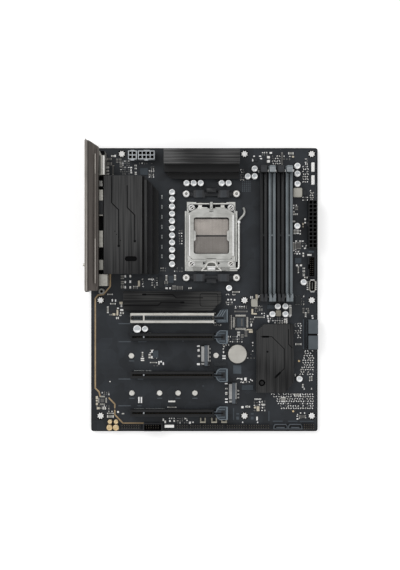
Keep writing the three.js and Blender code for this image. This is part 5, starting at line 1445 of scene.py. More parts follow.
@dataclass
class ExpansionSlots:
    """Four card slots, the first in a steel jacket, with their latches and contact springs."""

    rows: tuple[float, ...] = (122.1, 101.78, 61.14, 20.5)
    groove: float = 2.0
    top: float = 12.9
    left: float = 42.8
    length: float = 89.4
    jacket: float = 10.6
    insert: float = 5.2
    end_wall: float = 1.9
    latch_top: float = 15.1
    key: Span = (55.8, 58.4)
    spring_pitch: float = 1.6

    def build(self) -> list[bpy.types.Object]:
        """Builds the slots and their latches.

        Returns:
            The pieces.
        """
        pieces = [self.jacketed()]
        for i, y in enumerate(self.rows):
            if i:
                pieces.append(self.slot(i + 1, y))
            pieces.append(dress(f"slot_latch_{i + 1}", (SMOKE_NYLON, SMOKE_PALE, DEEP_BLACK, BLACK_NYLON),
                                None, bevel=0.25, extra=self.wide_ribs if i == 0 else self.ribs_at(y)))
        pieces += [self.springs("slot_springs", self.rows[1:], 9.6, SPRING),
                   self.springs("jacketed_slot_springs", self.rows[:1], 12.5, GREY_SPRING)]
        return pieces

    def insert_body(self, shape: Shape, y: float, width: float, finish: int) -> None:
        """Adds a slot's moulding: two walls, a floor, two ends and the key post.

        Args:
            shape: the shape that this adds to.
            y: the slot's row.
            width: width of the moulding.
            finish: which of the piece's finishes it has.
        """
        low, high = self.left, self.left + self.length
        half, inner = width / 2, self.groove / 2
        shape.section([(y - half, TOP), (y + half, TOP), (y + half, self.top), (y + inner, self.top),
                       (y + inner, 4.5), (y - inner, 4.5), (y - inner, self.top), (y - half, self.top)],
                      (low, high), "x", finish, 0.2)
        for a, b in ((low, low + self.end_wall), self.key, (high - self.end_wall, high)):
            shape.block((a, b), (y - inner - 0.1, y + inner + 0.1), (4.4, self.top), finish, 0.12)

    def jacketed(self) -> bpy.types.Object:
        """Makes the first slot: a folded steel jacket with soldered feet round a black moulding.

        Returns:
            The piece.
        """
        y = self.rows[0]
        low, high = self.left, self.left + self.length
        shape = Shape()
        self.insert_body(shape, y, self.insert, 1)
        for side in (-1, 1):
            for start, end in ((low + 12.8, high - 2.4), (low + 3.0, low + 11.6)):
                shape.block((start, end), beside(y, side, 1.05, 1.75), (self.top - LAP, self.top + 0.03), 2)
        outer = rounded((low, high), about(y, self.jacket / 2), 0.9)
        inner = rounded((low + 1.9, high - 1.9), about(y, self.insert / 2), 0.4)
        shape.ring(outer, inner, (self.top - 0.5, self.top), 0, 0.12)
        skirt = rounded((low + 0.5, high - 0.5), (y - self.jacket / 2 + 0.5, y + self.jacket / 2 - 0.5), 0.5)
        shape.ring(outer, skirt, (TOP + 0.4, self.top - 0.4), 0, 0.1)
        for x in (50.0, 70.0, 90.0, 110.0, 125.0):
            for side in (-1, 1):
                reach = y + side * (self.jacket / 2 - 0.25)
                shape.block(about(x, 1.4), about(reach, 0.25), (TOP - 0.05, TOP + 1.4), 0, 0.08)
                shape.block((x + 6.0, x + 9.0), about(reach, 0.28), (6.0, 7.2), 0, 0.1)
        shape.block((self.key[0] + 0.5, self.key[1] - 0.5), about(y, 3.4), (self.top - LAP, self.top + 0.06),
                    0, 0.04)
        for side in (-1, 1):
            shape.block((low + self.length - 1.0, low + self.length + 3.4), beside(y, side, 2.5, 3.75),
                        (TOP, 8.1), 1, 0.2)
        return shape.done("expansion_slot_1_look", (SLOT_STEEL, BLACK_NYLON, SMOKE_SHROUD),
                          nodes=["expansion_slot_1"])

    def slot(self, number: int, y: float) -> bpy.types.Object:
        """Makes a plain black slot.

        Args:
            number: the slot's number, from the top.
            y: its row.

        Returns:
            The piece.
        """
        shape = Shape()
        self.insert_body(shape, y, 7.5, 0)
        for side in (-1, 1):
            shape.block((self.left + self.length - 1.0, self.left + self.length + 3.4),
                        beside(y, side, 2.5, 3.75), (TOP, 8.1), 0, 0.2)
            # Lighter black strips along the top edges, a painted highlight.
            shape.block((self.left + 0.4, self.left + self.length - 0.4), beside(y, side, 3.2, 3.45),
                        (self.top - LAP, self.top + 0.03), 1)
        shape.block((self.key[0] + 0.7, self.key[1] - 0.7), about(y, 0.9), (self.top - 0.05, self.top + 0.04),
                    2)
        node = f"expansion_slot_{number}"
        return shape.done(f"{node}_look", (SLOT_NYLON, BLACK_NYLON, PALE_NYLON), nodes=[node])

    def springs(self, name: str, rows: Iterable[float], top: float, finish: Finish) -> bpy.types.Object:
        """Makes the contact springs along both sides of the grooves.

        Args:
            name: the piece's name.
            rows: the slots' middle lines.
            top: how high the springs reach.
            finish: what they are plated with.

        Returns:
            The piece.
        """
        one = Shape().block((-0.34, 0.34), (0.55, 0.99), (5.0, top))
        places = []
        count = int((self.length - 2 * self.end_wall - 1) / self.spring_pitch)
        for y in rows:
            for j in range(count + 1):
                x = self.left + self.end_wall + 0.8 + j * self.spring_pitch
                if not self.key[0] - 0.6 < x < self.key[1] + 0.6:
                    places += [at(x, y, 0), at(x, y, 0, 180)]
        return Shape().repeat(one, places).done(name, (finish,))

    def ribs_at(self, y: float) -> Callable[[Shape], None]:
        """Gives the maker of the ribs and slit on a rounded latch.

        Args:
            y: the slot's row.

        Returns:
            A function that adds them to a shape.
        """
        def ribs(shape: Shape) -> None:
            """Adds a pale outline, paler ribs, and a dark slit of painted shade from the slot's side.

            Args:
                shape: the piece's own shape, which this adds to.
            """
            top = self.latch_top
            shape.block((132.4, 142.0), about(y, 0.7), (top - LAP, top + 0.03), 2)
            shape.block((139.8, 143.9), about(y, 2.8), (top - LAP, top + 0.02), 3)
            shape.block((145.3, 146.7), about(y, 6.9), (top - LAP, top + 0.12), 1, 0.05)
            for side in (-1, 1):
                shape.block((138.4, 145.4), beside(y, side, 6.4, 7.1), (top - LAP, top + 0.12), 1, 0.05)
                shape.strip(((138.4, y + side * 6.7), (135.6, y + side * 4.4), (134.9, y + side * 1.9)), 0.6,
                            (top - LAP, top + 0.12), 1)
                shape.block((136.6, 143.8), beside(y, side, 4.0, 4.4), (top - LAP, top + 0.08), 1, 0.05)
        return ribs

    def wide_ribs(self, shape: Shape) -> None:
        """Adds the slanted ribs, the edge rib, and the slit, a dark strip of painted shade, on the wide
        latch.

        Args:
            shape: the piece's own shape, which this adds to.
        """
        y, top = self.rows[0], self.latch_top
        shape.block((132.6, 142.5), about(y, 0.75), (top - LAP, top + 0.02), 2, 0)
        for x in (139.4, 141.9, 144.4):
            shape.strip(((x - 3.6, y + 2.2), (x, y + 8.2)), 0.7, (top - LAP, top + 0.12), 1)
        shape.block((145.7, 146.6), (y - 4.4, y + 9.0), (top - LAP, top + 0.15), 1, 0.05)
        for reach in (-4.0, -2.4):
            shape.block((136.0, 145.0), (y + reach - 0.3, y + reach + 0.3), (top - LAP, top + 0.12), 1, 0.05)


@dataclass
class Heatsinks:
    """The brushed heatsinks, with engraved lines of a plain made-up layout, and what they cool."""

    line: float = 1.0
    proud: float = 0.03

    def build(self) -> list[bpy.types.Object]:
        """Builds the four heatsinks, the chokes and the chipset.

        Returns:
            The pieces.
        """
        return [
            self.left(), self.top(), self.drive(), self.chipset(),
            dress("choke_bank_left", (FERRITE,), bevel=0.3),
            dress("choke_bank_top", (FERRITE,), bevel=0.3),
            dress("chipset_package", (CHIP_EPOXY,), bevel=0.2),
        ]

    def left(self) -> bpy.types.Object:
        """Makes the tall heatsink beside the rear panel: a brushed plateau, two grooves and two steps.

        Returns:
            The piece.
        """
        x, y, top, base = (15.5, 56.1), (169.1, 272.8), 32.0, 7.2
        shape = Shape()
        # The stepped flank is in painted shade.
        shape.section([(56.0, base), (72.9, base), (72.9, 14.0), (67.7, 14.0), (66.5, 23.0), (62.4, 23.0),
                       (61.2, 30.4), (58.3, 30.4), (58.3, 27.4), (56.4, 27.4), (56.4, 30.4), (56.0, 30.4)], y,
                      "y", 1, 0.25)
        shape.cut_off((57.5, 272.8), (1, 1), 1)
        # Strips on the steps' tops: the lit colour on the upper step, the darker copy on the lower, painted
        # light and shade.
        shape.block((58.5, 61.1), (y[0] + 0.3, y[1] - 4.4), (30.3, 30.44), 0, 0.05)
        shape.block((62.8, 66.3), (y[0] + 0.3, y[1] - 9.2), (22.9, 23.04), 2, 0.05)
        shape.block(x, y, (base, top - 1.2), 1)
        pocket = rounded((38.0, 50.6), (182.5, 187.6), 2.4)
        shape.ring(rounded(x, y, 0.8, 2), pocket, (top - 1.25, top), 0, 0.3)
        # The pocket's floor is dead black, a painted shade.
        shape.plate(rounded((38.1, 50.5), (182.6, 187.5), 2.3), (top - 1.2, top - 1.15), 3)
        # The posts are in painted shade.
        for place in ((19.5, 173.1), (52.1, 173.1), (19.5, 268.8)):
            shape.rod(place, (TOP, base + 0.1), 3.0, 1, 20)
        high = (top - LAP, top + self.proud)
        for route in (((24.0, 272.0), (24.0, 244.0), (31.5, 236.5), (31.5, 200.0)),
                      ((48.5, 205.0), (48.5, 231.0), (40.5, 239.0), (40.5, 262.0))):
            shape.strip(route, self.line, high, 3)
        for dot in ((31.5, 198.6), (48.5, 203.6)):
            shape.rod(dot, high, 1.3, 3, 14)
        for i in range(4):
            shape.rod((27.5 + 1.9 * i, 214.0 - 3.2 * i), high, 0.55, 3, 8)
        return shape.done("vrm_heatsink_look", (ANODISED_ALONG, ANODISED_DARK, ANODISED_LOW, ENGRAVED),
                          nodes=["vrm_heatsink"])

    def top(self) -> bpy.types.Object:
        """Makes the heatsink along the upper edge: a ribbed top band and two lower steps.

        Returns:
            The piece.
        """
        x, low, high, top, base = (78.8, 159.2), 270.9, 301.6, 32.0, 7.2
        shape = Shape()
        # The lower steps and the feet are in painted shade.
        shape.section([(low, base), (287.0, base), (287.0, 30.0), (285.2, 21.0), (277.6, 21.0), (276.9, 11.0),
                       (low, 11.0)], (x[0] + 0.02, x[1] - 0.02), "x", 1, 0.25)
        shape.section([(285.4, base), (high, base), (high, top), (286.0, top), (285.4, top - 0.4)], x, "x", 0,
                      0.3)
        # Fine lines in the darker copy across the top band, a painted shade.
        for y in (298.9, 295.4, 292.0, 288.9, 287.4):
            shape.block((x[0] + 0.3, x[1] - 0.3), about(y, 0.22), (top - LAP, top + 0.02), 2)
        shape.cut_off((86.4, 270.9), (-1, -1), 1)
        for place in (82.8, 155.2):
            shape.rod((place, 297.6), (TOP, base + 0.1), 3.0, 1, 20)
        return shape.done("top_heatsink_look", (ANODISED_TOP, ANODISED_DARK, ANODISED_LOW),
                          nodes=["top_heatsink"])

    def drive(self) -> bpy.types.Object:
        """Makes the drive's heatsink: a plate with one cut corner and an engraved line with square turns.

        Returns:
            The piece.
        """
        low, high, under, top = 129.9, 150.7, 7.3, 10.9
        shape = Shape().plate(((35.1, low), (130.5, low), (140.1, low + 9.6), (140.1, high), (35.1, high)),
                              (under, top), 0, 0.3)
        for x in (35.1, 126.5):
            # The legs under the plate are in painted shade.
            shape.block((x + 0.1, x + 3.9), (low + 2, high - 2), (TOP, under + 0.1), 1, 0.2)
        level = (top - LAP, top + self.proud)
        for route in (((36.0, 135.2), (72.0, 135.2), (75.6, 138.8), (96.0, 138.8)),
                      ((60.0, 147.2), (88.0, 147.2), (91.6, 143.6), (120.0, 143.6))):
            shape.strip(route, 0.9, level, 2)
        for x, y in ((98.2, 138.8), (57.6, 147.2)):
            shape.plate(rounded(about(x, 2.4), about(y, 1.0), 0.95), level, 2)
        shape.ring(rounded((117.0, 136.6), (134.4, 148.4), 2.4), rounded((117.5, 136.1), (134.9, 147.9), 2.0),
                   level, 2)
        return shape.done("m2_heatsink_look", (ANODISED_ACROSS, ANODISED_DARK, ENGRAVED),
                          nodes=["m2_heatsink"])

    def chipset(self) -> bpy.types.Object:
        """Makes the chipset's heatsink: a plate with two cut corners, a sunk fixing and engraved lines.

        Returns:
            The piece.
        """
        left, low, under, top = 177.3, 42.0, 4.3, 10.9
        width, depth = 40.0, 73.6
        outline = [(left, low), (left + width - 9, low), (left + width, low + 10.8),
                   (left + width, low + depth), (left + 8.6, low + depth), (left, low + depth - 7.74)]
        boss = (left + 6.2, low + 10.54)
        hole = [(boss[0] + 3.5 * math.cos(a), boss[1] + 3.5 * math.sin(a))
                for a in (2 * math.pi * i / 24 for i in range(24))]
        shape = Shape().ring(outline, hole, (under, top), 0, 0.3)
        # The sunk fixing is dead black on its wall and dark on its top, a painted shade.
        shape.turned(boss, ((0, TOP + 2.7, 2), (2.2, TOP + 2.7, 2), (2.2, top - 1.2, 2), (1.9, top - 0.7, 1),
                            (0, top - 0.5, 1)), 20)
        for x, y in ((left + 3.2, low + depth - 17.2), (left + width - 3.2, low + 18.0)):
            shape.rod((x, y), (TOP, under + 0.1), 1.6, 1, 12)
        level = (top - LAP, top + self.proud)
        for route in (((left + 5.0, low + 60.0), (left + 17.0, low + 60.0), (left + 30.0, low + 47.0),
                       (left + 30.0, low + 26.0), (left + 22.0, low + 18.0)),
                      ((left + 34.6, low + 68.0), (left + 34.6, low + 52.0), (left + 38.6, low + 48.0))):
            shape.strip(route, 0.7, level, 2)
        shape.strip(((left + 25.6, low + 21.6), (left + 20.6, low + 16.6)), 2.0, level, 2)
        shape.strip(((left + 7.0, low + 60.0), (left + 13.0, low + 60.0)), 2.0, level, 2)
        shape.rod((left + 12.0, low + 44.0), level, 1.1, 2, 12)
        return shape.done("chipset_heatsink_look", (ANODISED_PLATE, ANODISED_DARK, ENGRAVED),
                          nodes=["chipset_heatsink"])


@dataclass
class RearPanel:
    """The rear panel with its ports, and the sheet cover over them."""

    def build(self) -> list[bpy.types.Object]:
        """Builds the panel, the cover and the port blocks.

        Returns:
            The pieces.
        """
        pieces = [
            dress("io_shield", (PANEL,), bevel=0.12),
            dress("io_cover", (COVER, COVER_RIB, COVER_EDGE, COVER_SHADE), bevel=0.5, extra=self.rib),
        ]
        pieces.append(dress("display_ports", (SHELL, DARK_STEEL, BRIGHT_STEEL, DEEP_BLACK), bevel=0.2,
                            extra=self.display_shells))
        for node in ("network_ports", "audio_jacks"):
            pieces.append(dress(node, (SHELL,), bevel=0.2))
        pieces.append(dress("usb_ports", (SHELL, BLACK_NYLON), bevel=0.2, extra=self.port_insulator))
        pieces.append(dress("wireless_module", (SHELL,), bevel=0.15))
        pieces.append(dress("flash_switch", (BRIGHT_STEEL,), bevel=0.2))
        pieces.append(dress("flash_button", (PALE_NYLON,), bevel=0.2))
        return pieces

    def display_shells(self, shape: Shape) -> None:
        """Adds painted light and shade on the stacked shells: a strip of painted shade inside, a painted
        highlight on the outer strip, and a dark seam line and a dark corner, both painted shade.

        Args:
            shape: the piece's own shape, which this adds to.
        """
        low, high = (TO_FRAME.inverted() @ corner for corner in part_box("display_ports"))
        level = (high.z - 0.5, high.z + 0.05)
        shape.block((low.x + 9, 12.6), (low.y + 0.4, high.y - 4.6), level, 1)
        shape.block((high.x - 1.9, high.x - 0.1), (low.y + 0.3, high.y - 4.8), level, 2)
        shape.block((high.x - 2.4, high.x - 2.0), (low.y + 0.3, high.y - 4.8), level, 1)
        shape.plate(((high.x + 0.02, high.y + 0.02), (high.x + 0.02, high.y - 4.4),
                     (high.x - 3.0, high.y - 4.4), (high.x - 5.0, high.y + 0.02)), level, 3)

    def port_insulator(self, shape: Shape) -> None:
        """Adds the black moulding between two port shells."""
        low, high = (TO_FRAME.inverted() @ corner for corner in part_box("usb_ports"))
        shape.block((low.x + 9, high.x + 0.05), (231.4, 246.6), (high.z - 1, high.z + 0.05), 1, 0.1)

    def rib(self, shape: Shape) -> None:
        """Adds the rib along the cover, painted lighter as a highlight with brighter glints, and two dark
        lines of painted shade: one beside the rib and one along the cover's left edge.

        Args:
            shape: the piece's own shape, which this adds to.
        """
        shape.block((7.2, 7.9), (159.0, 295.0), (41.6, 42.05), 1, 0.1)
        for y in ((159.2, 206.0), (274.0, 294.8)):
            shape.block((7.15, 7.95), y, (41.7, 42.08), 2, 0.1)
        shape.block((8.6, 9.2), (156.0, 300.0), (41.6, 42.02), 3, 0.05)
        shape.block((-0.5, 0.5), (152.4, 307.4), (41.0, 42.03), 3, 0.05)


@dataclass
class PowerConnectors:
    """The power inlets, with the contacts in their wells."""

    pitch: float = 4.2

    def build(self) -> list[bpy.types.Object]:
        """Builds the three inlets and their contacts.

        Returns:
            The pieces.
        """
        return [
            self.inlet("cpu_power_4pin", (INLET_NYLON, DEEP_BLACK, DULL_PIN), (43.0, 47.2)),
            self.inlet("cpu_power_8pin", (INLET_NYLON, DEEP_BLACK, DULL_PIN), (57.0, 63.4)),
            self.inlet("main_power_24pin", (SLOT_NYLON, DEEP_BLACK, DULL_PIN), None)]

    def inlet(self, node: str, finishes: Sequence[Finish], catch: Span | None) -> bpy.types.Object:
        """Dresses one inlet.

        Args:
            node: the inlet's solid.
            finishes: those of its housing, its wells and its pins.
            catch: where the catch on its far side starts and ends, if it shows one.

        Returns:
            The piece.
        """
        low, high = (TO_FRAME.inverted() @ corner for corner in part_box(node))
        ramp = 1.3

        def choose(centre: Vector, normal: Vector) -> int:
            """Tells the wells and the ramp, both in painted shade, from the housing.

            Args:
                centre: middle of a face.
                normal: direction of that face; not used.

            Returns:
                Which of the piece's finishes the face has.
            """
            edge = 0.6
            inside = (low.x + edge < centre.x < high.x - edge
                      and low.y + ramp + edge < centre.y < high.y - edge)
            on_ramp = catch is not None and centre.y < low.y + ramp - 0.05
            return int((inside and centre.z < high.z - 0.3) or on_ramp)

        def details(shape: Shape) -> None:
            """Adds the catch and a pin's tip in each well.

            Args:
                shape: the piece's own shape, which this adds to.
            """
            if not catch:
                return
            shape.block(catch, (high.y - 0.5, high.y + 0.6), (high.z - 4, high.z), 0, 0.15)
            for i in range(int((high.x - low.x) / self.pitch)):
                for j in range(2):
                    shape.rod((low.x + 2.65 + self.pitch * i, low.y + ramp + 2.65 + self.pitch * j),
                              (4.0, 9.0), 0.5, 2, 10)
        return dress(node, finishes, choose, bevel=0.2, extra=details)


@dataclass
class Capacitors:
    """Polymer and audio capacitors: cans with a rolled rim on a moulded foot."""

    can_radius: float = 3.2
    can_top: float = 9.3
    left_x: float = 87.2
    left_first: float = 256.9
    left_pitch: float = 7.72
    left_count: int = 11
    top_y: float = 266.6
    top_x: tuple[float, ...] = (102.8, 110.4, 118.0, 140.4, 147.8)
    others: tuple[Point, ...] = (
        (175.8, 282.1), (168.4, 273.9), (175.8, 273.9), (221.7, 285.1), (221.7, 276.7), (221.7, 265.8),
        (221.5, 220.6), (228.3, 160.4), (148.3, 154.1), (200.6, 134.4), (208.7, 134.5), (194.9, 126.1),
        (208.8, 126.1), (223.8, 56.6), (58.2, 110.2))
    wide: tuple[float, float, float] = (49.9, 110.2, 4.2)
    audio: tuple[tuple[float, float, float], ...] = (
        (20.5, 10.6, 2.3), (27.0, 10.6, 2.3), (20.0, 4.3, 3.2), (26.9, 4.3, 3.2))

    def build(self) -> list[bpy.types.Object]:
        """Builds the rows beside the socket, and the scattered ones.

        Returns:
            The pieces.
        """
        left = [(self.left_x, self.left_first - i * self.left_pitch) for i in range(self.left_count)]
        top = [(x, self.top_y) for x in self.top_x]
        pieces = [
            self.row(left).done("output_capacitors_left_look", CAN_FINISHES,
                                nodes=["output_capacitors_left"]),
            self.row(top).done("output_capacitors_top_look", CAN_FINISHES,
                               nodes=["output_capacitors_top"]),
            self.row(self.others).repeat(self.can(self.wide[2], 8.4), [at(*self.wide[:2])]).done(
                "scattered_capacitors", CAN_FINISHES),
        ]
        gilt = Shape()
        for x, y, radius in self.audio:
            gilt.repeat(self.can(radius, 5.6), [at(x, y)])
        pieces.append(gilt.done("audio_capacitors", (CAN_GOLD, CAN_GOLD, BLACK_NYLON, CAN_GOLD)))
        return pieces

    def can(self, radius: float, height: float) -> Shape:
        """Makes one capacitor standing at the origin.

        Args:
            radius: the can's radius.
            height: its height over the board.

        Returns:
            The shape.
        """
        foot = radius + 0.1
        shape = Shape().plate(((-foot, -foot), (foot - 1.2, -foot), (foot, -foot + 1.2), (foot, foot - 1.2),
                               (foot - 1.2, foot), (-foot, foot)), (0, 1.0), 2)
        shape.turned((0, 0), ((0, 0.9, 0), (radius, 0.9, 0), (radius, 2.0, 0), (radius - 0.25, 2.3, 0),
                              (radius, 2.6, 0), (radius, height - 0.5, 0), (radius - 0.15, height - 0.12, 0),
                              (radius - 0.5, height, 0), (radius - 0.9, height - 0.06, 0),
                              (radius - 1.3, height - 0.22, 1), (0, height - 0.22, 1)), sides=20)
        reach = radius - 1.0
        disc = [(reach * math.cos(a), 0.2 + reach * max(math.sin(a), -0.4)) for a in (
            math.radians(24 * i) for i in range(15))]
        return shape.plate(disc, (height - 0.3, height - 0.02), 3)

    def row(self, places: Iterable[Point]) -> Shape:
        """Repeats the standard can."""
        return Shape().repeat(self.can(self.can_radius, self.can_top - TOP), [at(x, y) for x, y in places])


@dataclass
class Battery:
    """The coin cell and its holder."""

    middle: Point = (157.4, 83.2)
    radius: float = 10.0

    def build(self) -> list[bpy.types.Object]:
        """Builds the holder and the cell.

        Returns:
            The pieces.
        """
        x, y = self.middle
        cell = Shape().turned((x, y), ((0, 3.2, 0), (9.0, 3.2, 0), (9.3, 3.5, 0), (9.3, 3.8, 0),
                                       (10.0, 3.9, 0), (10.0, 5.9, 0), (9.85, 6.2, 0), (9.5, 6.4, 0),
                                       (0, 6.4, 0)), sides=48)
        return [
            dress("battery_holder", (BLACK_NYLON,), bevel=0.2),
            cell.done("coin_cell_look", (CELL,), nodes=["coin_cell"]),
        ]


@dataclass
class EdgeConnectors:
    """Drive ports, headers and drive sockets."""

    drive_sockets: tuple[tuple[str, float, float], ...] = (("upper", 118.6, 70.3), ("lower", 148.3, 29.9))
    fan_headers: tuple[tuple[Span, Span], ...] = (
        ((236.9, 240.2), (279.2, 289.0)), ((236.9, 240.2), (265.2, 275.2)))

    def build(self) -> list[bpy.types.Object]:
        """Builds each connector.

        Returns:
            The pieces.
        """
        def inner(centre: Vector, normal: Vector) -> int:
            """Tells a floor deep in the housing, which gets painted shade, from its outside."""
            return int(normal.z > 0.5 and centre.z < 8)
        pieces = [dress("sata_ports", (SATA_NYLON, DEEP_BLACK), None, bevel=0.2, extra=self.port_gap),
                  dress("usb3_header", (BLACK_NYLON, DEEP_BLACK, DULL_PIN), inner, bevel=0.2,
                        extra=self.inner_pins), self.shielded_header(), self.white_headers(),
                  self.lower_edge(), self.lower_pins(), self.brackets()]
        return pieces + [self.drive_socket(*place) for place in self.drive_sockets]

    def inner_pins(self, shape: Shape) -> None:
        """Adds the two rows of pins in the data header.

        Args:
            shape: the piece's own shape, which this adds to.
        """
        for i in range(9):
            for x in (235.9, 238.2):
                shape.block(about(x, 0.35), (168.2 + 2.2 * i, 168.9 + 2.2 * i), (TOP + 1, 8.6), 2, 0.1)

    def port_gap(self, shape: Shape) -> None:
        """Adds painted shade: the shadow gap between the two pairs of drive ports, and the groove at their
        root.
        """
        shape.block((231.95, 243.0), (103.1, 105.3), (9.7, 10.75), 1)
        shape.block((231.95, 233.2), (88.6, 120.0), (9.7, 10.72), 1)

    def shielded_header(self) -> bpy.types.Object:
        """Makes the shielded header: a thin eight-sided shell with bright ends and soldered feet.

        Returns:
            The piece.
        """
        x0, x1, y0, y1, top = 233.9, 241.1, 149.7, 163.3, 11.3
        def eight(inset: float) -> list[Point]:
            """Gives the shell's outline, moved inwards.

            Args:
                inset: how far the outline moves in.

            Returns:
                The outline's corners.
            """
            left, right, low, high = x0 + inset, x1 - inset, y0 + inset, y1 - inset
            cut = 2.0 - inset * 0.4
            return [(left + cut, low), (right - cut, low), (right, low + cut), (right, high - cut),
                    (right - cut, high), (left + cut, high), (left, high - cut), (left, low + cut)]
        shape = Shape().ring(eight(0.3), eight(1.0), (TOP, top), 0, 0.1)
        # The inside of the shell is near black, a painted shade.
        shape.plate(eight(0.8), (TOP, 7.5), 1)
        shape.block((x0 + 3.1, x1 - 3.1), (y0 + 3.2, y1 - 3.2), (7.4, 9.8), 3, 0.1)
        for low, high in ((y0, y0 + 1.3), (y1 - 1.3, y1)):
            shape.block((x0 + 1.6, x1 - 1.6), (low, high), (top - 1, top), 2, 0.2)
        for i in range(5):
            for x in (x0 - 0.9, x1 + 0.6):
                shape.block((x - 1.0, x + 0.8), (y0 + 2.3 + 2.0 * i, y0 + 3.3 + 2.0 * i), (TOP, TOP + 1.0), 2,
                            0.1)
        return shape.done("usbc_header_look", (SHELL, DEEP_BLACK, LIT_SOLDER, DARK_STEEL),
                          nodes=["usbc_header"])

    def drive_socket(self, name: str, x: float, y: float) -> bpy.types.Object:
        """Makes a drive's edge socket.

        Args:
            name: which of the two sockets it is.
            x, y: its lower left corner.

        Returns:
            The piece.
        """
        top = 5.8
        shape = Shape().block((x + 0.2, x + 8.4), (y + 0.6, y + 21.8), (TOP, top - 0.3), 2, 0.15)
        shape.block((x, x + 3.3), (y + 4.6, y + 21.1), (2.2, top - 0.1), 1, 0.25)
        shape.block((x, x + 3.3), (y + 1.3, y + 3.4), (2.2, top - 0.1), 1, 0.25)
        shape.block((x + 3.4, x + 6.9), (y, y + 22.4), (2.2, top), 0, 0.3)
        shape.block((x + 7.0, x + 8.1), (y + 4.8, y + 22.2), (2.2, top - 0.1), 1, 0.2)
        for end in (y + 0.2, y + 20.2):
            shape.block((x + 6.9, x + 8.6), (end, end + 2.0), (TOP, 3.6), 1, 0.2)
        for i in range(17):
            shape.block((x + 7.7, x + 8.6), (y + 3.3 + i, y + 3.8 + i), (TOP, 2.2), 1)
        return shape.done(f"m2_socket_{name}_look", (SLATE_NYLON, LID_TIN, BLACK_NYLON),
                          nodes=[f"m2_socket_{name}"])

    def white_headers(self) -> bpy.types.Object:
        """Makes the white fan headers by the right edge and the lower edge.

        Returns:
            The piece.
        """
        shape = Shape()
        for x, y in self.fan_headers:
            shape.block(x, y, (TOP, 5.6), 0, 0.3)
            for i in range(4):
                mid = (x[0] + x[1]) / 2
                shape.block(about(mid, 0.3), (y[0] + 1.4 + 2.2 * i, y[0] + 2.0 + 2.2 * i), (5.5, 8.6), 0, 0.1)
        shape.block((79.2, 89.4), (4.2, 7.2), (TOP, 6.4), 0, 0.3)
        shape.block((232.6, 237.2), (188.6, 190.6), (TOP, 5.0), 0, 0.2)
        return shape.done("white_headers", (WHITE_NYLON, PALE_NYLON))

    def lower_edge(self) -> bpy.types.Object:
        """Makes the black housings along the lower edge, and the angled fan headers over them.

        Returns:
            The piece.
        """
        shape = Shape()
        shape.ring(rounded((56.4, 76.6), (0.6, 9.0), 0.6, 1), rounded((57.2, 75.8), (1.4, 8.2), 0.4, 1),
                   (TOP, 9.4), 3, 0.1)
        # The shroud's floor is near black, a painted shade.
        shape.block((57.0, 76.0), (1.2, 8.4), (TOP, 3.0), 2)
        for low, high in ((91.6, 105.4), (105.9, 119.0), (119.4, 144.4), (145.2, 168.2), (168.8, 192.4)):
            shape.block((low, high), (3.2, 7.6), (TOP, 4.2), 0, 0.25)
        shape.block((32.0, 54.2), (2.8, 8.0), (TOP, 4.2), 0, 0.25)
        shape.block((227.8, 240.2), (2.4, 8.6), (TOP, 4.2), 0, 0.25)
        for x in (117.2, 129.2, 139.9):
            shape.block((x, x + 1.4), (9.4, 14.6), (TOP, 3.8), 1, 0.2)
            shape.block((x + 4.8, x + 6.2), (9.4, 14.6), (TOP, 3.8), 1, 0.2)
            shape.block((x, x + 6.2), (9.2, 10.9), (TOP, 5.6), 1, 0.2)
        return shape.done("lower_edge_housings", (BLACK_NYLON, TAN_SPRING, DEEP_BLACK, HEAD_NYLON))

    def lower_pins(self) -> bpy.types.Object:
        """Makes the pins that stand in the lower housings.

        Returns:
            The piece.
        """
        pin = Shape().block((-0.36, 0.36), (-0.36, 0.36), (2.0, 7.6), bevel=0.1)
        spots = []
        for start, count in ((93.0, 5), (107.2, 5), (120.8, 9), (146.6, 9), (170.2, 9), (33.6, 8), (59.6, 6)):
            spots += [at(start + 2.54 * i, y) for i in range(count) for y in (4.1, 6.6)]
        spots += [at(229.3 + 2.4 * i, y) for i in range(5) for y in (3.5, 5.5, 7.5)]
        return Shape().repeat(pin, spots).done("lower_pins", (DULL_PIN,))

    def brackets(self) -> bpy.types.Object:
        """Makes the two low shrouds at the lower edge: a pale outline round a dark inside.

        Returns:
            The piece.
        """
        shape = Shape()
        for x in (196.2, 212.0):
            outer = [(x, 2.6), (x + 15.0, 2.6), (x + 15.0, 5.8), (x + 13.4, 8.0), (x + 1.6, 8.0), (x, 5.8)]
            inner = [(x + 0.8, 3.2), (x + 14.2, 3.2), (x + 14.2, 5.6), (x + 13.1, 7.3), (x + 1.9, 7.3),
                     (x + 0.8, 5.6)]
            shape.ring(outer, inner, (TOP, 6.2), 0, 0.1)
            shape.block((x + 0.6, x + 14.4), (3.0, 7.4), (TOP, 3.0), 1)
            shape.block((x + 3.0, x + 12.0), (3.6, 4.8), (TOP, 5.0), 0, 0.15)
        return shape.done("angled_shrouds", (SLATE_NYLON, BLACK_NYLON))


Box = tuple[float, float, float, float]  # middle x, middle y, width, depth


class Part(Enum):
    """What a small part on the board is, as its height and the finishes of its body and its ends."""

    LIT = (0.6, 0, 0)
    PALE = (0.9, 1, 0)
    DULL = (0.8, 3, 1)
    CREAM = (1.4, 4, 4)
    SLATE = (1.0, 5, 5)
    DARK = (1.1, 2, 2)
    LABEL = (0.05, 6, 6)


@dataclass(frozen=True)
class Cluster:
    """A patch of chip parts in rows: its corners, its pitch, and the share of bright ones."""

    x: Span
    y: Span
    pitch: float
    bright: float
    slant: float = 0.0  # how far the left edge moves to the right for each mm downwards
    zigzag: bool = False


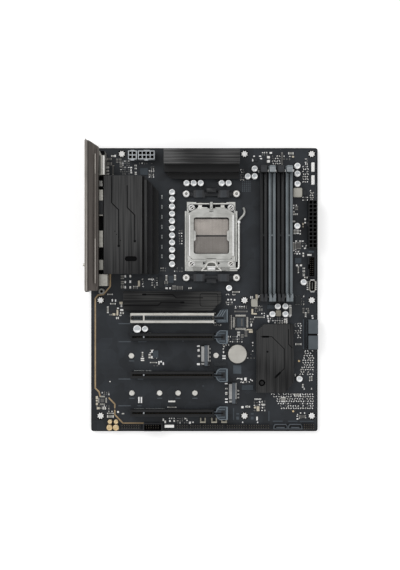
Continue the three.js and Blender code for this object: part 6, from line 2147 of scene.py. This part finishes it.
@dataclass
class SmallParts:
    """Chips, inductors, chip resistors and capacitors, and standoffs."""

    seed: int = 7
    # Middle, width and depth of each part in mm, read from an enlarged picture to about 1 mm.
    parts: tuple[tuple[Part, tuple[Box, ...]], ...] = (
        (Part.LIT, (
            (25.8, 296.3, 1.8, 2.2), (43.1, 283.8, 2, 1.6), (43, 280.7, 1.4, 2.5), (43.1, 278.2, 2, 1.6),
            (36.7, 166.8, 1.6, 2.6), (36.7, 160.5, 1.5, 2.4), (36.7, 154.9, 1.5, 2.7), (42.1, 167, 1.9, 2.7),
            (42.1, 160.9, 1.9, 2.7), (42.1, 154.8, 1.9, 2.6), (62.2, 163.6, 1.9, 1.3),
            (64.6, 163.6, 1.8, 1.3), (66.9, 163.6, 1.5, 1.3), (81.2, 153.9, 2.6, 2), (85, 153.9, 1.8, 2),
            (22.8, 140.9, 1.4, 2.7), (26.3, 140.6, 1.4, 2.7), (33.1, 130.4, 3.6, 2.2),
            (28.9, 132.3, 2.2, 1.3), (29, 20.7, 1.9, 1.9), (51.4, 33.6, 1.5, 6.6), (54.1, 33.6, 1.6, 6.6),
            (86.8, 32, 7.5, 1.7), (66, 86.1, 2.5, 3), (65.7, 79.6, 2.5, 2.6), (55.3, 78.3, 3.7, 1.3),
            (55.3, 76.2, 3.7, 1.4), (73, 73.6, 1.4, 3.8), (75.3, 74.8, 1.8, 1.8), (77.7, 72.7, 1.5, 2.9),
            (172.4, 114.3, 1.5, 3), (147.5, 141.5, 1.8, 1.6), (150.8, 141.7, 1.6, 1.6),
            (154.4, 141.4, 1.6, 1.7), (183.8, 126.6, 1.3, 1.3), (186.4, 126.9, 1.1, 1.1),
            (186.4, 124.5, 1.1, 1.1), (180.8, 144.8, 1.9, 2.9), (190.1, 123.8, 1.9, 2.5),
            (191.1, 118.5, 1.4, 3), (209.1, 120.4, 3, 1.5), (208.5, 117.5, 1.3, 2.2),
            (210.5, 118.1, 1.4, 4.3), (238.1, 124.1, 2, 1.4), (238.5, 121.6, 1.9, 1.4),
            (218, 243.1, 1.3, 1.4), (220.9, 243.1, 1.3, 1.4), (217.8, 240.3, 1.3, 1.7),
            (230.4, 228.1, 1.8, 1.9), (230.4, 224.4, 1.8, 1.6), (225.1, 215.8, 1.3, 1.6),
            (225.1, 212.5, 1.3, 1.7), (220.7, 204.6, 1.9, 1.6), (224.9, 204.6, 1.7, 1.3),
            (227.8, 204.6, 2.4, 1.2), (228.4, 191.3, 1.6, 1.7), (228.4, 188.7, 1.6, 1.9),
            (221.6, 178.5, 2.2, 1.9), (225.9, 178.5, 2.2, 1.9), (227.6, 199.2, 1.1, 1.3),
            (229.7, 196.8, 1.1, 1.3), (220.2, 193.3, 1.1, 1.3), (223, 193.3, 1.2, 1.4),
            (221.7, 191, 1.6, 1.7), (224.5, 191.1, 1.5, 1.5), (193.4, 299.6, 2.7, 1.9),
            (190.9, 294.9, 3.2, 2.7), (190.9, 290.5, 3.2, 2.9), (180.9, 279.7, 1.8, 2.6),
            (190.5, 280.3, 1.6, 1.8), (199.7, 279.7, 1.4, 2.9), (208.8, 280, 1.9, 2.5),
            (217.8, 280.8, 1.7, 2.2), (175.4, 296, 1.9, 1.3), (181.9, 296, 2.4, 1.3),
            (173.9, 291.7, 1.4, 2.7), (182.9, 293.4, 2.2, 1.4), (225.5, 19.5, 1.3, 1.3),
            (229.8, 19.5, 1.3, 1.3), (222.2, 17.9, 1.1, 1.1), (221.9, 16.1, 1.7, 0.9),
            (222.1, 13.2, 1.7, 1.5), (178.6, 13.6, 1.7, 4.1), (179.2, 9.5, 1.3, 1.5), (163.1, 9.5, 1.3, 1.5),
            (162.9, 25.8, 2.5, 2.2), (168, 26.4, 1.7, 2.2), (158.9, 56.7, 1.1, 1.1), (162.1, 56.1, 1.5, 2.2),
            (166.1, 56, 2.5, 3.2), (171.7, 55.5, 1.4, 1.3), (173.4, 54.3, 1.4, 1.5), (163.5, 52.4, 2.2, 1.1),
            (143.1, 81, 3.8, 1.5), (143.1, 78.4, 3.8, 1.5), (142.6, 85.2, 1.4, 2.2), (143.1, 91.1, 1.5, 1.1),
            (142.3, 88.6, 1.4, 1.2), (146.9, 97.6, 1.5, 1.5), (174, 95.2, 1.3, 1.5), (174, 92.2, 0.9, 1.1),
            (173.9, 86.2, 1.1, 1.2), (77.7, 12.3, 1.4, 2.7), (79.7, 10.1, 1.8, 2.7), (84.8, 11, 1.9, 1.9),
            (89.4, 11, 1.7, 1.9), (84.3, 13.8, 1.1, 1.1), (86.6, 13.8, 1.3, 1.1), (89.4, 13.8, 1.3, 1.1),
            (101.7, 13.6, 1.3, 1.1), (103.2, 11.7, 1.3, 1.5), (106.4, 9.1, 2.2, 2.5), (109.7, 9.6, 1.5, 1.6),
            (115.6, 91.6, 3.2, 1.5), (115.7, 87, 2.2, 2.4), (115.6, 72.1, 3.2, 2.2), (145.4, 51.2, 3, 1.3),
            (145.6, 34.5, 3, 1.5), (145.6, 31.3, 3, 1.6), (20.3, 53.4, 1.3, 1.1),)),
        (Part.PALE, (
            (23, 296.2, 2.5, 1.6), (18.1, 283.9, 2.2, 2.2), (18.1, 280.1, 2.2, 2.2), (18.1, 276.8, 2.2, 1.9),
            (48, 285.9, 2.2, 1.7), (48, 282.8, 2.2, 1.5), (48, 277.6, 2.2, 2.8), (81, 165.1, 1.9, 5.5),
            (90.3, 165.4, 2.2, 5.4), (47.8, 155.6, 5.2, 1.4), (106.4, 154, 3.2, 1.8), (18, 130.7, 1.9, 7),
            (23.5, 137.2, 5.9, 1.5), (32.6, 134.9, 1.9, 2.4), (33.2, 127.2, 3.9, 1.7),
            (31.5, 124.7, 1.9, 1.4), (28.3, 121.8, 2.8, 2.2), (14.1, 24.8, 3.2, 3), (20.7, 15.9, 6.9, 2.6),
            (20.7, 19.2, 6.9, 1.1), (19.1, 21.2, 1.1, 1.3), (22.4, 21.2, 1.3, 1.3), (34.3, 18.9, 2.2, 1.3),
            (55.3, 82.6, 1.5, 5.2), (62.9, 80.9, 2.2, 4.3), (67.1, 73.9, 7.5, 1.1), (155.9, 149.9, 7.9, 1.5),
            (172.7, 144, 2.8, 2.6), (214.5, 129, 2.6, 8.8), (230.9, 125.4, 1.7, 5), (223, 93.7, 6.5, 1.9),
            (218.2, 234.9, 1.7, 4.3), (220.8, 233.6, 3, 1.7), (218.3, 225.8, 2.4, 1.7),
            (219.1, 214.6, 2.2, 4.7), (222.4, 214.6, 2.8, 4.3), (218.1, 198.6, 1.5, 9.3),
            (220.2, 199.2, 1.1, 8), (228.9, 175.3, 2.2, 1.5), (228.9, 172.2, 2.2, 2.2),
            (228.9, 168.2, 2.3, 2.4), (231.2, 165.5, 3.7, 1.6), (223, 173.7, 1.2, 6.9),
            (215, 299.1, 5.6, 2.3), (222, 38.9, 7.1, 3), (206.8, 34, 4.7, 5.2), (177.1, 34.5, 2.2, 1.5),
            (179.6, 34.5, 1.7, 1.5), (182, 34.5, 1.7, 1.5), (184.1, 30.3, 1.1, 4.3), (186.2, 28.5, 1.9, 1.9),
            (87, 25.8, 9.5, 0.9), (158.7, 105, 3, 3.9), (181.1, 122.7, 11, 1.3), (20.4, 147.3, 5.7, 1.2),
            (116.1, 80.9, 2.2, 2.2), (127.9, 88.8, 1.3, 1.5), (127.9, 84.5, 1.3, 1.5),
            (127.9, 80.1, 1.3, 1.5), (127.9, 75.8, 1.3, 1.5), (145.6, 45.8, 2.2, 1.3),
            (145.5, 40.8, 2.4, 2.6), (158.4, 43.5, 1.5, 1.5), (158.4, 39.9, 1.5, 1.5),
            (158.4, 36.2, 1.5, 1.5), (168.6, 26.4, 4.8, 1.7), (227.8, 48.9, 1.5, 3.7), (235.4, 56.4, 1, 4.7),
            (237.5, 56.9, 1.1, 5), (229.3, 45.6, 1.1, 1.7), (237.2, 45.7, 1.1, 1.5), (219.8, 60.4, 1.5, 2.2),
            (214.1, 135, 2.2, 1.8), (213.9, 123.7, 2.2, 1.5),)),
        (Part.DULL, (
            (19.4, 293, 5.2, 2.2), (20, 287.8, 4.7, 3.4), (23.6, 281, 1.9, 10), (28.1, 291.1, 2.4, 4.3),
            (31.4, 291.1, 2.5, 4.3), (32, 286.3, 2.8, 3.8), (33.6, 165.7, 3.4, 3.7), (33.7, 159.9, 3.2, 3.4),
            (33.7, 155.3, 3.2, 3.2), (47.7, 153.7, 5, 1.3), (80.7, 160.1, 3.7, 3.2), (89.3, 154.6, 4.1, 4.3),
            (95.4, 154.3, 6.5, 3.9), (21.1, 125.4, 2.6, 1.5), (173.2, 120.6, 4.3, 1.9),
            (172.6, 117.6, 3.2, 1.9), (166.7, 105.5, 3, 6.9), (162.7, 102.5, 2.8, 3.2),
            (228.6, 129.9, 1.9, 5.4), (232.8, 131.7, 3, 1.7), (233.8, 128.6, 1.9, 2.8),
            (221, 240.1, 3.4, 3.9), (223.6, 199.7, 4.7, 7.1), (205.4, 293.5, 1.9, 12.8),
            (10.8, 24.7, 2.6, 1.8), (161.3, 128.9, 13.8, 1.6), (227.5, 15.8, 6.5, 3.2),
            (177.5, 132.6, 2.2, 2.2), (180.9, 134, 2.6, 1.5), (182.5, 130.7, 3.7, 2.6),)),
        (Part.CREAM, (
            (51.5, 158.9, 2.2, 6.4), (32.3, 137.9, 3.4, 2.8), (24.6, 125.8, 3, 2.4), (28.3, 127.7, 1.9, 6.2),
            (173.5, 128.6, 1.9, 5.9), (176.5, 126.4, 3.7, 1.6), (178.2, 144.1, 2.4, 5.8),
            (171.9, 107.1, 4.3, 2.4), (170.5, 109.3, 6.2, 1.3), (6.2, 36.3, 2.3, 3), (6.1, 33, 2, 1.9),
            (6.3, 29.4, 2.2, 2.6), (7.7, 24.8, 3.2, 2.4), (217.3, 295.4, 2.2, 1.8), (179.6, 24.3, 3, 5.2),
            (176.4, 25.6, 2.2, 1.9), (228, 223, 1.3, 2.2), (228, 220.2, 1.3, 1.4), (24.5, 285.7, 0.6, 0.8),)),
        (Part.SLATE, (
            (56.9, 279.6, 8.6, 7.5), (85.9, 163.6, 5.7, 8.1), (81.1, 157, 3.2, 1.8), (193.8, 133.9, 8.3, 4.7),
            (33.3, 6.4, 3.2, 2.6), (168.3, 47, 12.8, 5.4), (69.3, 82.8, 6.2, 8.2), (222.7, 183.5, 7.3, 5.8),
            (81.6, 298.2, 6.5, 3.8),)),
        (Part.DARK, (
            (47.7, 159.5, 5, 4.3), (23.7, 132.3, 6.5, 8), (87, 28.7, 6.5, 3.2), (177.3, 292.6, 3.9, 4.2),
            (229.6, 256.4, 3.9, 5.5), (222.7, 141.2, 6.5, 8.6), (156.2, 105.7, 1.7, 2.2),
            (217.3, 209, 2.2, 2.2), (74.9, 160.6, 5, 12.9), (138.9, 72.3, 13.8, 3.9),)),
        (Part.LABEL, (
            (157.3, 66.3, 8.7, 9), (157.7, 18.6, 3, 1.5), (157.7, 14, 3, 3.2), (173.4, 18.6, 3, 1.5),
            (173.4, 14, 3, 3.2), (237.0, 193.2, 5.8, 1.8), (228.5, 104.4, 0.9, 31.9),
            (153.4, 18.4, 1.1, 12.9), (191.4, 16.3, 1.1, 10.8), (200.9, 10.7, 10.6, 0.9),
            (217.1, 10.7, 10.3, 0.9), (232.1, 10.5, 14.4, 0.9),)),
    )
    # Patches too dense to read part by part: their outlines, pitch and share of bright parts, judged.
    clusters: tuple[Cluster, ...] = (
        Cluster((31.0, 41.8), (275.8, 292.0), 2.2, 0.2), Cluster((61.7, 68.2), (272.6, 285.5), 2.2, 0.25),
        Cluster((48.3, 66.6), (287.0, 289.6), 2.5, 0.1), Cluster((64.4, 72.2), (153.6, 166.0), 2.3, 0.3),
        Cluster((54.3, 56.4), (154.7, 164.6), 2.5, 0.9, zigzag=True),
        Cluster((154.3, 168.3), (131.5, 135.0), 2.2, 0.45),
        Cluster((144.6, 155.9), (145.5, 148.7), 2.4, 0.6, zigzag=True),
        Cluster((144.6, 152.7), (135.3, 139.6), 2.2, 0.5), Cluster((189.3, 211.9), (115.4, 122.4), 2.4, 0.55),
        Cluster((219.5, 230.3), (135.3, 146.6), 2.6, 0.3),
        Cluster((194.2, 203.9), (286.8, 297.4), 2.5, 0.75, zigzag=True),
        Cluster((206.3, 215.2), (291.4, 297.4), 2.6, 0.25),
        Cluster((183.4, 190.4), (296.3, 301.1), 2.6, 0.35),
        Cluster((227.0, 233.9), (267.2, 286.3), 2.6, 0.85, zigzag=True),
        Cluster((230.0, 233.5), (286.6, 293.9), 1.8, 0.35),
        Cluster((234.9, 239.5), (247.8, 260.2), 2.5, 0.9, zigzag=True),
        Cluster((226.8, 234.1), (247.3, 253.2), 2.4, 0.4),
        Cluster((226.6, 232.0), (196.1, 203.2), 2.5, 0.6, zigzag=True),
        Cluster((217.9, 225.5), (189.9, 195.5), 2.4, 0.5),
        Cluster((229.4, 239.7), (60.0, 87.6), 2.6, 0.95, slant=-0.22, zigzag=True),
        Cluster((192.1, 239.5), (23.4, 41.1), 2.6, 0.9, slant=0.72, zigzag=True),
        Cluster((179.6, 188.3), (20.6, 33.5), 3.0, 0.35), Cluster((92.0, 104.3), (7.7, 14.8), 2.3, 0.3),
        Cluster((223.4, 231.8), (13.1, 18.0), 2.3, 0.4),
        Cluster((160.0, 164.8), (269.4, 282.7), 2.8, 0.4, zigzag=True),
        Cluster((140.9, 149.5), (91.2, 94.3), 2.5, 0.3), Cluster((146.3, 163.5), (94.9, 103.1), 2.6, 0.3),
        Cluster((175.5, 185.0), (127.9, 135.8), 2.7, 0.3), Cluster((88.5, 99.2), (170.7, 176.7), 2.5, 0.45),
        Cluster((93.9, 98.7), (200.4, 217.1), 2.6, 0.35),
        Cluster((221.2, 226.6), (99.6, 116.9), 2.4, 0.95, zigzag=True),
        Cluster((218.0, 220.8), (104.6, 116.4), 2.4, 0.6, zigzag=True),
        Cluster((165.6, 171.0), (270.9, 273.7), 2.4, 0.2), Cluster((74.1, 81.0), (171.4, 176.7), 2.6, 0.35),
        Cluster((131.2, 139.8), (113.2, 117.5), 2.4, 0.45, zigzag=True),
        Cluster((174.3, 186.1), (20.6, 32.4), 3.2, 0.3), Cluster((10.6, 20.3), (38.5, 42.4), 2.4, 0.5),
        Cluster((5.2, 20.3), (22.8, 28.4), 2.6, 0.35), Cluster((62.3, 72.0), (77.7, 88.4), 2.9, 0.35),
        Cluster((65.5, 72.0), (69.1, 74.9), 2.6, 0.5, zigzag=True),
        Cluster((166.7, 177.5), (76.6, 84.6), 3.2, 0.2),
        Cluster((155.9, 171.0), (51.2, 58.3), 3.1, 0.4, zigzag=True),
    )
    standoff_places: tuple[Point, ...] = (
        (43.4, 81.2), (134.4, 81.6), (43.9, 41.1), (73.7, 41.1), (93.6, 41.1), (111.7, 41.1))
    gold_dots: tuple[Point, ...] = ((223.7, 75.5), (217.6, 21.4))

    def build(self) -> list[bpy.types.Object]:
        """Builds all small parts."""
        return [self.passives(), self.single_parts(), self.quad_chip(), self.audio_chip(), self.inductors(),
                self.standoffs(), self.hollow_post(), self.test_points()]

    def passives(self) -> bpy.types.Object:
        """Sets chip resistors and capacitors in rows over each cluster.

        Returns:
            The piece.
        """
        draw = random.Random(self.seed)
        kinds = [self.chip_part(*size) for size in (
            (1.5, 0.75, 0.6, 0, 0), (1.5, 0.8, 0.7, 1, 0), (1.5, 0.85, 0.5, 2, 4), (1.2, 0.7, 0.4, 3, 4))]
        places: list[list[Matrix]] = [[] for _ in kinds]
        for patch in self.clusters:
            rows = max(1, round((patch.y[1] - patch.y[0]) / patch.pitch))
            step = (patch.y[1] - patch.y[0]) / rows
            for row in range(rows):
                left = patch.x[0] + patch.slant * (row + 0.5) * step
                count = max(1, round((patch.x[1] - left) / patch.pitch))
                for i in range(count):
                    x = left + (i + 0.5 + 0.25 * (row % 2) * patch.zigzag) * (patch.x[1] - left) / count
                    y = patch.y[1] - (row + 0.5) * step
                    lit = draw.random() < patch.bright
                    kind = draw.choice((0, 0, 1) if lit else (2, 3, 3))
                    turn = (45, -45)[(i + row) % 2] if patch.zigzag else draw.choice((0, 90))
                    if draw.random() < 0.9:
                        places[kind].append(at(min(x, patch.x[1]) + draw.uniform(-0.15, 0.15),
                                               y + draw.uniform(-0.15, 0.15), TOP - SUNK, turn))
        shape = Shape()
        for kind, spots in zip(kinds, places):
            shape.repeat(kind, spots)
        return shape.done("chip_passives", (LIT_SOLDER, CERAMIC_TAN, RESISTOR_BLACK, CERAMIC_GREY, DULL_END))

    def chip_part(self, length: float, width: float, height: float, body: int, ends: int) -> Shape:
        """Makes one chip part at the origin: a body and two soldered ends.

        Args:
            length, width, height: its size.
            body, ends: the finishes of the body and of its two ends.

        Returns:
            The shape.
        """
        half, end = length / 2, length * 0.3
        shape = Shape().block((-half + end, half - end), (-width / 2, width / 2), (0, height), body)
        for side in (-1, 1):
            shape.block(sorted((side * (half - end), side * half)), (-width / 2 - 0.03, width / 2 + 0.03),
                        (0, height - 0.05), ends)
        return shape

    def single_parts(self) -> bpy.types.Object:
        """Makes the parts that stand at places of their own.

        Returns:
            The piece.
        """
        shape = Shape()
        for kind, boxes in self.parts:
            height, body, ends = kind.value
            for x, y, width, depth in boxes:
                across = width >= depth
                long_half, cut = max(width, depth) / 2, min(0.7, max(width, depth) * 0.25)
                spans = ((-long_half, -long_half + cut), (-long_half + cut, long_half - cut),
                         (long_half - cut, long_half))
                if body == ends:
                    shape.block(about(x, width / 2), about(y, depth / 2), (TOP - SUNK, TOP + height),
                                body, min(0.12, height / 3))
                    continue
                for i, (low, high) in enumerate(spans):
                    side = ((x + low, x + high), about(y, depth / 2)) if across else (
                        about(x, width / 2), (y + low, y + high))
                    shape.block(*side, (TOP - SUNK, TOP + height - 0.04 * (i % 2)), body if i == 1 else ends)
        return shape.done("single_parts", (LIT_SOLDER, CERAMIC_PALE, CHIP_EPOXY, CERAMIC_GREY, CREAM_MOULDING,
                                           SLATE_EPOXY, LABEL))

    def legs(self, middle: Point, half: float, count: int, reach: float, width: float) -> Shape:
        """Makes the gull-wing legs on the four sides of a square chip.

        Args:
            middle: the chip's centre.
            half: half the width of its body.
            count: legs on each side.
            reach: how far they stand out.
            width: width of one leg.

        Returns:
            The shape.
        """
        across = (-width / 2, width / 2)
        leg = Shape().block(across, (0, 0.5), (0.6, 0.8)).block(across, (0.35, 0.55), (0, 0.8))
        leg.block(across, (0.4, reach), (0, 0.2))
        span = 2 * half - 1.4
        places = []
        for side in range(4):
            turn = Matrix.Rotation(side * math.pi / 2, 4, "Z")
            for i in range(count):
                along = -span / 2 + i * span / (count - 1)
                places.append(at(*middle) @ turn @ Matrix.Translation((along, half - 0.1, 0)))
        return Shape().repeat(leg, places)

    def quad_chip(self) -> bpy.types.Object:
        """Makes the large square chip, with a ring of fan-out lands at its left and over it.

        Returns:
            The piece.
        """
        x, y = 160.9, 117.2
        half = 6.0
        shape = Shape().block(about(x, half), about(y, half), (TOP + 0.1, TOP + 1.5), 0, 0.25)
        shape.block(about(x, 3.8), about(y, 4.6), (TOP + 1.4, TOP + 1.52), 2, 0.05)
        shape.block((x + 0.4, x + 2.2), about(y, 4.0), (TOP + 1.4, TOP + 1.54), 3, 0.05)
        tin = self.legs((x, y), half, 20, 2.2, 0.42).painted(1)
        shape.repeat(tin, [Matrix()])
        for reach, finish in ((9.9, 1), (11.4, 3)):
            for i in range(18):
                low = y - 7.4 + 0.86 * i
                shape.block((x - reach - 0.45, x - reach + 0.45), (low, low + 0.6), (TOP - SUNK, TOP + 0.1),
                            finish)
        return shape.done("quad_chip", (CHIP_EPOXY, CHIP_TIN, SLATE_EPOXY, CERAMIC_GREY))

    def audio_chip(self) -> bpy.types.Object:
        """Makes the sound chip in the lower left corner.

        Returns:
            The piece.
        """
        x, y, half = 12.1, 33.2, 3.2
        shape = Shape().block(about(x, half), about(y, half), (TOP + 0.1, TOP + 1.2), 0, 0.2)
        shape.block(about(x, 2.0), about(y, 2.0), (TOP + 1.1, TOP + 1.22), 2, 0.05)
        tin = self.legs((x, y), half, 12, 1.7, 0.36).painted(1)
        return shape.repeat(tin, [Matrix()]).done("audio_chip", (CHIP_EPOXY, CHIP_TIN, CERAMIC_GREY))

    def inductors(self) -> bpy.types.Object:
        """Makes the pressed inductors: blocks with cut corners.

        Returns:
            The piece.
        """
        shape = Shape()
        for (low, high), (under, over), finish in (
                ((217.3, 227.0), (251.6, 261.8), 0), ((172.1, 179.1), (133.9, 142.4), 0),
                ((198.5, 204.4), (123.6, 130.4), 1)):
            cut = 1.0
            outline = [(low + cut, under), (high - cut, under), (high, under + cut), (high, over - cut),
                       (high - cut, over), (low + cut, over), (low, over - cut), (low, under + cut)]
            shape.plate(outline, (TOP + 0.2, TOP + 4.0), finish, 0.35)
        return shape.done("inductors", (INDUCTOR, BROWN_INDUCTOR))

    def standoffs(self) -> bpy.types.Object:
        """Makes the threaded standoffs that hold a drive's far end.

        Returns:
            The piece.
        """
        shape = Shape()
        for x, y in self.standoff_places:
            shape.turned((x, y), ((0, TOP - SUNK, 0), (2.9, TOP - SUNK, 0), (2.9, 2.9, 0), (2.5, 3.3, 0),
                                  (1.0, 3.35, 0), (0.8, 3.1, 0), (0, 3.1, 0)), sides=24)
        return shape.done("drive_standoffs", (STANDOFF,))

    def hollow_post(self) -> bpy.types.Object:
        """Makes the ringed post at the end of the rear panel.

        Returns:
            The piece.
        """
        low, high = TOP - SUNK, 9.0
        shape = Shape().turned((11.6, 150.6), ((1.5, low, 0), (3.1, low, 0), (3.1, high - 0.4, 0),
                                               (2.7, high, 0), (1.7, high, 0), (1.5, high - 0.3, 0),
                                               (1.5, low, 0)), 24)
        # The bore is filled with near black, a painted shade.
        shape.rod((11.6, 150.6), (low, high - 2.0), 1.52, 1, 16)
        return shape.done("hollow_post", (SHADE_STEEL, DEEP_BLACK))

    def test_points(self) -> bpy.types.Object:
        """Makes the two gilt test points.

        Returns:
            The piece.
        """
        shape = Shape()
        for x, y in self.gold_dots:
            shape.rod((x, y), (TOP - SUNK, TOP + 0.12), 1.1, 0, 16, 0.9)
        return shape.done("test_points", (CAN_GOLD,))


# ----------------------------------------------------------------------------------------------------------
# Studio
# ----------------------------------------------------------------------------------------------------------


@dataclass
class Studio:
    """The pale floor, the soft lamps, the white surroundings and the camera over the board."""

    camera_height: float = 1.4
    aim: Point = (-0.00474, 0.00496)
    lens: float = 82.01
    sensor: float = 36.0
    floor_size: float = 8.0
    ambient: float = 0.5
    ceiling: float = 0.5  # the dark ceiling round the camera, that flat metal shows

    def build(self) -> None:
        """Sets the scene up round the board."""
        self.floor()
        self.lamps()
        self.surroundings()
        self.camera()
        bpy.context.scene.view_settings.view_transform = "Standard"

    def seen(self, tree: bpy.types.NodeTree) -> tuple[bpy.types.Node, bpy.types.NodeSocket]:
        """Tells the rays that look at a surface from those that light the object.

        Args:
            tree: the node tree of the floor or the world.

        Returns:
            The light path's node, and 1 for a camera, glossy or transmission ray.
        """
        path = add_node(tree, "ShaderNodeLightPath")
        first = add_node(tree, "ShaderNodeMath", {
            0: path.outputs["Is Camera Ray"], 1: path.outputs["Is Glossy Ray"]}, operation="ADD")
        every = add_node(tree, "ShaderNodeMath", {
            0: first.outputs[0], 1: path.outputs["Is Transmission Ray"]}, operation="ADD", use_clamp=True)
        return path, every.outputs[0]

    def floor(self) -> None:
        """Lays the floor at the lowest point of the model. It looks white but keeps its shadow."""
        mesh = bmesh.new()
        bmesh.ops.create_grid(mesh, x_segments=1, y_segments=1, size=self.floor_size / 2)
        bmesh.ops.translate(mesh, verts=mesh.verts, vec=(0, 0, cad_box[0][2]))
        data = bpy.data.meshes.new("floor")
        mesh.to_mesh(data)
        mesh.free()
        material = bpy.data.materials.new("pale_floor")
        material.use_nodes = True
        tree = material.node_tree
        tree.nodes.clear()
        path, seen = self.seen(tree)
        strength = add_node(tree, "ShaderNodeMath", {0: seen, 1: 0.45}, operation="MULTIPLY")
        glow = add_node(tree, "ShaderNodeEmission", {"Strength": strength.outputs[0]})
        paint = add_node(tree, "ShaderNodeBsdfDiffuse", {"Color": linear("#E6E6E6")})
        both = add_node(tree, "ShaderNodeAddShader", {0: paint.outputs[0], 1: glow.outputs[0]})
        add_node(tree, "ShaderNodeOutputMaterial", {"Surface": both.outputs[0]})
        data.materials.append(material)
        floor = bpy.data.objects.new("floor", data)
        bpy.context.scene.collection.objects.link(floor)

    def lamps(self) -> None:
        """Hangs two large soft lamps over the board, clear of the camera's view."""
        for name, place, power, size in (
                ("key", (-1.1, 0.9, 1.5), 17.0, 1.4), ("fill", (1.2, -0.7, 1.6), 8.0, 1.4)):
            lamp = bpy.data.lights.new(name, "AREA")
            lamp.energy = power
            lamp.size = size
            holder = bpy.data.objects.new(name, lamp)
            holder.location = place
            holder.rotation_euler = Vector(place).to_track_quat("Z", "Y").to_euler()
            bpy.context.scene.collection.objects.link(holder)

    def surroundings(self) -> None:
        """Makes the surroundings white to the camera and to gloss, and softer as light."""
        world = bpy.data.worlds.new("studio")
        world.use_nodes = True
        tree = world.node_tree
        tree.nodes.clear()
        path, seen = self.seen(tree)
        ways = add_node(tree, "ShaderNodeSeparateXYZ",
                        {"Vector": add_node(tree, "ShaderNodeTexCoord").outputs["Generated"]})
        overhead = add_node(tree, "ShaderNodeMapRange", {"Value": ways.outputs["Z"], "From Min": 0.25,
                                                         "From Max": 0.95, "To Min": 1.0,
                                                         "To Max": self.ceiling})
        to_gloss = add_node(tree, "ShaderNodeMix", {
            "Factor": path.outputs["Is Camera Ray"], 2: overhead.outputs[0], 3: 1.0})
        strength = add_node(tree, "ShaderNodeMix", {"Factor": seen, 2: self.ambient, 3: to_gloss.outputs[0]})
        sky = add_node(tree, "ShaderNodeBackground", {"Color": (1, 1, 1, 1), "Strength": strength.outputs[0]})
        add_node(tree, "ShaderNodeOutputWorld", {"Surface": sky.outputs[0]})
        bpy.context.scene.world = world

    def camera(self) -> None:
        """Puts the camera straight above the board, as in a catalogue picture."""
        data = bpy.data.cameras.new("camera")
        data.sensor_fit = "VERTICAL"
        data.sensor_height = self.sensor
        data.lens = self.lens
        data.clip_start = 0.05
        camera = bpy.data.objects.new("camera", data)
        camera.location = (*self.aim, self.camera_height)
        bpy.context.scene.collection.objects.link(camera)
        bpy.context.scene.camera = camera


def main() -> None:
    """Builds the studio and every sub-assembly in order, and reports each piece."""
    logging.basicConfig(level=logging.INFO, format="%(message)s")
    Studio().build()
    assemblies = (Laminate(), Socket(), CoolerBrackets(), MemoryBank(), ExpansionSlots(), Heatsinks(),
                  RearPanel(), PowerConnectors(), Capacitors(), Battery(), EdgeConnectors(), SmallParts())
    for assembly in assemblies:
        for piece in assembly.build():
            log.info("%s: %s, %d faces", type(assembly).__name__, piece.name, len(piece.data.polygons))


if __name__ == "__main__":
    main()
